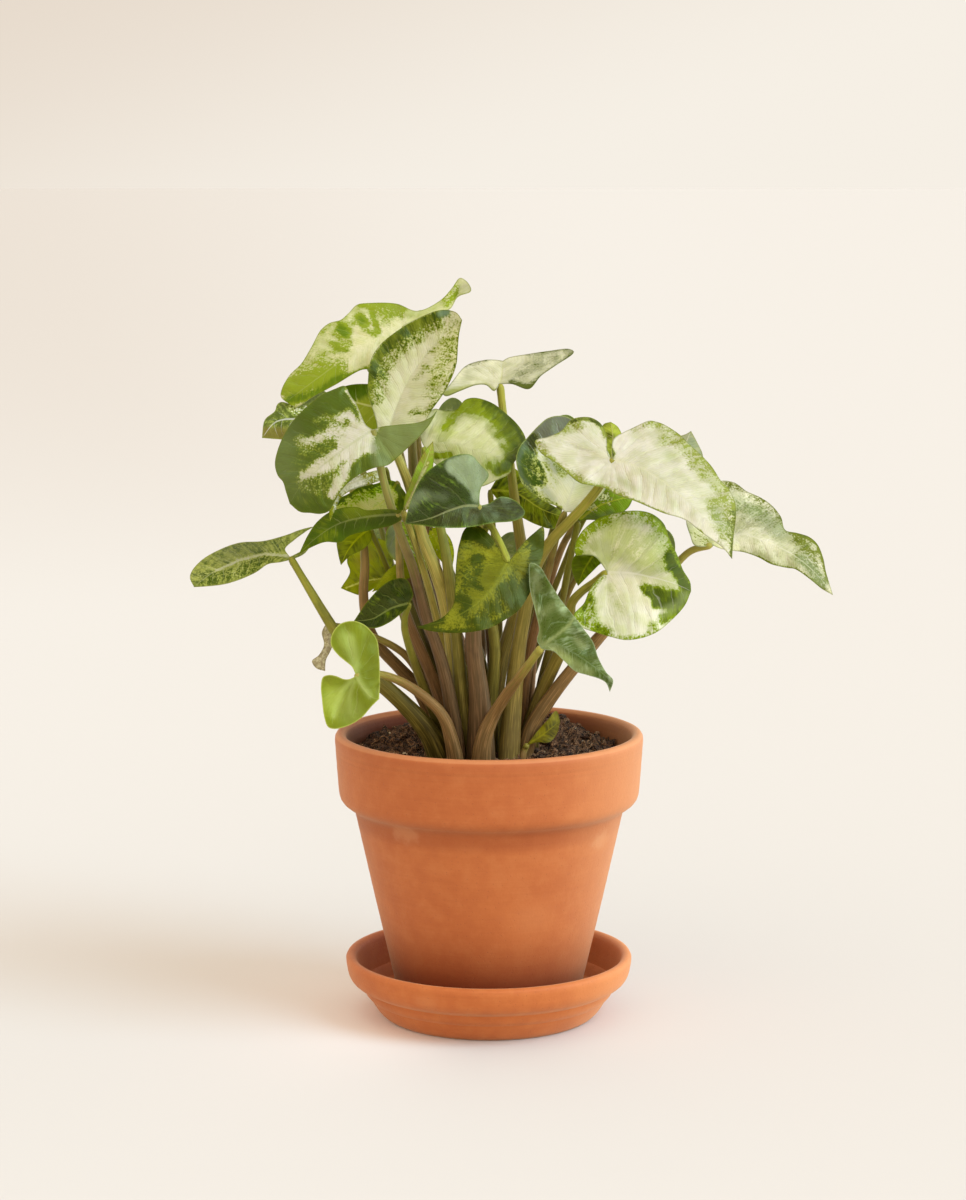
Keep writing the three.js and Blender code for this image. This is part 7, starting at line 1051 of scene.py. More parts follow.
        'strokes': [('h', 0.55, 4.87, 3.9, [[52.1, 67.2], [55, 61.4], [58.9, 56.5]]), ('h', 0.45, 3.41, 2.92, [[74.5, 80.8], [76.5, 76]]), ('h', 0.6, 2.92, 2.44, [[84.3, 83.8], [85.2, 76.9]]), ('h', 0.7, 3.9, 3.41, [[94, 79.9], [102.8, 70.1], [108.6, 61.4]]), ('h', 0.35, 3.9, 3.9, [[35.6, 74], [43.3, 64.3], [50.2, 59.4]]), ('h', 0.5, 4.38, 3.9, [[105.7, 63.3], [113.5, 52.6], [116.4, 44.8]]), ('h', 0.4, 3.9, 3.9, [[81.3, 55.5], [92, 48.7], [102.8, 42.9]]), ('h', 0.3, 5.84, 3.9, [[37.5, 80.8], [48.2, 82.8], [56, 77.9]]), ('g', 0.42, 1.95, 1.95, [[86.2, 84.7], [94, 80.8], [100.8, 75], [105.7, 69.2]]), ('g', 0.5, 2.44, 2.44, [[88.1, 77.9], [95.9, 76], [102.8, 69.2], [107.6, 63.3]]), ('g', 0.42, 1.95, 1.95, [[100.8, 66.2], [105.7, 62.3], [111.5, 56.5], [115.4, 51.6]]), ('g', 0.55, 1.7, 1.46, [[81.3, 86.7], [90.1, 84.3], [97.9, 79.4], [105.7, 70.1], [112.5, 62.3], [118.3, 54.5], [121.8, 47.7]]), ('g', 0.38, 1.46, 1.46, [[73.5, 82.8], [81.3, 85.7]]), ('g', 0.54, 2.44, 1.95, [[26.3, 76.5], [29.7, 70.1], [35.6, 65.3], [42.4, 60.4], [49.2, 56.5]]), ('g', 0.45, 1.46, 1.46, [[49.2, 57], [59.9, 54.5], [69.6, 50.6]]), ('g', 0.85, 0.63, 0.44, [[25.3, 77.4], [28.2, 71.6], [34.1, 67.7], [39.9, 62.8], [47.2, 57], [52.1, 56], [60.4, 54.1], [64.3, 51.6], [74, 48.2], [87.7, 42.4], [106.7, 32.6]]), ('g', 0.95, 1.27, 0.68, [[35.6, 81.3], [38, 83.8], [42.9, 87.2], [48.2, 88.4], [54.1, 87.7], [57.5, 85.2], [59.9, 79.9]]), ('d', 0.7, 1.46, 0.97, [[38, 83.8], [48.2, 88.6], [57.5, 85.2]]), ('g', 0.5, 2.44, 1.95, [[38.5, 82.8], [43.3, 84.7], [47.2, 84.7]]), ('g', 0.95, 1.46, 0.97, [[122.2, 45.8], [122.7, 39.9], [122.2, 31.2], [121.3, 20.9]]), ('g', 0.6, 2.92, 2.44, [[116.9, 48.7], [119.3, 41.9], [119.8, 33.1]]), ('g', 0.5, 2.92, 2.92, [[111.5, 46.8], [114.4, 39], [117.4, 30.2]]), ('d', 0.8, 2.92, 1.95, [[121.3, 40.9], [121.3, 26.8], [121.3, 21.4]]), ('q', 0.45, 2.92, 2.92, [[113.5, 42.9], [117.4, 35.1]]), ('g', 0.97, 1.27, 0.78, [[61.4, 74], [63.3, 70.6]]), ('d', 0.9, 1.95, 0.97, [[61.4, 74], [63.3, 70.6]]), ('h', 0, 1.95, 1.95, [[63.3, 67.2], [76.5, 62.3], [90.1, 54.5], [105.7, 41.4]]), ('l', 0.05, 2.92, 2.92, [[57, 77.9], [55, 72.1]]), ('l', 0.06, 2.44, 2.44, [[69.6, 67.2], [76.5, 62.3]]), ('h', 0.5, 6.82, 4.87, [[37.5, 77.9], [52.1, 77.9]]), ('h', 0.45, 7.79, 4.87, [[76.5, 68.2], [91.1, 58.4], [105.7, 46.3]]), ('h', 0.1, 3.41, 2.92, [[57, 65.3], [53.1, 61.4]]), ('h', 0.7, 2.92, 2.92, [[83.3, 80.8], [88.1, 75], [94, 67.2]]), ('h', 0.75, 2.92, 2.44, [[100.8, 74], [107.6, 65.3], [113.5, 55.5]]), ('h', 0.6, 2.44, 2.44, [[66.7, 58.4], [74.5, 53.6]]), ('g', 0.56, 1.7, 1.46, [[23.4, 78.9], [26.8, 71.6], [32.6, 64.3], [40.4, 58.9]]), ('d', 0.3, 2.44, 1.95, [[23.4, 78.9], [26.8, 71.6], [32.6, 64.3]])],
        'rough': 0.38,
        'coat': 0.0,
        'vein': 0.22,
        'vcol': (196, 191, 156),
        'vsp': 8,
        'under': None,
    },
    'leaf_right_inner': {
        'cream': (228, 233, 213),
        'lime': (184, 198, 93),
        'dark': (51, 82, 15),
        'tint': (88, 109, 89),
        'g0': 0.08,
        'd0': 0.85,
        's0': 0.8,
        'q0': 0.0,
        'strokes': [('g', 1, 3.9, 1.95, [[22.9, 77.9], [19, 71.1], [19.5, 63.3], [22.9, 58.4]]), ('g', 0.97, 2.44, 1.95, [[27.8, 66.2], [30.7, 61.4], [28.7, 57.5]]), ('d', 1, 2.92, 1.95, [[25.8, 65.3], [30.2, 60.4]]), ('g', 0.5, 1.95, 1.95, [[31.7, 58.4], [35.6, 55.5]]), ('g', 0.45, 2.44, 1.95, [[22.9, 53.6], [29.7, 48.7]]), ('q', 0.75, 1.17, 0.97, [[20, 75], [16.6, 67.2], [19, 59.4], [23.9, 53.6]]), ('q', 0.45, 1.95, 1.95, [[29.7, 53.6], [33.6, 48.7]]), ('q', 0.7, 3.41, 2.44, [[27.8, 82.8], [32.6, 87.2], [39, 89.1]]), ('q', 0.6, 2.44, 1.95, [[33.6, 77.9], [35.6, 72.1]]), ('g', 0.62, 2.44, 1.95, [[30.7, 72.1], [35.6, 65.3], [38.5, 61.4]]), ('q', 0.5, 1.95, 1.46, [[31.7, 68.2], [35.6, 63.3]]), ('g', 0.03, 0.68, 0.49, [[26.3, 75], [28.7, 67.2], [32.1, 59.9], [37.5, 51.6], [39.9, 44.8]]), ('g', 0.04, 2.92, 2.44, [[40.4, 48.7], [37.5, 54.5], [42.4, 56.5]]), ('h', 0.6, 2.44, 2.44, [[47.2, 53.6], [52.1, 56.5]]), ('g', 0.75, 0.97, 0.73, [[19.5, 56], [24.8, 51.6], [30.7, 47.7], [38, 44.8]]), ('l', -0.68, 6.33, 2.44, [[25.8, 81.8], [31.7, 85.7], [38.5, 87.7]]), ('q', 0.35, 4.38, 2.44, [[27.8, 82.8], [32.6, 86.7], [39, 89.1]]), ('l', -0.3, 2.92, 2.44, [[23.9, 75], [22.9, 67.2]]), ('l', 0.28, 5.84, 4.38, [[43.3, 53.6], [47.2, 48.7]]), ('d', 1, 3.9, 1.95, [[27.8, 83.8], [33.6, 86.7]]), ('l', -0.2, 4.87, 2.92, [[27.8, 82.8], [33.6, 86.7]]), ('g', 0.85, 2.44, 1.95, [[24.3, 72.1], [21.9, 65.3], [23.9, 60.4]]), ('g', 0.1, 0.58, 0.49, [[30.2, 72.1], [33.6, 64.3], [37.5, 57.5]]), ('l', -0.78, 6.82, 2.44, [[24.8, 80.8], [31.7, 85.7], [38.5, 87.7]]), ('q', 0.2, 5.84, 2.44, [[27.8, 82.8], [33.6, 86.7]]), ('l', -0.85, 7.3, 2.44, [[24.8, 80.8], [31.7, 85.7], [38.5, 87.7]])],
        'rough': 0.34,
        'coat': 0.1,
        'vein': 0.25,
        'vcol': (228, 233, 213),
        'vsp': 6.5,
        'under': None,
    },
    'leaf_right_lobe': {
        'cream': (247, 247, 190),
        'lime': (99, 106, 19),
        'dark': (121, 150, 22),
        'tint': (81, 93, 66),
        'g0': 0.9,
        'd0': 0.8,
        's0': 0.9,
        'q0': 0.0,
        'strokes': [('g', 0.52, 2.92, 2.44, [[51.1, 48.7], [56, 49.7], [59.9, 49.7]]), ('d', 1, 3.9, 2.44, [[62.8, 46.8], [68.7, 48.7]]), ('q', 0.7, 1.95, 1.46, [[51.1, 40.4], [57, 39.9], [61.8, 41.9]]), ('g', 0.4, 1.95, 1.95, [[49.2, 45.8], [53.1, 44.8]])],
        'rough': 0.38,
        'coat': 0.0,
        'vein': 0.35,
        'vcol': (217, 205, 61),
        'vsp': 6.5,
        'under': None,
    },
    'leaf_right_round': {
        'cream': (214, 209, 190),
        'lime': (117, 138, 4),
        'dark': (49, 69, 0),
        'tint': (127, 139, 89),
        'g0': 0.05,
        'd0': 0.55,
        's0': 0.5,
        'q0': 0.0,
        'strokes': [('h', 0.75, 12.66, 2.92, [[57, 25.3], [76.5, 26.3], [86.2, 19.5]]), ('h', 0.45, 4.87, 3.9, [[65.7, -1.9], [70.6, -10.7]]), ('h', 0.15, 1.95, 1.95, [[62.8, 11.7], [76.5, 9.7], [90.1, 5.8]]), ('h', 0.2, 1.95, 1.95, [[82.3, 31.2], [79.4, 26.3]]), ('l', 0.1, 1.95, 1.95, [[82.3, 31.2], [80.4, 28.7]]), ('l', 0.08, 2.44, 1.95, [[67.7, 36], [69.6, 32.1]]), ('h', 0.2, 1.95, 1.95, [[67.7, 37], [69.6, 32.1]]), ('g', 0.95, 2.44, 1.95, [[46.3, 23.4], [45.8, 28.2], [48.7, 33.6], [53.1, 37.5], [58, 40.4]]), ('g', 0.62, 1.95, 1.46, [[49.2, 29.2], [55, 35.1], [58.9, 37]]), ('d', 1, 2.92, 1.95, [[56, 35.1], [58.9, 38]]), ('g', 0.62, 1.46, 1.22, [[58.9, 40.9], [65.3, 42.4], [76.5, 42.6], [82.3, 40.9]]), ('g', 0.42, 2.44, 1.95, [[59.9, 37], [66.7, 39.9], [79.4, 39]]), ('g', 0.9, 1.95, 1.46, [[83.8, 40.9], [88.1, 36], [91.6, 28.7], [95.5, 19.5], [99.3, 10.7], [100.8, 5.8]]), ('g', 0.48, 2.92, 2.44, [[82.3, 30.2], [84.3, 23.4]]), ('g', 0.75, 1.95, 1.46, [[88.1, 18.5], [90.1, 15.6]]), ('d', 1, 2.44, 1.95, [[88.6, 18.5], [95.9, 13.6], [99.8, 7.8]]), ('g', 0.7, 2.44, 1.95, [[92, 25.3], [95.9, 16.6], [98.9, 9.7]]), ('g', 0.46, 1.95, 1.95, [[84.3, 35.1], [88.1, 27.3]]), ('g', 0.95, 2.44, 1.95, [[84.3, 3.9], [90.1, 1.9], [97.9, 3.9]]), ('g', 0.8, 1.95, 1.46, [[83.3, -1], [87.2, -2.4], [92, -0.5]]), ('g', 0.5, 1.95, 1.95, [[77.4, 6.8], [81.3, 5.8], [85.2, 6.8]]), ('g', 0.6, 1.46, 1.46, [[88.1, 6.8], [94, 6.3], [98.9, 5.8]]), ('d', 1, 2.92, 1.95, [[84.3, 1], [90.1, 0]]), ('q', 0.6, 2.44, 1.95, [[88.1, -5.8], [94, -2.9], [98.4, 1.9]]), ('g', 0.8, 1.46, 1.22, [[86.2, -7.8], [93, -3.9], [99.8, 1.9]]), ('g', 0.05, 1.46, 0.97, [[62.8, 13.1], [71.6, 12.7], [83.8, 9.7], [94, 6.8]]), ('g', 0.03, 1.46, 0.97, [[66.7, 10.7], [73.5, 4.9], [79.4, 0], [84.3, -4.9], [88.1, -4.9]]), ('g', 0.55, 1.7, 1.46, [[58.4, 11.2], [55, 8.8], [52.1, 3.9], [51.1, -1]]), ('g', 0.8, 2.44, 1.95, [[52.1, 0], [49.2, -4.4], [46.3, -6.8]]), ('g', 0.72, 2.44, 1.95, [[47.2, -7.8], [51.1, -10.7], [56, -14.6]]), ('g', 0.5, 1.95, 1.46, [[52.1, -2.9], [54.1, -8.8]]), ('g', 0.52, 1.46, 1.22, [[56, -16.1], [62.8, -18], [69.6, -19], [77.4, -18], [84.7, -14.6]]), ('g', 0.48, 1.95, 1.46, [[82.3, -12.7], [87.2, -9.7], [91.1, -6.8]]), ('l', 0.07, 2.92, 2.92, [[62.8, 5.8], [59.9, -1.9]]), ('h', 0, 1.46, 1.46, [[60.9, 10.7], [59.9, 0], [58.9, -9.7]]), ('h', 0, 1.22, 1.22, [[63.8, 7.8], [68.7, -1.9], [72.6, -13.6]]), ('h', 0, 1.22, 1.22, [[68.7, 8.8], [77.4, 0], [84.3, -6.8]]), ('l', -0.1, 1.95, 1.46, [[79.4, 19.5], [66.7, 13.6], [86.2, 13.1]]), ('l', 0.42, 6.82, 4.38, [[61.8, 33.1], [71.6, 28.2], [80.4, 23.4]]), ('l', 0.15, 3.9, 3.41, [[58.9, 24.3], [62.8, 18.5]]), ('g', 0.12, 3.9, 2.92, [[62.8, 3.9], [65.7, -2.9]]), ('h', 0.3, 3.9, 3.9, [[59.9, 19.5], [66.7, 16.6]]), ('h', 0.85, 5.84, 3.9, [[57, 29.2], [66.7, 32.1], [78.9, 26.3], [86.2, 19.5]]), ('h', 0.6, 6.82, 4.87, [[76.5, 19.5], [91.1, 9.7]]), ('h', 0.5, 4.87, 3.9, [[57, -5.8], [67.7, -12.7]]), ('g', 0.35, 2.92, 2.44, [[79.4, 26.8], [86.2, 16.6]]), ('g', 0.95, 2.92, 1.22, [[80.8, 4.4], [87.2, 1.9], [95, 1.5]]), ('g', 0.95, 2.44, 1.22, [[84.3, -1.9], [89.6, -1.9]]), ('g', 0.8, 1.46, 1.22, [[77.9, 5.8], [81.3, 5.4]]), ('d', 0.75, 3.41, 1.95, [[80.8, 4.4], [87.2, 1.9], [95, 1.5]]), ('q', 0, 2.44, 1.46, [[66.7, 40.9], [76.5, 40.9], [82.3, 39]]), ('g', 0.86, 1.95, 1.46, [[88.1, -9.7], [94, -5.8], [98.9, 0]]), ('g', 0.96, 2.44, 1.46, [[90.1, 21.4], [93, 15.6], [96.9, 8.8], [99.8, 3.9]]), ('d', 1, 2.44, 1.46, [[90.1, 21.4], [93, 15.6], [96.9, 8.8]]), ('g', 0.56, 1.95, 1.95, [[76.5, 41.9], [84.3, 36], [88.1, 29.2]]), ('d', 0.25, 2.44, 1.95, [[76.5, 41.9], [84.3, 36], [88.1, 29.2]]), ('g', 0.6, 2.92, 2.44, [[47.2, 26.8], [51.1, 34.1], [58, 38.5]]), ('d', 0.35, 3.41, 1.95, [[47.2, 26.8], [51.1, 34.1], [58, 38.5]]), ('h', 0.8, 6.82, 3.9, [[57, 25.3], [67.7, 29.2], [76.5, 25.3]]), ('h', 0.35, 4.87, 3.9, [[59.9, 4.9], [62.8, -5.8], [70.6, -10.7]]), ('g', 0.62, 2.44, 1.95, [[45.3, -5.8], [53.1, -13.1], [60.9, -16.1]]), ('l', 0.16, 3.9, 2.92, [[49.2, 29.2], [54.1, 35.1], [60.9, 39]]), ('h', 0.9, 5.84, 3.9, [[57, 23.4], [66.7, 26.8], [76.5, 23.4]]), ('g', 0.2, 6.82, 3.9, [[58, 25.3], [69.2, 27.8], [79.4, 24.3]]), ('h', 1, 6.82, 3.9, [[57, 24.3], [69.2, 26.8], [80.4, 23.4]])],
        'rough': 0.38,
        'coat': 0.0,
        'vein': 0.3,
        'vcol': (217, 213, 199),
        'vsp': 8,
        'under': None,
    },
    'leaf_far_right': {
        'cream': (210, 203, 176),
        'lime': (93, 101, 17),
        'dark': (45, 59, 3),
        'tint': (120, 132, 97),
        'g0': 0.12,
        'd0': 0.4,
        's0': 0.55,
        'q0': 0.0,
        'strokes': [('h', 0.5, 6.82, 3.9, [[124.2, 37], [134.9, 32.1], [149.5, 25.3]]), ('h', 0.2, 2.92, 2.92, [[129.1, 31.2], [143.7, 26.3]]), ('g', 0.52, 2.44, 1.95, [[107.6, 51.6], [116.4, 56.5], [125.2, 54.1], [134.9, 49.2], [142.7, 42.9], [146.6, 35.1]]), ('q', 0.55, 3.9, 2.92, [[120.3, 49.7], [129.1, 44.8], [138.8, 39], [144.6, 33.1]]), ('g', 0.46, 3.41, 2.92, [[125.2, 45.8], [133.9, 40.9], [141.7, 36]]), ('g', 0.55, 1.95, 1.95, [[133, 43.8], [136.8, 42.9]]), ('g', 0.42, 1.46, 1.46, [[127.1, 39], [129.1, 37]]), ('g', 0.62, 2.92, 2.44, [[152.4, 30.2], [157.3, 26.3], [160.2, 20.5]]), ('q', 0.6, 2.92, 2.44, [[155.4, 19.5], [160.2, 14.6], [165.1, 7.8]]), ('g', 0.6, 2.92, 2.44, [[154.4, 21.4], [160.2, 15.6], [165.1, 7.8]]), ('g', 0.85, 1.27, 0.97, [[149.5, 33.1], [158.8, 30.7], [162.7, 27.3], [165.6, 20.5], [168, 9.7]]), ('d', 0.2, 1.95, 1.46, [[160.2, 28.2], [165.1, 19.5], [167.5, 10.7]]), ('g', 0.75, 0.78, 0.58, [[125.2, 23.4], [134.9, 20.5], [142.7, 16.6], [151.9, 15.1], [160.2, 9.3], [166.1, 4.9]]), ('h', 0.8, 1.95, 1.46, [[127.1, 24.3], [139.8, 19.5], [151.5, 16.6]]), ('q', 0, 2.44, 1.95, [[102.8, 34.1], [105.7, 27.3]]), ('h', 1, 3.41, 2.44, [[101.8, 34.1], [105.7, 27.8], [111.5, 27.3]]), ('g', 0.5, 2.44, 2.44, [[103.7, 31.2], [108.6, 27.3]]), ('d', 0, 2.92, 2.92, [[103.7, 31.2], [108.6, 27.3]]), ('h', 0, 1.46, 1.46, [[120.3, 29.2], [134.9, 27.3], [147.1, 23.4]]), ('l', 0.62, 3.9, 2.92, [[103.7, 32.1], [107.6, 26.3], [111.5, 26.3]]), ('l', 0.2, 4.38, 3.9, [[122.2, 48.7], [131, 44.8]]), ('l', 0.3, 2.44, 1.95, [[115.4, 25.3], [127.1, 22.9]]), ('l', 0.9, 3.41, 2.44, [[104.7, 30.2], [108.6, 26.3], [112.5, 25.3]]), ('h', 0.6, 6.82, 3.9, [[125.2, 39], [136.8, 34.1], [151.5, 26.8]]), ('h', 0.15, 2.44, 2.44, [[130, 31.2], [142.2, 26.8]])],
        'rough': 0.38,
        'coat': 0.0,
        'vein': 0.25,
        'vcol': (210, 203, 176),
        'vsp': 7,
        'under': None,
    },
    'leaf_right_back_tip': {
        'cream': (221, 209, 188),
        'lime': (157, 154, 92),
        'dark': (98, 112, 62),
        'tint': (122, 126, 121),
        'g0': 1,
        'd0': 0.5,
        's0': 0.3,
        'q0': 0.5,
        'strokes': [],
        'rough': 0.38,
        'coat': 0.0,
        'vein': 0.35,
        'vcol': (221, 209, 188),
        'vsp': 6.5,
        'under': (140, 146, 128),
    },
    'leaf_centre_low': {
        'cream': (122, 122, 23),
        'lime': (59, 66, 0),
        'dark': (36, 52, 0),
        'tint': (58, 78, 35),
        'g0': 0.4,
        'd0': 0.75,
        's0': 0.6,
        'q0': 0.0,
        'strokes': [('g', 0.9, 2.92, 2.44, [[-7.3, 33.6], [-2.4, 32.1], [2.4, 28.7]]), ('g', 0.6, 2.44, 1.95, [[-10.2, 28.2], [-12.2, 21.4], [-12.7, 13.6]]), ('g', 0.6, 2.44, 2.44, [[-6.3, 21.4], [-3.4, 18.5], [-0.5, 21.4]]), ('g', 0.56, 2.92, 2.44, [[-5.4, 13.6], [-1.5, 9.7]]), ('g', 0.55, 2.44, 2.44, [[-11.2, 8.8], [-12.2, 1], [-8.3, 2.9]]), ('g', 0.95, 1.95, 1.46, [[-29.7, -12.7], [-22.9, -10.7], [-16.1, -6.8]]), ('g', 1, 3.9, 1.95, [[24.8, 32.1], [27.8, 26.3], [23.9, 21.4]]), ('g', 0.75, 2.44, 1.95, [[20, 21.4], [22.9, 18.5]]), ('g', 0.62, 2.92, 2.44, [[7.3, 10.7], [12.2, 12.7]]), ('g', 0.75, 3.41, 2.44, [[10.2, 4.9], [7.3, -1], [1.5, -5.8]]), ('g', 0.95, 3.41, 1.95, [[24.8, 13.6], [20.9, 4.9], [15.1, -1.9]]), ('q', 0.85, 3.41, 1.95, [[25.8, 14.6], [21.9, 6.8], [16.1, 1]]), ('g', 0.62, 2.44, 1.95, [[-2.4, -1.9], [-8.3, -7.8], [-15.1, -10.7]]), ('g', 0.9, 1.22, 0.97, [[16.1, -4.9], [8.3, -10.2], [-3.9, -14.6], [-16.1, -15.6], [-25.8, -14.6]]), ('h', 0.9, 4.87, 3.9, [[8.3, 16.6], [0.5, 7.8], [-8.3, -2.9]]), ('g', 0.15, 1.22, 1.22, [[12.2, 18.5], [8.3, 11.7], [3.4, 4.9], [-2.4, -1], [-9.3, -5.8]]), ('g', 0.18, 1.46, 1.46, [[12.2, 18.5], [8.3, 23.4], [3.4, 25.3]]), ('g', 0.25, 1.95, 1.46, [[14.1, 18.5], [18, 20.5], [20.9, 22.4]]), ('l', -0.1, 3.9, 2.92, [[-4.4, 29.2], [1.5, 25.3]]), ('l', -0.35, 5.84, 3.9, [[21.9, 16.6], [20, 6.8], [14.1, -1]]), ('g', 0.72, 3.41, 2.92, [[-10.7, 16.6], [-11.7, 8.8], [-10.2, 1.9]]), ('g', 0.7, 4.38, 3.41, [[-8.3, 1.9], [-2.4, -1.9], [5.4, 0]]), ('g', 0.8, 2.44, 1.95, [[-4.4, 19.5], [-1.5, 16.6], [-2.4, 12.7]]), ('g', 0.72, 2.44, 1.95, [[3.4, 25.3], [7.3, 27.3]]), ('g', 0.75, 2.92, 2.44, [[14.1, 14.6], [12.2, 7.8]]), ('g', 0.12, 1.46, 1.22, [[11.7, 18], [7.3, 11.7], [1.5, 5.8], [-6.3, -1], [-15.1, -5.8]]), ('g', 0.15, 1.07, 0.97, [[11.2, 19], [7.3, 23.4], [2.4, 25.3], [-2.4, 23.4]]), ('g', 0.2, 1.07, 0.97, [[12.7, 18.5], [17, 21.4], [21.9, 23.4]]), ('g', 0.15, 1.95, 1.46, [[8.3, 19.5], [6.3, 16.6]]), ('l', -0.15, 2.92, 2.44, [[-2.4, 16.6], [1.5, 11.7]]), ('d', 1, 1.46, 1.46, [[-6.3, 33.6], [-1.5, 32.1], [2.4, 28.7]]), ('l', -0.3, 2.44, 1.95, [[-12.2, 26.8], [-12.7, 19.5]]), ('g', 0.22, 5.36, 3.9, [[10.2, 19.5], [1.5, 21.4], [-6.3, 22.9]]), ('g', 0.2, 4.87, 3.41, [[9.7, 16.6], [3.4, 7.8], [-5.4, -1], [-13.6, -7.8]]), ('g', 0.38, 3.41, 2.92, [[-10.2, 18.5], [-12.7, 11.7], [-13.6, 3.9]]), ('g', 0.2, 2.92, 2.44, [[14.1, 18.5], [19, 19.5], [18, 13.6]]), ('g', 0.86, 1.95, 1.46, [[-4.9, 19.5], [-1, 20.5]]), ('g', 0.82, 1.7, 1.46, [[-4.4, 7.8], [-1, 5.8]]), ('g', 0.88, 2.19, 1.7, [[-11.7, 1], [-7.3, -1], [-9.3, -5.8]]), ('g', 0.93, 2.19, 1.46, [[9.3, 5.8], [12.2, 1.9], [14.1, 7.8]]), ('g', 0.88, 1.95, 1.46, [[1.9, -2.9], [7.3, -3.9]]), ('g', 0.82, 1.95, 1.46, [[-7.3, -10.7], [0.5, -10.7]]), ('g', 0.95, 2.44, 1.95, [[-8.3, 31.7], [-2.4, 31.2], [2.4, 27.8]]), ('d', 1, 2.92, 1.95, [[-4.9, 19.5], [-1, 20.5]]), ('d', 1, 2.92, 1.95, [[9.3, 5.8], [12.2, 1.9], [14.1, 7.8]]), ('d', 1, 2.92, 2.44, [[-11.7, 1], [-7.3, -1], [-9.3, -5.8]]), ('l', 0.12, 4.87, 3.9, [[8.3, 17.5], [1.5, 19.5], [-3.4, 14.6]]), ('l', -0.22, 2.92, 2.44, [[-12.2, 19.5], [-13.6, 9.7]])],
        'rough': 0.38,
        'coat': 0.0,
        'vein': 0.2,
        'vcol': (123, 126, 25),
        'vsp': 6,
        'under': None,
    },
    'leaf_right_hanging': {
        'cream': (209, 198, 178),
        'lime': (170, 185, 143),
        'dark': (56, 77, 17),
        'tint': (134, 143, 89),
        'g0': 1.0,
        'd0': 0.75,
        's0': 0.45,
        'q0': 0.0,
        'strokes': [('q', 0.5, 2.44, 2.44, [[35.6, -25.3], [40.4, -29.2], [47.2, -34.1]]), ('q', 0.65, 1.95, 1.95, [[30.2, -22.4], [35.6, -24.3], [42.4, -30.2], [52.1, -35.6]]), ('q', 0.45, 1.95, 1.95, [[30.2, -5.8], [35.6, -1.9], [39.4, -5.8]]), ('q', 0.5, 1.95, 1.95, [[25.3, 12.2], [26.8, 5.8]]), ('q', 0.55, 0.97, 0.78, [[22.9, 4.9], [25.8, -4.9], [27.3, -14.6], [28.2, -22.4]]), ('d', 1, 2.92, 2.44, [[33.6, -2.9], [35.6, -8.8], [32.6, -13.6]]), ('l', -0.22, 2.92, 2.44, [[33.6, -2.9], [35.6, -8.8], [32.6, -13.6]]), ('l', -0.28, 2.92, 2.44, [[45.3, -15.6], [49.2, -19.5], [52.1, -24.3]]), ('q', 0.75, 1.7, 1.46, [[45.8, -19.5], [48.2, -22.4]]), ('l', 0.12, 1.95, 1.95, [[37.5, -10.7], [40.4, -13.6]]), ('l', -0.15, 2.44, 1.95, [[40.4, -25.3], [45.3, -27.3]]), ('g', 0.5, 0.97, 0.73, [[59.9, -37], [62.8, -39.4], [61.8, -43.8]]), ('d', 0.2, 1.46, 0.97, [[59.9, -37], [62.3, -42.9]]), ('l', -0.32, 3.41, 2.92, [[26.3, 11.7], [28.2, 1.9]]), ('l', 0.42, 2.44, 1.95, [[34.6, -26.3], [40.4, -29.2]]), ('l', -0.15, 1.95, 1.95, [[38.5, -5.8], [40.4, -9.7]]), ('l', -0.42, 3.9, 2.92, [[25.8, 12.7], [28.2, 1.9]]), ('l', -0.2, 3.9, 2.92, [[30.2, 0], [35.6, -9.7]]), ('l', -0.3, 3.41, 2.44, [[47.2, -19.5], [53.1, -26.8]]), ('q', 0.85, 0.63, 0.68, [[28.7, -22.4], [35.6, -17.5], [41.4, -12.7], [45.3, -7.3]]), ('g', 1, 2.44, 1.46, [[58.9, -36], [62.8, -39.4], [61.8, -44.8]]), ('d', 0.6, 1.95, 1.46, [[59.9, -37], [62.3, -43.8]]), ('l', -0.42, 1.95, 1.46, [[60.4, -38], [62.8, -40.4], [61.8, -44.8]])],
        'rough': 0.3,
        'coat': 0.15,
        'vein': 0.3,
        'vcol': (146, 164, 118),
        'vsp': 9,
        'under': None,
        'rib': 0.14,
    },
    'leaf_far_left': {
        'cream': (187, 186, 170),
        'lime': (154, 161, 75),
        'dark': (49, 71, 1),
        'tint': (101, 117, 71),
        'g0': 0.8,
        'd0': 0.55,
        's0': 0.6,
        'q0': 0.0,
        'strokes': [('g', 0.25, 0.58, 0.58, [[-94, 21.4], [-106.2, 22.4], [-118.3, 19.5], [-130, 14.1]]), ('q', 0.4, 3.9, 3.9, [[-125.6, 21.4], [-111, 25.3]]), ('d', 0.9, 2.44, 1.95, [[-135.4, 10.7], [-120.8, 12.7], [-106.2, 18.5]]), ('l', -0.22, 5.84, 3.9, [[-125.2, 19.5], [-118.3, 23.4], [-109.6, 25.3]])],
        'rough': 0.38,
        'coat': 0.0,
        'vein': 0.45,
        'vcol': (163, 167, 120),
        'vsp': 6.5,
        'under': None,
    },
    'leaf_left_low': {
        'cream': (176, 184, 110),
        'lime': (106, 117, 26),
        'dark': (100, 116, 20),
        'tint': (148, 161, 84),
        'g0': 0.85,
        'd0': 0.35,
        's0': 0.3,
        'q0': 0.0,
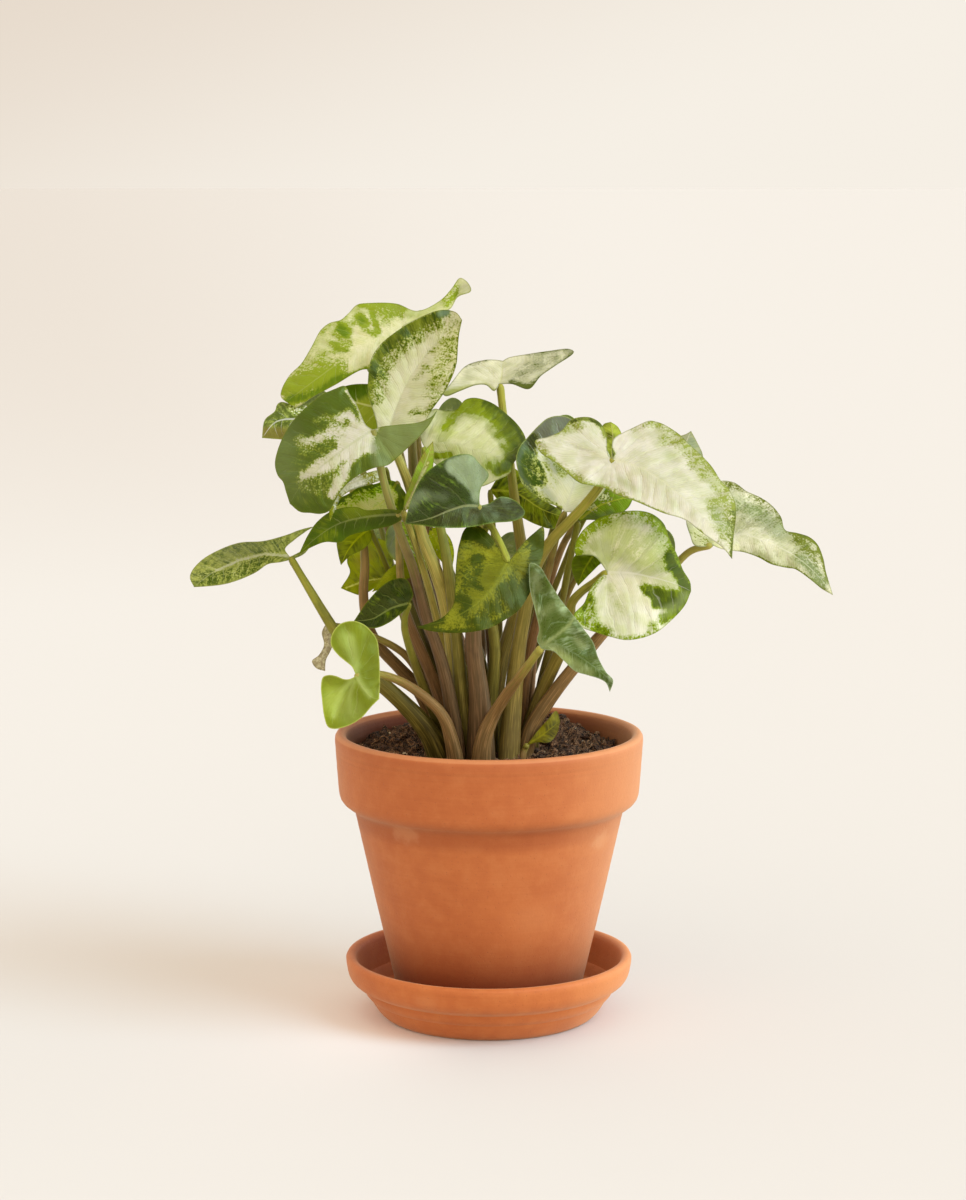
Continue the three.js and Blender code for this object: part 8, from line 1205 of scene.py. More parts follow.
        'strokes': [('q', 0.45, 2.92, 2.44, [[-67.7, -17.5], [-64.8, -24.3]]), ('l', 0.15, 3.9, 2.92, [[-67.2, -19.5], [-60.9, -15.6]]), ('q', 0.4, 5.84, 3.9, [[-72.1, -48.7], [-64.8, -54.5]]), ('l', 0.5, 5.84, 4.38, [[-74.5, -49.7], [-76.9, -55.5], [-73.5, -46.8]]), ('l', -0.16, 2.92, 2.92, [[-55.5, -20.5], [-53.6, -29.2], [-55.5, -40.9]]), ('q', 0.85, 1.95, 1.95, [[-62.3, -32.1], [-63.3, -25.3], [-64.8, -18.5]]), ('q', 0.9, 1.17, 1.22, [[-62.3, -33.1], [-59.9, -39.9], [-55, -46.8]]), ('q', 0.75, 1.22, 1.22, [[-63.8, -39], [-68.7, -44.8], [-71.6, -51.6], [-72.6, -56.5]]), ('q', 0.7, 0.97, 1.07, [[-62.8, -39.9], [-64.8, -46.8], [-64.8, -54.5]])],
        'rough': 0.38,
        'coat': 0.0,
        'vein': 0.28,
        'vcol': (170, 176, 108),
        'vsp': 7,
        'under': None,
        'rib': 0.25,
        'rimc': (176, 180, 92),
    },
    'leaf_left_folded': {
        'cream': (203, 214, 192),
        'lime': (117, 138, 0),
        'dark': (21, 38, 0),
        'tint': (58, 83, 38),
        'g0': 1,
        'd0': 0.85,
        's0': 0.3,
        'q0': 0.0,
        'strokes': [('l', 0.25, 0.97, 0.97, [[-37, -1.9], [-44.3, -4.9], [-52.1, -8.8]])],
        'rough': 0.3,
        'coat': 0.05,
        'vein': 0.2,
        'vcol': (196, 206, 112),
        'vsp': 6.5,
        'under': None,
        'rib': 0.2,
    },
    'leaf_left_olive': {
        'cream': (247, 247, 143),
        'lime': (150, 159, 2),
        'dark': (20, 35, 0),
        'tint': (146, 131, 40),
        'g0': 0.9,
        'd0': 0.3,
        's0': 0.3,
        'q0': 0.0,
        'strokes': [('q', 0.7, 2.92, 2.92, [[-59.9, 18.5], [-56, 21.4]]), ('g', 0.2, 0.44, 0.44, [[-48.2, 10.7], [-57, 9.3], [-67.2, 5.8]]), ('l', 0.25, 4.38, 3.9, [[-61.8, 21.4], [-58, 16.6]]), ('l', 0.35, 4.38, 3.9, [[-61.8, 21.4], [-58, 16.6]])],
        'rough': 0.38,
        'coat': 0.0,
        'vein': 0.25,
        'vcol': (200, 197, 27),
        'vsp': 6.5,
        'under': None,
        'rib': 0.25,
    },
    'leaf_left_olive_small': {
        'cream': (247, 247, 114),
        'lime': (128, 141, 0),
        'dark': (66, 78, 0),
        'tint': (119, 117, 38),
        'g0': 1,
        'd0': 0.5,
        's0': 0.3,
        'q0': 0.0,
        'strokes': [],
        'rough': 0.38,
        'coat': 0.0,
        'vein': 0.25,
        'vcol': (233, 238, 6),
        'vsp': 6.5,
        'under': None,
        'rib': 0.25,
    },
    'leaf_left_level': {
        'cream': (247, 247, 247),
        'lime': (100, 115, 4),
        'dark': (52, 77, 0),
        'tint': (81, 100, 47),
        'g0': 1,
        'd0': 0.65,
        's0': 0.3,
        'q0': 0.0,
        'strokes': [('d', 0.15, 2.92, 2.44, [[-64.8, 42.9], [-52.6, 43.3]]), ('d', 1, 2.92, 1.95, [[-67.2, 34.1], [-54.1, 36], [-44.3, 39]]), ('l', -0.35, 4.87, 3.9, [[-57, 40.9], [-48.2, 41.9], [-43.3, 41.9]]), ('l', -0.28, 3.9, 3.41, [[-66.7, 38], [-61.8, 39.9]]), ('l', -0.5, 4.38, 3.41, [[-55, 40.4], [-48.2, 41.4], [-43.3, 41.9]]), ('l', -0.35, 4.38, 3.41, [[-66.7, 38], [-60.9, 39.9]])],
        'rough': 0.32,
        'coat': 0.05,
        'vein': 0.3,
        'vcol': (176, 176, 112),
        'vsp': 6.5,
        'under': None,
        'rib': 0.18,
    },
    'leaf_left_mottled': {
        'cream': (192, 184, 114),
        'lime': (139, 166, 0),
        'dark': (56, 78, 0),
        'tint': (127, 139, 88),
        'g0': 0.1,
        'd0': 0.75,
        's0': 0.9,
        'q0': 0.0,
        'strokes': [('g', 1, 2.92, 1.46, [[-70.6, 48.7], [-64.8, 52.6], [-57, 55.5], [-47.2, 58]]), ('g', 0.6, 2.44, 1.95, [[-64.8, 48.2], [-56, 51.6], [-48.2, 53.6]]), ('g', 1, 2.92, 1.22, [[-41.9, 56.5], [-39, 51.6], [-39.9, 44.8]]), ('g', 0.2, 1.46, 0.97, [[-46.3, 50.2], [-52.1, 45.3]])],
        'rough': 0.38,
        'coat': 0.0,
        'vein': 0.25,
        'vcol': (187, 184, 17),
        'vsp': 6.5,
        'under': None,
        'rib': 0.25,
    },
    'leaf_left_curled': {
        'cream': (247, 247, 235),
        'lime': (134, 135, 18),
        'dark': (1, 1, 0),
        'tint': (162, 168, 112),
        'g0': 0.5,
        'd0': 0.3,
        's0': 0.5,
        'q0': 0.0,
        'strokes': [('g', 0.9, 0.97, 0.73, [[-74, 48.7], [-74.5, 39.9]]), ('g', 0.15, 1.95, 1.46, [[-67.2, 54.5], [-59.9, 57.5]])],
        'rough': 0.38,
        'coat': 0.0,
        'vein': 0.25,
        'vcol': (181, 175, 60),
        'vsp': 6.5,
        'under': None,
        'rib': 0.25,
    },
    'leaf_furled_young': {
        'cream': (209, 215, 146),
        'lime': (126, 114, 43),
        'dark': (122, 153, 21),
        'tint': (145, 160, 88),
        'g0': 0.85,
        'd0': 0.45,
        's0': 0.4,
        'q0': 0.0,
        'strokes': [('g', 0.3, 0.73, 0.73, [[-38, 43.8], [-33.1, 53.6], [-26.8, 67.2]]), ('d', 0.9, 1.95, 1.46, [[-36, 45.8], [-30.7, 54.5], [-25.8, 65.3]]), ('l', -0.15, 2.92, 2.44, [[-32.6, 55.5], [-30.7, 61.4]])],
        'rough': 0.38,
        'coat': 0.0,
        'vein': 0.2,
        'vcol': (195, 180, 133),
        'vsp': 6.5,
        'under': None,
    },
    'leaf_left_pale': {
        'cream': (247, 247, 169),
        'lime': (137, 143, 2),
        'dark': (101, 119, 1),
        'tint': (145, 148, 63),
        'g0': 0.9,
        'd0': 0.4,
        's0': 0.3,
        'q0': 0.0,
        'strokes': [],
        'rough': 0.38,
        'coat': 0.0,
        'vein': 0.25,
        'vcol': (173, 168, 16),
        'vsp': 6.5,
        'under': None,
        'rib': 0.25,
    },
    'leaf_centre_grey': {
        'cream': (247, 247, 247),
        'lime': (180, 206, 56),
        'dark': (84, 104, 2),
        'tint': (133, 143, 117),
        'g0': 0.9,
        'd0': 0.5,
        's0': 0.5,
        'q0': 0.0,
        'strokes': [('q', 0.95, 2.44, 1.46, [[-43.8, 36], [-44.8, 26.8], [-41.4, 20.5]]), ('d', 0.9, 2.92, 2.44, [[-33.1, 31.7], [-30.7, 24.3]])],
        'rough': 0.38,
        'coat': 0.0,
        'vein': 0.25,
        'vcol': (247, 247, 247),
        'vsp': 6.5,
        'under': None,
        'rib': 0.25,
    },
    'leaf_centre_small': {
        'cream': (247, 247, 247),
        'lime': (175, 189, 22),
        'dark': (36, 32, 5),
        'tint': (150, 165, 63),
        'g0': 0.8,
        'd0': 0.3,
        's0': 0.6,
        'q0': 0.0,
        'strokes': [],
        'rough': 0.38,
        'coat': 0.0,
        'vein': 0.25,
        'vcol': (228, 214, 73),
        'vsp': 6.5,
        'under': None,
        'rib': 0.25,
    },
    'leaf_centre_olive': {
        'cream': (247, 247, 143),
        'lime': (170, 181, 17),
        'dark': (31, 43, 0),
        'tint': (119, 117, 47),
        'g0': 1,
        'd0': 0.5,
        's0': 0.3,
        'q0': 0.0,
        'strokes': [('l', -0.42, 34.09, 4.87, [[8.3, 53.6], [27.8, 46.3]])],
        'rough': 0.38,
        'coat': 0.0,
        'vein': 0.25,
        'vcol': (246, 237, 65),
        'vsp': 6.5,
        'under': None,
        'rib': 0.25,
    },
    'leaf_basal_young': {
        'cream': (232, 219, 191),
        'lime': (118, 108, 0),
        'dark': (23, 10, 0),
        'tint': (127, 109, 76),
        'g0': 0.95,
        'd0': 0.45,
        's0': 0.3,
        'q0': 0.0,
        'strokes': [],
        'rough': 0.38,
        'coat': 0.0,
        'vein': 0.35,
        'vcol': (148, 140, 10),
        'vsp': 6.5,
        'under': None,
    },
    'leaf_right_dark_small': {
        'cream': (235, 243, 105),
        'lime': (139, 168, 3),
        'dark': (78, 96, 0),
        'tint': (81, 92, 30),
        'g0': 1,
        'd0': 0.7,
        's0': 0.3,
        'q0': 0.0,
        'strokes': [],
        'rough': 0.38,
        'coat': 0.0,
        'vein': 0.25,
        'vcol': (205, 212, 23),
        'vsp': 6.5,
        'under': None,
        'rib': 0.25,
    },
    'leaf_right_notch': {
        'cream': (247, 247, 199),
        'lime': (165, 175, 61),
        'dark': (58, 69, 0),
        'tint': (110, 126, 71),
        'g0': 0.95,
        'd0': 0.5,
        's0': 0.4,
        'q0': 0.0,
        'strokes': [],
        'rough': 0.38,
        'coat': 0.0,
        'vein': 0.25,
        'vcol': (247, 225, 163),
        'vsp': 6.5,
        'under': None,
        'rib': 0.25,
    },
    'leaf_back_1': {
        'cream': (199, 201, 158),
        'lime': (137, 158, 42),
        'dark': (55, 83, 6),
        'tint': (110, 133, 81),
        'g0': 0.75,
        'd0': 0.6,
        's0': 0.9,
        'q0': 0.0,
        'strokes': [],
        'rough': 0.34,
        'coat': 0.1,
        'vein': 0.35,
        'vcol': (193, 196, 136),
        'vsp': 6.5,
        'under': None,
    },
    'leaf_back_2': {
        'cream': (199, 201, 158),
        'lime': (137, 158, 42),
        'dark': (55, 83, 6),
        'tint': (110, 133, 81),
        'g0': 0.4,
        'd0': 0.5,
        's0': 0.9,
        'q0': 0.0,
        'strokes': [],
        'rough': 0.34,
        'coat': 0.1,
        'vein': 0.35,
        'vcol': (193, 196, 136),
        'vsp': 6.5,
        'under': None,
    },
    'leaf_back_3': {
        'cream': (199, 201, 158),
        'lime': (137, 158, 42),
        'dark': (55, 83, 6),
        'tint': (110, 133, 81),
        'g0': 0.55,
        'd0': 0.6,
        's0': 0.9,
        'q0': 0.0,
        'strokes': [],
        'rough': 0.34,
        'coat': 0.1,
        'vein': 0.35,
        'vcol': (193, 196, 136),
        'vsp': 6.5,
        'under': None,
    },
    'leaf_back_4': {
        'cream': (199, 201, 158),
        'lime': (137, 158, 42),
        'dark': (55, 83, 6),
        'tint': (110, 133, 81),
        'g0': 0.8,
        'd0': 0.7,
        's0': 0.9,
        'q0': 0.0,
        'strokes': [],
        'rough': 0.34,
        'coat': 0.1,
        'vein': 0.35,
        'vcol': (193, 196, 136),
        'vsp': 6.5,
        'under': None,
    },
    'leaf_back_5': {
        'cream': (199, 201, 158),
        'lime': (137, 158, 42),
        'dark': (55, 83, 6),
        'tint': (110, 133, 81),
        'g0': 0.35,
        'd0': 0.5,
        's0': 0.9,
        'q0': 0.0,
        'strokes': [],
        'rough': 0.34,
        'coat': 0.1,
        'vein': 0.35,
        'vcol': (193, 196, 136),
        'vsp': 6.5,
        'under': None,
    },
    'leaf_back_6': {
        'cream': (199, 201, 158),
        'lime': (137, 158, 42),
        'dark': (55, 83, 6),
        'tint': (110, 133, 81),
        'g0': 0.6,
        'd0': 0.55,
        's0': 0.9,
        'q0': 0.0,
        'strokes': [],
        'rough': 0.34,
        'coat': 0.1,
        'vein': 0.35,
        'vcol': (193, 196, 136),
        'vsp': 6.5,
        'under': None,
    },
    'leaf_back_7': {
        'cream': (199, 201, 158),
        'lime': (137, 158, 42),
        'dark': (55, 83, 6),
        'tint': (110, 133, 81),
        'g0': 0.8,
        'd0': 0.6,
        's0': 0.9,
        'q0': 0.0,
        'strokes': [],
        'rough': 0.34,
        'coat': 0.1,
        'vein': 0.35,
        'vcol': (193, 196, 136),
        'vsp': 6.5,
        'under': None,
    },
    'leaf_back_8': {
        'cream': (199, 201, 158),
        'lime': (137, 158, 42),
        'dark': (55, 83, 6),
        'tint': (110, 133, 81),
        'g0': 0.5,
        'd0': 0.6,
        's0': 0.9,
        'q0': 0.0,
        'strokes': [],
        'rough': 0.34,
        'coat': 0.1,
        'vein': 0.35,
        'vcol': (193, 196, 136),
        'vsp': 6.5,
        'under': None,
    },
    'leaf_spent': {
        'cream': (209, 203, 170),
        'lime': (160, 148, 117),
        'dark': (111, 99, 75),
        'tint': (103, 88, 66),
        'g0': 0.6,
        'd0': 0.6,
        's0': 0.6,
        'q0': 0.0,
        'strokes': [],
        'rough': 0.38,
        'coat': 0.0,
        'vein': 0.35,
        'vcol': (209, 203, 170),
        'vsp': 6.5,
        'under': (150, 132, 106),
    },
}


def leaf_mesh(L, K, seed):
    rng = np.random.default_rng(seed)
    h = L.get("grain", GRAIN)
    A, B, M = catmull(L["a"], 0.85), catmull(L["b"], 0.85), catmull(L["m"], 0.6)
    ring = np.vstack([A, B[::-1][1:-1]])
    back = L["kind"] == "back"
    lo, hi = ring.min(0), ring.max(0)
    gx, gz = np.meshgrid(np.arange(lo[0], hi[0], h), np.arange(lo[1], hi[1], h * 0.866))
    gx = gx + (np.arange(gx.shape[0]) % 2)[:, None] * h / 2
    g = np.stack([gx.ravel(), gz.ravel()], -1) + rng.uniform(-.08, .08, (gx.size, 2)) * h
    g = g[inside(ring, g)]
    g = g[to_curve(ring, g)[1] > 0.55 * h]
    g = g[to_curve(M, g)[1] > 1.5]
    rows = []
    T = np.gradient(M, axis=0)
    T /= np.linalg.norm(T, axis=1)[:, None] + 1e-12
    N = np.stack([T[:, 1], -T[:, 0]], -1)
    step = max(1, int(round(0.9 / 0.6)))
    for o in (0.0, 0.5, -0.5, 1.05, -1.05):
        r = (M + N * o)[step:-step:step]
        r = r[inside(ring, r)]
        if len(r):
            r = r[to_curve(ring, r)[1] > 0.5]
        if len(r) and o:
            r = r[to_curve(M, r)[1] > abs(o) * 0.9]
        if len(r):
            rows.append(r)
    q = np.vstack([ring] + rows + [g])
    nb = len(ring)
    res = delaunay_2d_cdt([Vector((float(x), float(y))) for x, y in q], [(i, (i + 1) % nb) for i in range(nb)], [], 1, 1e-5, False)
    v2 = np.array([(p[0], p[1]) for p in res[0]])
    f = np.array([t for t in res[2] if len(t) == 3], int)
    # counter-clockwise in the sheet, so that the front side faces the viewer
    e1, e2 = v2[f[:, 1]] - v2[f[:, 0]], v2[f[:, 2]] - v2[f[:, 0]]
    cr = e1[:, 0] * e2[:, 1] - e1[:, 1] * e2[:, 0]
    f[cr < 0] = f[cr < 0][:, ::-1]
    f = f[np.abs(cr) > 1e-7]
    f = f[inside(ring, v2[f].mean(1))]

    # leaf coordinates
    k, dist = to_curve(M, v2)
    s_len = np.r_[0, np.cumsum(np.linalg.norm(np.diff(M, axis=0), axis=1))]
    tau = k / (len(M) - 1.0)
    k2 = np.clip(k, 0, len(M) - 2)
    tt = M[k2 + 1] - M[k2]
    tt /= np.linalg.norm(tt, axis=1)[:, None]
    dd = v2 - M[k]
    lam = np.sign(dd[:, 0] * tt[:, 1] - dd[:, 1] * tt[:, 0]) * dist
    lamr = to_curve(M, ring)[1]
    W = lamr.max() + 1e-6
    ek, edge = to_curve(ring, v2)
    # vein coordinate: along the midrib, falling off sideways, and turning round the junction in the lobes
    mlen = s_len[-1]
    ALPHA = math.radians(52)
    rel = v2 - M[0]
    head = M[min(len(M) - 1, 14)] - M[0]
    head /= np.linalg.norm(head)
    ang = np.arctan2(np.abs(rel[:, 0] * head[1] - rel[:, 1] * head[0]), rel @ head)
    curve = 1 - 0.35 * np.clip(np.abs(lam) / W, 0, 1)
    vph = s_len[k] - np.abs(lam) / math.tan(ALPHA) * curve
    lobe = -(ang - ALPHA) * 0.55 * W
    rr = np.linalg.norm(rel, axis=1)
    vph = np.where((tau < 0.02) | (vph < 0), np.minimum(vph, lobe), vph)
    vph = vph + 0.6 * np.sin(s_len[k] * 0.23 + seed) + (lam > 0) * 2.7

    # depth
    y0, sx, sz = L["at"][:3]
    cx, cz = L["at"][3:]
    a = np.abs(lam)
    y = y0 + sx * (v2[:, 0] - cx) + sz * (v2[:, 1] - cz) + L["fold"] * a * (1 - 0.25 * a / W) - L["arch"] * (1 - (2 * tau - 1) ** 2)
    for dy, wd, sf, pts in L.get("push", ()):
        y = y + dy * (1 - smooth01(to_segments(pts, v2), max(wd - sf, 0), wd + sf))
    # margin waves and swelling between the veins
    bs = np.r_[0, np.cumsum(np.linalg.norm(np.diff(ring, axis=0), axis=1))]
    size = math.sqrt(max(1.0, 0.5 * abs((ring[:, 0] * np.roll(ring[:, 1], -1) - ring[:, 1] * np.roll(ring[:, 0], -1)).sum())))
    wav = L.get("wave", 0.85)
    ph = rng.uniform(0, 6.28, 3)
    w1 = np.sin(bs[ek] * 2 * np.pi / 21 + ph[0]) * 0.6 + np.sin(bs[ek] * 2 * np.pi / 11.5 + ph[1]) * 0.4
    off = wav * w1 * (1 - smooth01(edge, 0, 0.16 * size + 2)) * smooth01(a, 0, 6)
    sp = K["vsp"]
    t_v = np.abs((vph / sp) % 1.0 - 0.5) * 2       # 1 on a vein
    fade = smooth01(a, 0.8, 5) * smooth01(edge, 0.4, 3.5)
    quilt = -(t_v ** 5) * 0.42 * fade + 0.22 * (1 - t_v ** 2) * fade
    # slow swellings, drawn out along the side veins
    lump = L.get("lump", 1.0)
    side = (lam > 0) * 40.0
    bumps = 1.5 * (value_noise(vph / 9 + 60, a / 15 + side + 9, seed) - 0.5) + 0.6 * (value_noise(vph / 4.4 + 60, a / 8 + side + 9, seed + 5) - 0.5)
    off = off + lump * bumps * smooth01(a, 0.5, 7) * smooth01(edge, 0, 5)
    sgn = -1.0 if back else 1.0
    P = lay(v2, y + off)
    n = normals(P, f)
    if (n[:, 1].mean()) > 0:
        n = -n
    groove = -0.32 * np.exp(-(lam / 0.75) ** 2) * (1 - 0.75 * tau) * smooth01(edge, 0.1, 1.2)
    rib = (0.95 * (1 - tau) ** 0.8 + 0.12) * np.exp(-(lam / 0.8) ** 2) * smooth01(edge, 0.1, 1.6)
    th = L.get("thick", 0.42) * (0.55 + 0.45 * smooth01(edge, 0, 2.5))
    up_side = P + n * ((th / 2 + (quilt + groove) * sgn) if not back else (th / 2 + rib - quilt))[:, None]
    dn_side = P - n * ((th / 2 + rib - quilt) if not back else (th / 2 + (quilt + groove)))[:, None]
    nv = len(P)
    V = np.vstack([up_side, dn_side])
    E = np.sort(np.vstack([f[:, [0, 1]], f[:, [1, 2]], f[:, [2, 0]]]), 1)
    raw = np.vstack([f[:, [0, 1]], f[:, [1, 2]], f[:, [2, 0]]])
    key = E[:, 0].astype(np.int64) * (nv + 1) + E[:, 1]
    uq, inv, cnt = np.unique(key, return_inverse=True, return_counts=True)
    rim = raw[cnt[inv] == 1]
    # is the sheet's counter-clockwise side towards the viewer?
    fn = np.cross(up_side[f[:, 1]] - up_side[f[:, 0]], up_side[f[:, 2]] - up_side[f[:, 0]])
    flip = (fn * n[f[:, 0]]).sum(1).mean() < 0
    ft = f[:, ::-1] if flip else f
    fb = (f if flip else f[:, ::-1]) + nv
    r = rim if not flip else rim[:, ::-1]
    quads = [(int(b), int(a_), int(a_) + nv, int(b) + nv) for a_, b in r]
    faces = ft.tolist() + fb.tolist() + quads
    sharp = np.vstack([rim, rim + nv])

    # markings, and painted light and shade (field l)
    F_ = {"g": np.full(nv, K["g0"]), "d": np.full(nv, K["d0"]), "s": np.full(nv, K["s0"]), "q": np.full(nv, K["q0"]),
          "h": np.full(nv, K.get("h0", 0.12)), "l": np.zeros(nv)}
    if back or K.get("auto"):
        wob = 0.5 + 0.5 * np.sin(bs[ek] * 0.11 + ph[2])
        band = (2.5 + 6.5 * wob) * size / 45
        F_["g"] = np.maximum(F_["g"] * 0.8, 1 - smooth01(edge, band * 0.5, band * 1.5))
        F_["g"] *= 1 - 0.75 * np.exp(-(a / 2.2) ** 2)
    for kind, val, wd, sf, pts in K["strokes"]:
        d = to_segments(pts, v2)
        m = 1 - smooth01(d, max(wd - sf, 0.0), wd + sf)
        F_[kind] = F_[kind] + (val - F_[kind]) * m
    under_top = 1.0 if back else 0.0
    fa = np.stack([F_["g"], F_["d"], F_["s"]], -1)
    fb_ = np.stack([vph, lam, edge], -1)
    fc_t = np.stack([tau, np.full(nv, under_top), F_["q"]], -1)
    fc_b = np.stack([tau, np.full(nv, 1 - under_top), F_["q"]], -1)
    # haze, and painted light and shade (field l)
    fd = np.stack([F_["h"], F_["l"], np.zeros(nv)], -1)
    attrs = {"fa": np.vstack([fa, fa]), "fb": np.vstack([fb_, fb_]), "fc": np.vstack([fc_t, fc_b]), "fd": np.vstack([fd, fd])}
    return V, faces, attrs, sharp


def tube(C, R, sides=14, groove=None, wide=None):
    """A closed tube along C (mm) with radii R. groove: depth of the sheath's slit at each ring; wide: how much the
    sheath spreads round the clump."""
    C, R = np.asarray(C, float), np.asarray(R, float)
    n = len(C)
    T = np.gradient(C, axis=0)
    T /= np.linalg.norm(T, axis=1)[:, None] + 1e-12
    u = np.cross(T[0], [0.0, 1.0, 0.0])
    if np.linalg.norm(u) < 0.1:
        u = np.cross(T[0], [1.0, 0, 0])
    u /= np.linalg.norm(u)
    V, cs = [], []
    ph = np.linspace(0, 2 * np.pi, sides, endpoint=False)
    for i in range(n):
        u = u - T[i] * (u @ T[i])
        u /= np.linalg.norm(u)
        w = np.cross(T[i], u)
        r = np.full(sides, R[i])
        if groove is not None and groove[i] > 0:
            # the slit faces the clump's middle
            inw = -C[i] * [1, 1, 0]
            ga = math.atan2(inw @ w, inw @ u)
            da = (ph - ga + np.pi) % (2 * np.pi) - np.pi
            r = r * (1 - groove[i] * np.exp(-(da / 0.42) ** 2) + 0.25 * groove[i] * np.exp(-((np.abs(da) - 0.75) / 0.3) ** 2))
            if wide is not None:
                r = r * (1 + wide[i] * np.sin(da) ** 2)
        V.append(C[i] + np.outer(np.cos(ph) * r, u) + np.outer(np.sin(ph) * r, w))
        cs.append(np.stack([np.cos(ph), np.sin(ph)], -1))
    V = np.vstack(V + [C[:1], C[-1:]])
    faces = []
    for i in range(n - 1):
        for j in range(sides):
            k = (j + 1) % sides
            faces.append((i * sides + j, i * sides + k, (i + 1) * sides + k, (i + 1) * sides + j))
    a, b = n * sides, n * sides + 1
    for j in range(sides):
        k = (j + 1) % sides
        faces.append((a, k, j))
        faces.append((b, (n - 1) * sides + j, (n - 1) * sides + k))
    # outward?
    f0 = np.array(faces[0])
    nn = np.cross(V[f0[1]] - V[f0[0]], V[f0[2]] - V[f0[0]])
    if nn @ (V[f0].mean(0) - C[:2].mean(0)) < 0:
        faces = [t[::-1] for t in faces]
    s = np.r_[0, np.cumsum(np.linalg.norm(np.diff(C, axis=0), axis=1))]
    t = np.repeat(s / s[-1], sides)
    sl = np.repeat(s, sides)
    cc = np.vstack(cs)
    pa = np.vstack([np.stack([t, sl, np.repeat(R, sides)], -1), [[0, 0, R[0]]], [[1, s[-1], R[-1]]]])
    pb = np.vstack([np.c_[cc, np.zeros(len(cc))], [[0, 0, 0]], [[0, 0, 0]]])
    return V, faces, pa, pb


# ------------------------------------------------------------------ node helper
class Nodes:
    def __init__(self, name):
        self.mat = bpy.data.materials.new(name)
        self.mat.use_nodes = True
        self.nt = self.mat.node_tree
        self.nt.nodes.clear()
        self.out = self.nt.nodes.new("ShaderNodeOutputMaterial")
        self.bsdf = self.nt.nodes.new("ShaderNodeBsdfPrincipled")
        self.nt.links.new(self.bsdf.outputs[0], self.out.inputs["Surface"])

    def put(self, sock, v):
        if v is None:
            return
        if isinstance(v, bpy.types.NodeSocket):
            self.nt.links.new(v, sock)
        else:
            sock.default_value = v

    def attr(self, name):
        n = self.nt.nodes.new("ShaderNodeAttribute")
        n.attribute_name = name
        s = self.nt.nodes.new("ShaderNodeSeparateXYZ")
        self.nt.links.new(n.outputs["Vector"], s.inputs[0])
        return s.outputs[0], s.outputs[1], s.outputs[2]

    def m(self, op, a, b=None, c=None, clamp=False):
        n = self.nt.nodes.new("ShaderNodeMath")
        n.operation = op
        n.use_clamp = clamp
        self.put(n.inputs[0], a)
        self.put(n.inputs[1], b)
        self.put(n.inputs[2], c)
        return n.outputs[0]

    def ss(self, x, lo, hi, a=0.0, b=1.0):
        n = self.nt.nodes.new("ShaderNodeMapRange")
        n.interpolation_type = "SMOOTHSTEP"
        self.put(n.inputs["Value"], x)
        self.put(n.inputs["From Min"], lo)
        self.put(n.inputs["From Max"], hi)
        self.put(n.inputs["To Min"], a)
        self.put(n.inputs["To Max"], b)
        return n.outputs[0]

    def mix(self, f, a, b, blend="MIX"):
        n = self.nt.nodes.new("ShaderNodeMix")
        n.data_type = "RGBA"
        n.blend_type = blend
        self.put(n.inputs["Factor"], f)
        self.put(n.inputs["A"], a)
        self.put(n.inputs["B"], b)
        return n.outputs["Result"]

    def comb(self, x, y, z):
        n = self.nt.nodes.new("ShaderNodeCombineXYZ")
        self.put(n.inputs[0], x)
        self.put(n.inputs[1], y)
        self.put(n.inputs[2], z)
        return n.outputs[0]

    def mm(self, scale=(1000, 1000, 1000), shift=(0, 0, 0)):
        """The point on the piece, in millimetres times a stretch."""
        c = self.nt.nodes.new("ShaderNodeTexCoord")
        n = self.nt.nodes.new("ShaderNodeMapping")
        n.inputs["Scale"].default_value = scale
        n.inputs["Location"].default_value = shift
        self.nt.links.new(c.outputs["Object"], n.inputs["Vector"])
        return n.outputs[0]

    def noise(self, vec, scale, detail=2.0, rough=0.5, dist=0.0):
        n = self.nt.nodes.new("ShaderNodeTexNoise")
        self.put(n.inputs["Vector"], vec)
        n.inputs["Scale"].default_value = scale
        n.inputs["Detail"].default_value = detail
        n.inputs["Roughness"].default_value = rough
        n.inputs["Distortion"].default_value = dist
        return n.outputs["Fac"] if "Fac" in n.outputs else n.outputs[0]

    def voronoi(self, vec, scale, feature="F1", rand=1.0):
        n = self.nt.nodes.new("ShaderNodeTexVoronoi")
        n.feature = feature
        self.put(n.inputs["Vector"], vec)
        n.inputs["Scale"].default_value = scale
        n.inputs["Randomness"].default_value = rand
        return n.outputs["Distance"]

    def bump(self, height, dist_mm, strength=1.0, normal=None):
        n = self.nt.nodes.new("ShaderNodeBump")
        n.inputs["Strength"].default_value = strength
        n.inputs["Distance"].default_value = dist_mm / 1000
        self.put(n.inputs["Height"], height)
        if normal is not None:
            self.nt.links.new(normal, n.inputs["Normal"])
        return n.outputs[0]

    def set(self, **k):
        for name, v in k.items():
            self.put(self.bsdf.inputs[name.replace("_", " ")], v)


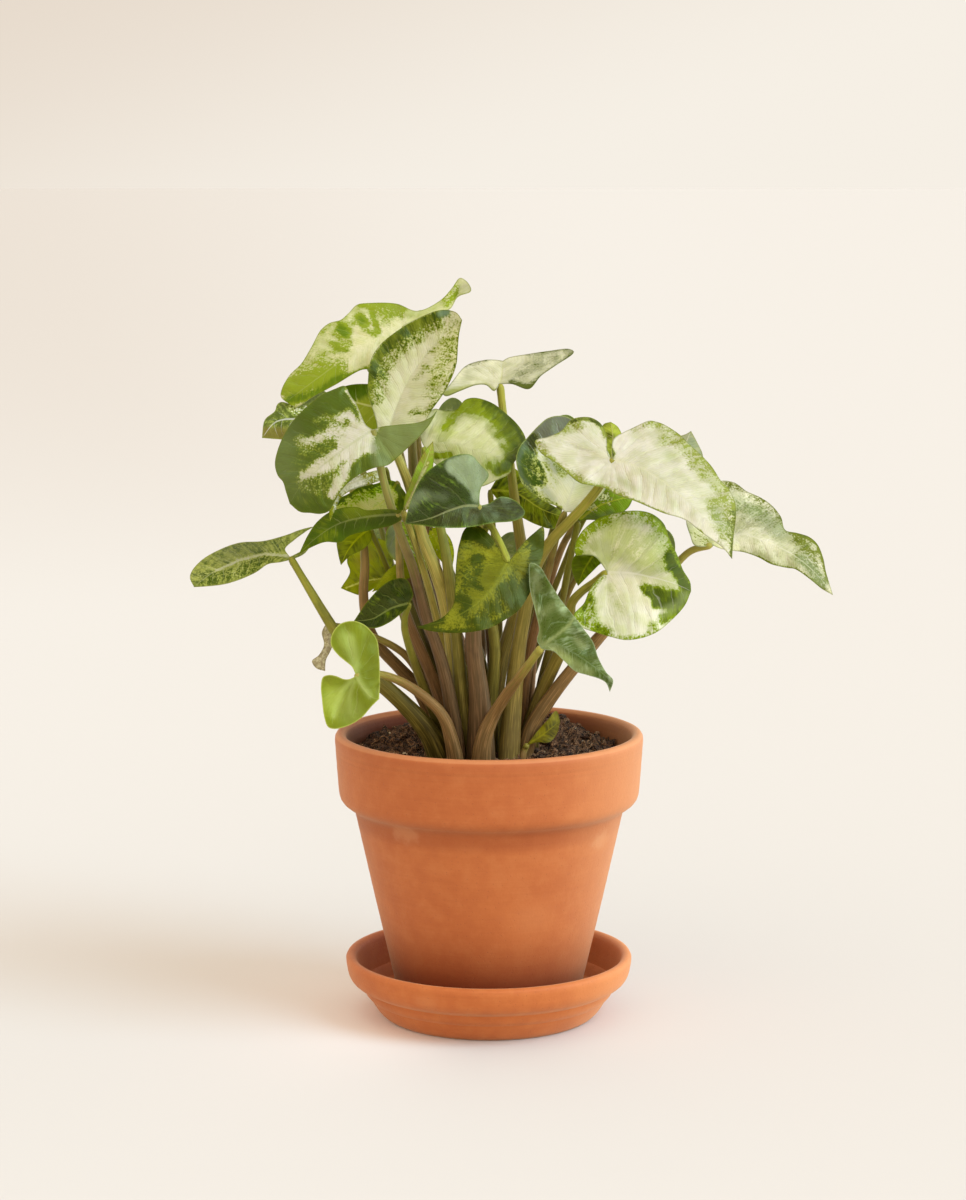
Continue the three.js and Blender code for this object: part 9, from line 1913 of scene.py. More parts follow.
def leaf_material(name, K, seed):
    N = Nodes(name)
    g, d, s = N.attr("fa")
    vph, lam, edge = N.attr("fb")
    tau, under, q = N.attr("fc")
    hz, painted_light, _ = N.attr("fd")
    p = N.mm()
    alam = N.m("ABSOLUTE", lam)
    off = float(seed * 7.3 % 97)
    streak = N.noise(N.comb(N.m("ADD", vph, off), N.m("MULTIPLY", alam, 0.22), N.m("MULTIPLY", N.m("SIGN", lam), 5.0)), 0.62, 3.0, 0.62)
    fleck = N.noise(p, 1.05, 2.0, 0.58)
    patch = N.noise(p, 0.16, 2.0, 0.5)
    a = N.m("MULTIPLY", N.m("SUBTRACT", streak, 0.5), N.m("MULTIPLY_ADD", s, 0.85, 0.30))
    spot = N.noise(N.mm((1000, 1000, 1000), (31, 7, 13)), 0.52, 3.0, 0.62)
    b = N.m("ADD", N.m("MULTIPLY", N.m("SUBTRACT", fleck, 0.5), 1.95), N.m("MULTIPLY", N.m("SUBTRACT", spot, 0.5), 0.95))
    b = N.m("MULTIPLY", b, s)
    c = N.m("MULTIPLY", N.m("SUBTRACT", patch, 0.5), 0.35)
    # the noise only works where the field is neither full nor empty
    live = N.ss(N.m("ABSOLUTE", N.m("SUBTRACT", g, 0.5)), 0.28, 0.50, 1.0, 0.05)
    gg = N.m("ADD", g, N.m("MULTIPLY", N.m("ADD", N.m("ADD", a, b), c), live))
    green = N.ss(gg, 0.44, 0.57)
    cloud = N.noise(N.comb(N.m("ADD", vph, off + 31), N.m("MULTIPLY", alam, 0.45), N.m("MULTIPLY", N.m("SIGN", lam), 9.0)), 0.16, 3.0, 0.55)
    haze = N.m("ADD", N.m("MULTIPLY", N.ss(gg, 0.08, 0.46), 0.75), N.m("MULTIPLY", hz, N.m("ADD", 1.0, N.m("MULTIPLY", N.m("SUBTRACT", cloud, 0.5), 2.4))), clamp=True)
    dd = N.m("ADD", d, N.m("MULTIPLY", N.m("ADD", N.m("SUBTRACT", streak, 0.5), N.m("SUBTRACT", patch, 0.5)), 0.9))
    dark = N.ss(dd, 0.22, 0.80)
    dark2 = N.m("MULTIPLY", dark, N.ss(gg, 0.45, 0.95))
    cream = N.mix(N.ss(patch, 0.35, 0.7), rgba(K["cream"]), rgba(tuple(0.86 * x + 0.14 * y for x, y in zip(K["cream"], K["lime"]))))
    base = N.mix(N.m("MULTIPLY", haze, 0.62), cream, rgba(K["lime"]))
    gcol = N.mix(dark2, rgba(K["lime"]), rgba(K["dark"]))
    col = N.mix(green, base, gcol)
    # grey-blue tint (field q): partly the leaf's own colour, partly a painted reflection of its gloss
    col = N.mix(N.m("MULTIPLY", q, 0.85), col, rgba(K["tint"]))
    # painted light and shade: field l makes the colour lighter or darker
    painted_light_gain = N.m("ADD", 1.0, painted_light)
    col = N.mix(1.0, col, N.comb(painted_light_gain, painted_light_gain, painted_light_gain), "MULTIPLY")
    # veins
    sp = K["vsp"]
    bend = N.noise(p, 0.09, 2.0, 0.5)
    vw = N.m("ADD", vph, N.m("MULTIPLY", N.m("SUBTRACT", bend, 0.5), 7.0))
    fr = N.m("FRACT", N.m("DIVIDE", vw, sp))
    dv = N.m("MULTIPLY", N.m("SUBTRACT", 0.5, N.m("ABSOLUTE", N.m("SUBTRACT", fr, 0.5))), sp)   # mm to the nearest vein
    wv = N.ss(edge, 0.5, 9.0, 0.16, 0.42)
    line = N.m("MULTIPLY", N.m("SUBTRACT", 1.0, N.ss(N.m("DIVIDE", dv, wv), 0.35, 1.3)), N.ss(edge, 0.6, 4.0))
    col = N.mix(N.m("MULTIPLY", N.m("MULTIPLY", line, N.ss(patch, 0.30, 0.62, 0.35, 1.0)), K["vein"] * 0.62), col, rgba(K["vcol"]))
    # fine parallel nerves
    ner = N.m("SINE", N.m("MULTIPLY", N.m("ADD", vph, N.m("MULTIPLY", N.m("SUBTRACT", streak, 0.5), 2.0)), 6.2832 / 1.15))
    col = N.mix(N.m("MULTIPLY", N.ss(ner, 0.2, 1.0), 0.10), col, rgba(tuple(0.55 * x + 0.45 * y for x, y in zip(K["dark"], K["lime"]))))
    # midrib
    mw = N.m("MULTIPLY", N.m("SUBTRACT", 1.08, tau), 0.72)
    mid = N.m("SUBTRACT", 1.0, N.ss(N.m("DIVIDE", alam, mw), 0.45, 1.25))
    mid = N.m("MULTIPLY", mid, N.ss(edge, 0.1, 1.0))
    col = N.mix(N.m("MULTIPLY", mid, K.get("rib", 0.12 + 0.8 * K["vein"])), col, rgba(K["vcol"]))
    # a thin line along the margin
    mg = N.m("SUBTRACT", 1.0, N.ss(edge, 0.15, 0.75))
    col = N.mix(N.m("MULTIPLY", mg, 0.55), col, rgba(K.get("rimc") or tuple(0.72 * x for x in K["lime"])))
    # lower side: paler and greyer
    if K.get("under"):
        ucol = N.mix(N.ss(patch, 0.3, 0.7), rgba(K["under"]), rgba(tuple(0.86 * x for x in K["under"])))
    else:
        ucol = N.mix(0.5, col, rgba((158, 174, 118)))
        ucol = N.mix(N.m("MULTIPLY", N.m("ADD", line, mid), 0.35), ucol, rgba((186, 196, 138)))
    col = N.mix(under, col, ucol)
    N.set(Base_Color=col)
    rough = N.m("ADD", K["rough"], N.m("MULTIPLY", N.m("SUBTRACT", fleck, 0.5), 0.25))
    rough = N.m("ADD", rough, N.m("MULTIPLY", under, 0.14))
    N.set(Roughness=rough)
    hgt = N.m("ADD", N.m("MULTIPLY", ner, 0.035), N.m("MULTIPLY", patch, 0.9))
    hgt = N.m("ADD", hgt, N.m("MULTIPLY", fleck, 0.10))
    hgt = N.m("SUBTRACT", hgt, N.m("MULTIPLY", line, 0.22))
    N.set(Normal=N.bump(hgt, 1.0, 0.55))
    B = N.bsdf.inputs
    B["Subsurface Weight"].default_value = LEAF_SSS
    B["Subsurface Radius"].default_value = (0.9, 1.0, 0.35)
    B["Subsurface Scale"].default_value = 0.0011
    B["Specular IOR Level"].default_value = 0.30 + 0.45 * K["coat"]
    B["Specular Tint"].default_value = (1.0, 0.95, 0.28 + 0.8 * K["coat"], 1.0)
    return N.mat


def stalk_material(name, top, mid, low, seed):
    N = Nodes(name)
    t, ln, r = N.attr("fa")
    cx, sx, _ = N.attr("fb")
    p = N.mm()
    st = N.noise(N.comb(N.m("MULTIPLY", cx, 2.2), N.m("MULTIPLY", sx, 2.2), N.m("ADD", N.m("MULTIPLY", ln, 0.05), float(seed))), 1.0, 3.0, 0.6)
    fine = N.noise(N.comb(N.m("MULTIPLY", cx, 9.0), N.m("MULTIPLY", sx, 9.0), N.m("ADD", N.m("MULTIPLY", ln, 0.07), float(seed))), 1.0, 2.0, 0.5)
    blot = N.noise(p, 0.11, 2.0, 0.5)
    tt = N.m("ADD", t, N.m("MULTIPLY", N.m("SUBTRACT", st, 0.5), 0.6))
    col = N.mix(N.ss(tt, 0.08, 0.50), rgba(top), rgba(mid))
    col = N.mix(N.ss(tt, 0.52, 0.95), col, rgba(low))
    col = N.mix(N.m("MULTIPLY", N.ss(fine, 0.46, 0.68), 0.52), col, rgba((min(255, 1.24 * mid[0] + 16), min(255, 1.20 * mid[1] + 14), min(255, 1.25 * mid[2] + 14))))
    col = N.mix(N.m("MULTIPLY", N.ss(st, 0.52, 0.30), 0.45), col, rgba(tuple(0.70 * x for x in low)))
    col = N.mix(N.m("MULTIPLY", N.ss(blot, 0.5, 0.75), 0.30), col, rgba(tuple(0.74 * x for x in low)))
    N.set(Base_Color=col)
    N.set(Roughness=N.m("ADD", 0.36, N.m("MULTIPLY", fine, 0.2)))
    N.set(Normal=N.bump(N.m("ADD", N.m("MULTIPLY", fine, 0.5), st), 0.35, 0.5))
    N.bsdf.inputs["Specular IOR Level"].default_value = 0.30
    N.bsdf.inputs["Specular Tint"].default_value = (1.0, 0.92, 0.6, 1.0)
    N.bsdf.inputs["Subsurface Weight"].default_value = 0.12
    N.bsdf.inputs["Subsurface Radius"].default_value = (1.0, 0.8, 0.4)
    N.bsdf.inputs["Subsurface Scale"].default_value = 0.0015
    return N.mat


# ------------------------------------------------------------------ leaves with their stalks
STALKS = {
    'mauve': ((140, 142, 62), (102, 77, 48), (72, 54, 31)),
    'wine': ((140, 134, 58), (134, 100, 62), (90, 67, 38)),
    'pale': ((164, 160, 74), (178, 164, 80), (92, 78, 34)),
    'olive': ((136, 138, 42), (112, 102, 38), (62, 52, 16)),
    'green': ((144, 152, 50), (120, 112, 44), (84, 72, 28)),
    'tan': ((158, 154, 66), (132, 102, 58), (94, 72, 40)),
    'turn': ((144, 144, 46), (130, 116, 48), (104, 86, 42)),
    'dim': ((104, 108, 32), (92, 84, 32), (62, 51, 18)),
}
stalk_mats = {k: stalk_material("stalk_" + k, *v, seed=i * 3.1) for i, (k, v) in enumerate(STALKS.items())}
for i, (name, L) in enumerate(LEAVES.items()):
    K = MARKS[name]
    V, Fc, at, sharp = leaf_mesh(L, K, 11 + i)
    st = np.array(L["stalk"])
    C = catmull(st[:, :3], 1.6)
    s0 = np.r_[0, np.cumsum(np.linalg.norm(np.diff(st[:, :3], axis=0), axis=1))]
    s1 = np.r_[0, np.cumsum(np.linalg.norm(np.diff(C, axis=0), axis=1))]
    R = np.interp(s1 / s1[-1], s0 / s0[-1], st[:, 3])
    R = R * (1 + 0.13 * np.exp(-(s1 / 5.0) ** 2))        # the joint under the blade
    R = R * (0.55 + 0.45 * smooth01(s1, 0, 2.2))
    tl = s1 / s1[-1]
    R = R * (1 + (L.get("stout", 1.12) - 1) * smooth01(tl, 0.15, 0.55))
    long = s1[-1] > 60
    gr = 0.34 * smooth01(tl, 0.52, 0.68) * (1 - 0.6 * smooth01(tl, 0.9, 1.0)) if long else None
    wide = 0.42 * smooth01(tl, 0.60, 0.95) if long else None
    TV, TF, pa, pb = tube(C, R, 16, gr, wide)
    n0 = len(V)
    verts = np.vstack([V, TV])
    faces = Fc + [tuple(int(x) + n0 for x in t) for t in TF]
    slots = [0] * len(Fc) + [1] * len(TF)
    attrs = {
        "fa": np.vstack([at["fa"], pa]),
        "fb": np.vstack([at["fb"], pb]),
        "fc": np.vstack([at["fc"], np.zeros((len(TV), 3))]),
        "fd": np.vstack([at["fd"], np.zeros((len(TV), 3))]),
    }
    ob = mesh_object(name + "_full", verts, faces, attrs, sharp, slots)
    ob.data.materials.append(leaf_material(name + "_skin", K, 3 + i))
    ob.data.materials.append(stalk_mats[L["stalk_kind"]])
    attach(ob, "root")
    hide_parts(*L["nodes"])

# ------------------------------------------------------------------ pot and saucer
def lathe(name, prof, seg, wob, seed, closed_axis=True):
    """A turned clay body: the profile round Z, with the small unevenness of a thrown and fired pot."""
    P = np.array(prof, float)
    ang = np.linspace(0, 2 * np.pi, seg, endpoint=False)
    rng = np.random.default_rng(seed)
    pr = []
    for i in range(len(P) - 1):
        n = max(1, int(np.linalg.norm(P[i + 1] - P[i]) / 1.6))
        pr.append(P[i] + (P[i + 1] - P[i]) * (np.arange(n) / n)[:, None])
    pr = np.vstack(pr + ([P[-1:]] if not np.allclose(P[0], P[-1]) else []))
    # rounded corners
    for _ in range(2):
        q = pr.copy()
        q[1:-1] = pr[1:-1] * 0.6 + (pr[:-2] + pr[2:]) * 0.2
        keep = (pr[:, 0] < 1e-6) | (pr[:, 1] < 1e-6)
        q[keep] = pr[keep]
        pr = q
    ph = rng.uniform(0, 6.28, 6)
    n = len(pr)
    V = np.zeros((seg, n, 3))
    for j, a in enumerate(ang):
        dr = wob * (0.5 * math.sin(2 * a + ph[0]) + 0.3 * math.sin(3 * a + ph[1]) + 0.12 * math.sin(7 * a + ph[2]))
        ring = 0.10 * np.sin(pr[:, 1] * 0.9 + ph[3]) * wob + 0.08 * np.sin(pr[:, 1] * 2.3 + 1.5 * math.sin(a) + ph[4]) * wob
        r = np.maximum(pr[:, 0] + (dr + ring) * smooth01(pr[:, 0], 12, 40), 0)
        r[pr[:, 0] < 1e-6] = 0
        z = pr[:, 1] + wob * 0.3 * math.sin(2 * a + ph[5]) * smooth01(pr[:, 1], 8, 30)
        V[j] = np.stack([r * math.cos(a), r * math.sin(a), z], -1)
    on_axis = [k for k in (0, n - 1) if pr[k, 0] < 1e-6]
    idx = np.arange(seg * n).reshape(seg, n)
    verts = V.reshape(-1, 3)
    for k in on_axis:
        idx[:, k] = idx[0, k]
    loop = np.allclose(P[0], P[-1])
    faces = []
    for j in range(seg):
        j2 = (j + 1) % seg
        for k in range(n if loop else n - 1):
            k2 = (k + 1) % n
            q = (idx[j, k], idx[j2, k], idx[j2, k2], idx[j, k2])
            q = tuple(int(x) for i2, x in enumerate(q) if x not in q[:i2])
            if len(q) > 2:
                faces.append(q)
    used = np.unique(np.concatenate([np.array(f) for f in faces]))
    remap = -np.ones(len(verts), int)
    remap[used] = np.arange(len(used))
    faces = [tuple(int(remap[x]) for x in f) for f in faces]
    return mesh_object(name, verts[used], faces)


def tone(c):
    """A clay colour under this light."""
    return (*[v * k for v, k in zip(lin(c), CLAY)], 1.0)


def clay_material(name, seed, low_shade_and_damp=None, marks=(), rows=(), gain=(1.0, 1.0, 1.0), inner=0.0):
    N = Nodes(name)
    p = N.mm()
    big = N.noise(p, 0.022, 3.0, 0.55)
    mid = N.noise(p, 0.13, 4.0, 0.6)
    fine = N.noise(p, 0.9, 3.0, 0.6)
    turn = N.noise(N.mm((18, 18, 1150), (seed, 0, seed)), 1.0, 2.0, 0.55)
    pore = N.voronoi(p, 0.42)
    c = N.mix(N.ss(big, 0.32, 0.68), tone((188, 101, 50)), tone((197, 110, 57)))
    c = N.mix(N.m("MULTIPLY", N.ss(mid, 0.45, 0.75), 0.28), c, tone((210, 130, 78)))
    c = N.mix(N.m("MULTIPLY", N.ss(mid, 0.55, 0.30), 0.24), c, tone((174, 88, 42)))
    c = N.mix(N.m("MULTIPLY", N.ss(turn, 0.45, 0.75), 0.10), c, tone((172, 86, 42)))
    c = N.mix(N.m("MULTIPLY", N.ss(turn, 0.52, 0.28), 0.07), c, tone((212, 130, 78)))
    c = N.mix(N.m("MULTIPLY", N.ss(fine, 0.55, 0.78), 0.16), c, tone((166, 82, 40)))
    # a few dark grains and open pores
    c = N.mix(N.m("MULTIPLY", N.m("SUBTRACT", 1.0, N.ss(pore, 0.06, 0.16)), 0.5), c, tone((150, 78, 48)))
    sep = N.nt.nodes.new("ShaderNodeSeparateXYZ")
    N.nt.links.new(p, sep.inputs[0])
    # painted shade and damp clay: the body is darker towards its foot, above the saucer
    if low_shade_and_damp:
        z0, z1, col, amt = low_shade_and_damp
        c = N.mix(N.m("MULTIPLY", N.ss(sep.outputs[2], z1, z0), amt), c, tone(col))
    # painted shade on the inner wall of the mouth, from just under the lip down
    if inner:
        rad_ = N.m("SQRT", N.m("ADD", N.m("MULTIPLY", sep.outputs[0], sep.outputs[0]), N.m("MULTIPLY", sep.outputs[1], sep.outputs[1])))
        c = N.mix(N.m("MULTIPLY", N.m("MULTIPLY", N.ss(rad_, 70.4, 69.0), N.m("MULTIPLY", N.ss(sep.outputs[2], 140.2, 136.0), N.ss(sep.outputs[2], 106, 107))), inner), c, tone((98, 36, 16)))
    # bands round the body at given heights, dark or light; at the pot these include painted shade and a painted
    # highlight
    for k in rows:
        zc, hw, sf, col, amt = k
        c = N.mix(N.m("MULTIPLY", N.ss(N.m("ABSOLUTE", N.m("SUBTRACT", sep.outputs[2], zc)), hw + sf, hw), amt), c, tone(col))
    for (x, y, z), rad, squash, col, amt in marks:
        dx = N.m("SUBTRACT", sep.outputs[0], x)
        dy = N.m("SUBTRACT", sep.outputs[1], y)
        dz = N.m("MULTIPLY", N.m("SUBTRACT", sep.outputs[2], z), squash)
        d2 = N.m("ADD", N.m("ADD", N.m("MULTIPLY", dx, dx), N.m("MULTIPLY", dy, dy)), N.m("MULTIPLY", dz, dz))
        dist = N.m("ADD", N.m("SQRT", d2), N.m("MULTIPLY", N.m("SUBTRACT", mid, 0.5), rad * 1.8))
        c = N.mix(N.m("MULTIPLY", N.ss(dist, rad, rad * 0.2), amt), c, tone(col))
    # painted highlight: the side towards the window is painted lighter, as the light from that side falls on it
    c = N.mix(N.m("MULTIPLY", N.ss(sep.outputs[0], 26, 72), 0.46), c, tone((236, 162, 110)))
    c = N.mix(1.0, c, N.comb(*gain), "MULTIPLY")
    N.set(Base_Color=c)
    N.set(Roughness=N.m("ADD", 0.52, N.m("MULTIPLY", fine, 0.22)))
    h = N.m("ADD", N.m("MULTIPLY", fine, 0.16), N.m("MULTIPLY", turn, 0.07))
    h = N.m("ADD", h, N.m("MULTIPLY", mid, 0.25))
    h = N.m("ADD", h, N.m("MULTIPLY", N.ss(pore, 0.04, 0.2), 0.12))
    N.set(Normal=N.bump(h, 1.0, 0.5))
    N.bsdf.inputs["Specular IOR Level"].default_value = 0.3
    N.bsdf.inputs["Sheen Weight"].default_value = 0.24
    N.bsdf.inputs["Sheen Roughness"].default_value = 0.45
    N.bsdf.inputs["Sheen Tint"].default_value = (1.0, 0.78, 0.50, 1.0)
    return N.mat


SAUCER = [[0,0],[51,0],[53,.9],[55.2,3.6],[58.4,8.8],[60.8,13.4],[61.5,15.2],[64.6,15.8],[67.4,17.6],[69,20.6],[70,26],[70.5,28.7],[69.8,29.9],[68.3,30.3],[66.3,30],[65.1,28.9],[63.9,22],[61.7,13],[59.7,9.4],[57.1,7.7],[54,7],[0,7]]
POT = [[6,7.3],[43,7.3],[44.2,8.5],[56,60],[65.4,102.4],[66.2,104],[69,104.8],[71.6,106.6],[72.9,110],[73.8,122],[74.8,136.7],[75,138.3],[74.2,140],[72.4,140.7],[70.4,140.3],[69.2,138.9],[68.4,132.7],[67.2,108],[60.2,98],[39.7,17.3],[36.7,14.8],[6,14.8],[6,7.3]]
saucer = lathe("saucer_clay", SAUCER, 192, 0.22, 5)
saucer.data.materials.append(clay_material("terracotta_saucer", 3.0, None, (((-30, -64, 22), 9, 1.5, (216, 142, 96), 0.30),), gain=(1.08, 1.06, 0.94)))
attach(saucer, "root"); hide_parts("saucer")
pot = lathe("pot_clay", POT, 224, 0.22, 8)
# the foot: painted shade and damp clay; rows: painted shade under the rim (100.5), thrown lines (133.2, 130.4), a
# darker band below the lip (136.4), a painted highlight along the lip (139.3); inner: painted shade inside the mouth
pot.data.materials.append(clay_material("terracotta_pot", 11.0, (9, 60, (112, 36, 10), 0.95), (
    ((-40, -52, 101), 12, 1.6, (224, 160, 116), 0.30), ((55, -36, 93), 11, 1.4, (228, 176, 134), 0.30), ((-20, -62.5, 124), 1.3, 1, (120, 70, 50), 0.8),
    ((20, -50, 60), 16, 1.2, (208, 132, 84), 0.25)),
    rows=((100.5, 2.5, 6.0, (156, 72, 30), 0.46), (133.2, 0.35, 0.9, (160, 84, 42), 0.20), (130.4, 0.2, 0.7, (166, 88, 46), 0.14), (136.4, 0.9, 1.8, (172, 88, 48), 0.26), (139.3, 0.4, 0.7, (230, 158, 110), 0.42)), inner=0.8))
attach(pot, "root"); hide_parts("pot")

# ------------------------------------------------------------------ soil
def soil_height(x, y):
    r = np.hypot(x, y)
    h = 128.6 + 1.5 * np.exp(-(r / 30) ** 2)
    h = h + 5.0 * np.exp(-(((x + 50) / 14) ** 2 + ((y - 20) / 24) ** 2)) + 5.5 * np.exp(-(((x - 34) / 13) ** 2 + ((y - 46) / 16) ** 2)) + 2.2 * np.exp(-(((x - 46) / 14) ** 2 + ((y + 18) / 16) ** 2))
    h = h + 4.2 * smooth01(y, 14, 52) - 1.0 * smooth01(-y, 20, 60)
    for sc, am, sd in ((11, 2.4, 1), (5.2, 2.6, 2), (2.6, 2.3, 3), (1.3, 1.5, 4)):
        n = value_noise(x / sc + 50, y / sc + 50, sd)
        h = h + am * (np.abs(n - 0.5) * 2 - 0.45)
    return h


nr, na = 76, 300
rad = 67.0 * (np.arange(1, nr + 1) / nr)
an = np.linspace(0, 2 * np.pi, na, endpoint=False)
RR, AA_ = np.meshgrid(rad, an, indexing="ij")
X, Y = RR * np.cos(AA_), RR * np.sin(AA_)
Z = soil_height(X, Y)
Z = Z - 1.2 * smooth01(RR, 62, 67)
top = np.stack([X.ravel(), Y.ravel(), Z.ravel()], -1)
side = []
for r_, z_ in ((66.4, 108.6), (59.3, 98.2), (48.9, 57.0), (38.9, 17.9), (36.0, 15.3)):
    side.append(np.stack([r_ * np.cos(an), r_ * np.sin(an), np.full(na, z_)], -1))
verts = np.vstack([top] + side + [[[0, 0, float(soil_height(np.array([0.0]), np.array([0.0]))[0])]], [[0, 0, 15.3]]])
faces = []
rows = nr + len(side)
for i in range(rows - 1):
    for j in range(na):
        k = (j + 1) % na
        faces.append((i * na + j, (i + 1) * na + j, (i + 1) * na + k, i * na + k))
ct, cb = rows * na, rows * na + 1
for j in range(na):
    k = (j + 1) % na
    faces.append((ct, j, k))
    faces.append((cb, (rows - 1) * na + k, (rows - 1) * na + j))
soil = mesh_object("soil_mix", verts, faces)


def soil_material(name, cols, rough=0.9, bump=0.6):
    N = Nodes(name)
    p = N.mm()
    a = N.noise(p, 0.5, 4.0, 0.7)
    b = N.noise(p, 2.2, 3.0, 0.6)
    c = N.mix(N.ss(a, 0.40, 0.62), rgba(cols[0]), rgba(cols[1]))
    c = N.mix(N.m("MULTIPLY", N.ss(b, 0.54, 0.66), 0.85), c, rgba(cols[2]))
    N.set(Base_Color=c, Roughness=N.m("ADD", rough - 0.15, N.m("MULTIPLY", b, 0.25)))
    N.set(Normal=N.bump(N.m("ADD", a, N.m("MULTIPLY", b, 0.5)), bump, 0.8))
    N.bsdf.inputs["Specular IOR Level"].default_value = 0.3
    return N.mat


soil.data.materials.append(soil_material("potting_mix", ((16, 9, 5), (90, 59, 37), (178, 134, 94))))
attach(soil, "root"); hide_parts("soil")

# crumbs, bark, perlite and fibres lying on the mix
def ico(level=1):
    t = (1 + 5 ** 0.5) / 2
    v = [(-1, t, 0), (1, t, 0), (-1, -t, 0), (1, -t, 0), (0, -1, t), (0, 1, t), (0, -1, -t), (0, 1, -t), (t, 0, -1), (t, 0, 1), (-t, 0, -1), (-t, 0, 1)]
    f = [(0, 11, 5), (0, 5, 1), (0, 1, 7), (0, 7, 10), (0, 10, 11), (1, 5, 9), (5, 11, 4), (11, 10, 2), (10, 7, 6), (7, 1, 8), (3, 9, 4), (3, 4, 2), (3, 2, 6), (3, 6, 8), (3, 8, 9), (4, 9, 5), (2, 4, 11), (6, 2, 10), (8, 6, 7), (9, 8, 1)]
    v = [np.array(x) / np.linalg.norm(x) for x in v]
    for _ in range(level):
        mid, f2 = {}, []
        def mp(a, b):
            k = (min(a, b), max(a, b))
            if k not in mid:
                m = v[a] + v[b]
                v.append(m / np.linalg.norm(m))
                mid[k] = len(v) - 1
            return mid[k]
        for a, b, c in f:
            x, y, z = mp(a, b), mp(b, c), mp(c, a)
            f2 += [(a, x, z), (b, y, x), (c, z, y), (x, y, z)]
        f = f2
    return np.array(v), np.array(f)


IV, IF = ico(1)
rng = np.random.default_rng(77)


def crumbs(name, count, size, flat, mat, smooth=False):
    Vs, Fs, n = [], [], 0
    for _ in range(count):
        r, a = 65 * math.sqrt(rng.uniform(0.02, 1)), rng.uniform(0, 2 * math.pi)
        x, y = r * math.cos(a), r * math.sin(a)
        s = rng.uniform(*size) * np.array([rng.uniform(0.7, 1.5), rng.uniform(0.6, 1.1), rng.uniform(0.5, 1.0) * flat])
        E = np.array(Euler(rng.uniform(-0.7, 0.7, 3) + [0, 0, rng.uniform(0, 6)]).to_matrix())
        v = IV * (1 + rng.uniform(-0.28, 0.28, (len(IV), 1)))
        v = (v * s) @ E.T
        z = float(soil_height(np.array([x]), np.array([y]))[0])
        Vs.append(v + [x, y, z + 0.35 * s[2]])
        Fs.append(IF + n)
        n += len(IV)
    ob = mesh_object(name, np.vstack(Vs), np.vstack(Fs), smooth=smooth)
    ob.data.materials.append(mat)
    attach(ob, "root")
    return ob


crumbs("soil_crumbs", 900, (0.5, 2.2), 0.9, soil_material("soil_crumb", ((22, 13, 7), (112, 76, 48), (206, 162, 116))))
crumbs("soil_clods", 120, (2.0, 4.2), 0.75, soil_material("soil_clod", ((12, 7, 4), (70, 44, 27), (150, 108, 74))))
crumbs("soil_bark", 130, (0.9, 2.6), 0.45, soil_material("soil_bark_chip", ((84, 57, 36), (126, 90, 60), (172, 134, 98))))
crumbs("soil_perlite", 46, (0.35, 0.95), 0.8, soil_material("soil_perlite_grain", ((206, 184, 150), (226, 206, 172), (176, 148, 112)), 0.8, 0.3))
Vs, Fs, n = [], [], 0
for _ in range(210):
    r, a = 64 * math.sqrt(rng.uniform(0.05, 1)), rng.uniform(0, 2 * math.pi)
    x, y, d = r * math.cos(a), r * math.sin(a), rng.uniform(0, 6.28)
    ln = rng.uniform(4, 13)
    pts = []
    bend = rng.uniform(-1.2, 1.2)
    for t in np.linspace(0, 1, 7):
        px, py = x + ln * t * math.cos(d + bend * t), y + ln * t * math.sin(d + bend * t)
        rr_ = math.hypot(px, py)
        if rr_ > 65:
            px, py = px * 65 / rr_, py * 65 / rr_
        pts.append((px, py, float(soil_height(np.array([px]), np.array([py]))[0]) + 0.4 + 1.6 * math.sin(math.pi * t) * rng.uniform(0.2, 1.0)))
    C = catmull(pts, 0.9)
    v, f, _, _ = tube(C, np.full(len(C), rng.uniform(0.12, 0.24)), 5)
    Vs.append(v)
    Fs += [tuple(q + n for q in t) for t in f]
    n += len(v)
fib = mesh_object("soil_fibres", np.vstack(Vs), Fs)
fib.data.materials.append(soil_material("soil_fibre", ((112, 80, 52), (158, 118, 80), (196, 158, 116)), 0.8, 0.1))
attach(fib, "root")

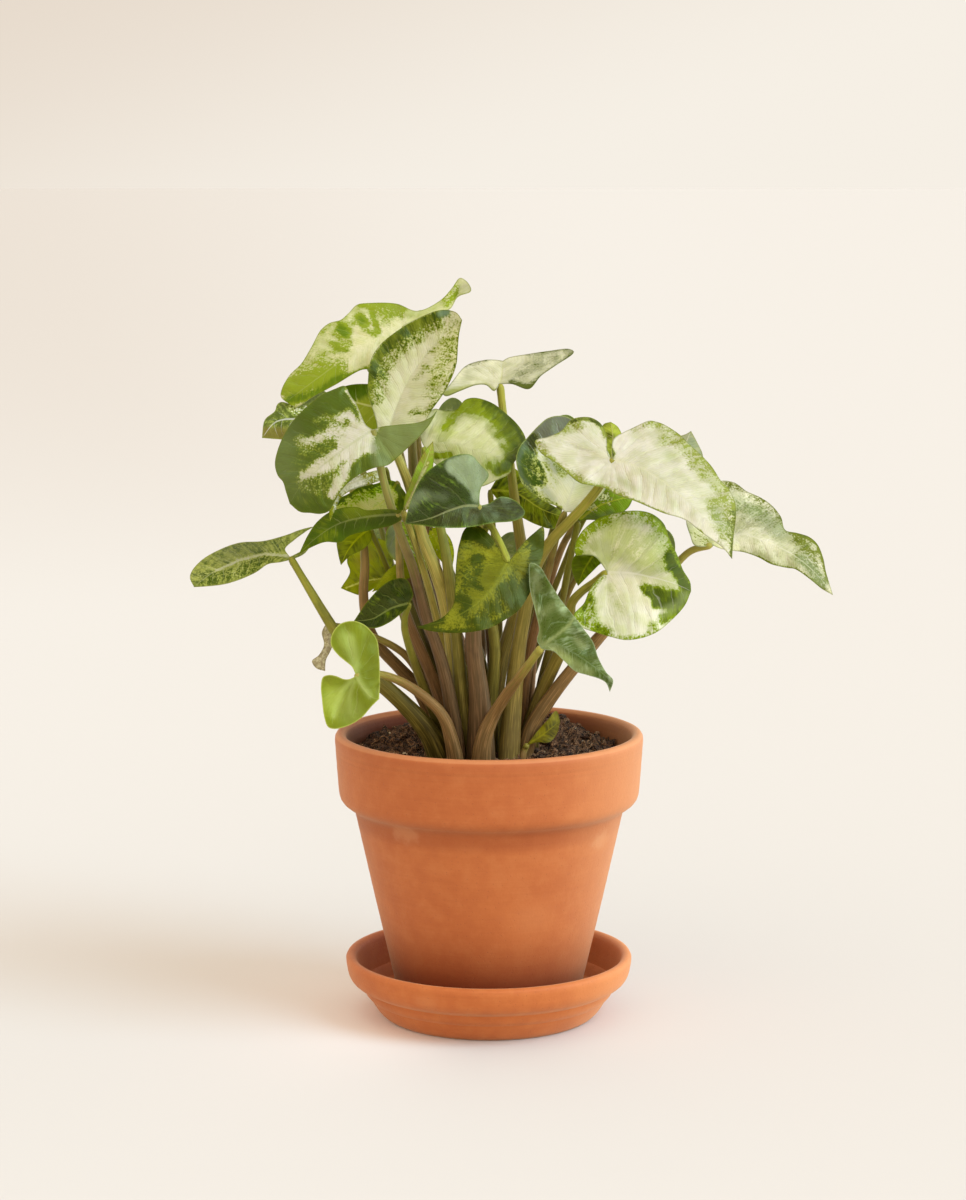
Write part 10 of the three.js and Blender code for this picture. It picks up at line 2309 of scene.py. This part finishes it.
# ------------------------------------------------------------------ floor
me = bpy.data.meshes.new("floor")
fr = 40.0
ring_ = [(fr * math.cos(a), fr * math.sin(a), 0.0) for a in np.linspace(0, 2 * math.pi, 96, endpoint=False)]
me.from_pydata(ring_, [], [tuple(range(96))])
floor = bpy.data.objects.new("floor", me)
scene.collection.objects.link(floor)
N = Nodes("floor_paper")
fp = N.mm((1, 1, 1))
fsep = N.nt.nodes.new("ShaderNodeSeparateXYZ")
N.nt.links.new(fp, fsep.inputs[0])
fx, fy = fsep.outputs[0], fsep.outputs[1]
fdist = N.m("SQRT", N.m("ADD", N.m("ADD", N.m("MULTIPLY", fx, fx), N.m("MULTIPLY", fy, fy)), 0.0001))
# painted shade: the far floor to the left is darker
far = N.m("MULTIPLY", N.m("SUBTRACT", 1.0, N.ss(N.m("DIVIDE", 1.0, fdist), 0.02, 0.75)), N.ss(N.m("DIVIDE", fx, fdist), 0.06, -0.20))
paper = N.mix(far, rgba(FLOOR), rgba(FLOOR_FAR))
# painted light: the paper is painted lighter round the pot, most on its left, where the pot and leaves shade it
fall = N.m("POWER", 2.71828, N.m("DIVIDE", N.m("MINIMUM", N.m("SUBTRACT", 0.065, fdist), 0.0), 0.060))
side_l = N.m("MULTIPLY", N.ss(N.m("DIVIDE", fx, fdist), 0.0, -0.9), GLOW[0])
side_r = N.m("MULTIPLY", N.ss(N.m("DIVIDE", fx, fdist), 0.2, 0.9), GLOW[1])
gain = N.m("ADD", 1.0, N.m("MULTIPLY", fall, N.m("ADD", N.m("ADD", side_l, side_r), GLOW[2])))
N.set(Base_Color=N.mix(1.0, paper, N.comb(gain, gain, gain), "MULTIPLY"))
N.bsdf.inputs["Roughness"].default_value = 1.0
N.bsdf.inputs["Specular IOR Level"].default_value = 0.0
floor.data.materials.append(N.mat)

# ------------------------------------------------------------------ end
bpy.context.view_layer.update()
tri = {o.name: sum(len(p.vertices) - 2 for p in o.data.polygons) for o in scene.objects if o.type == "MESH" and o.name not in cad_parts}
print("added triangles", sum(tri.values()), "most", max(tri.items(), key=lambda t: t[1]))
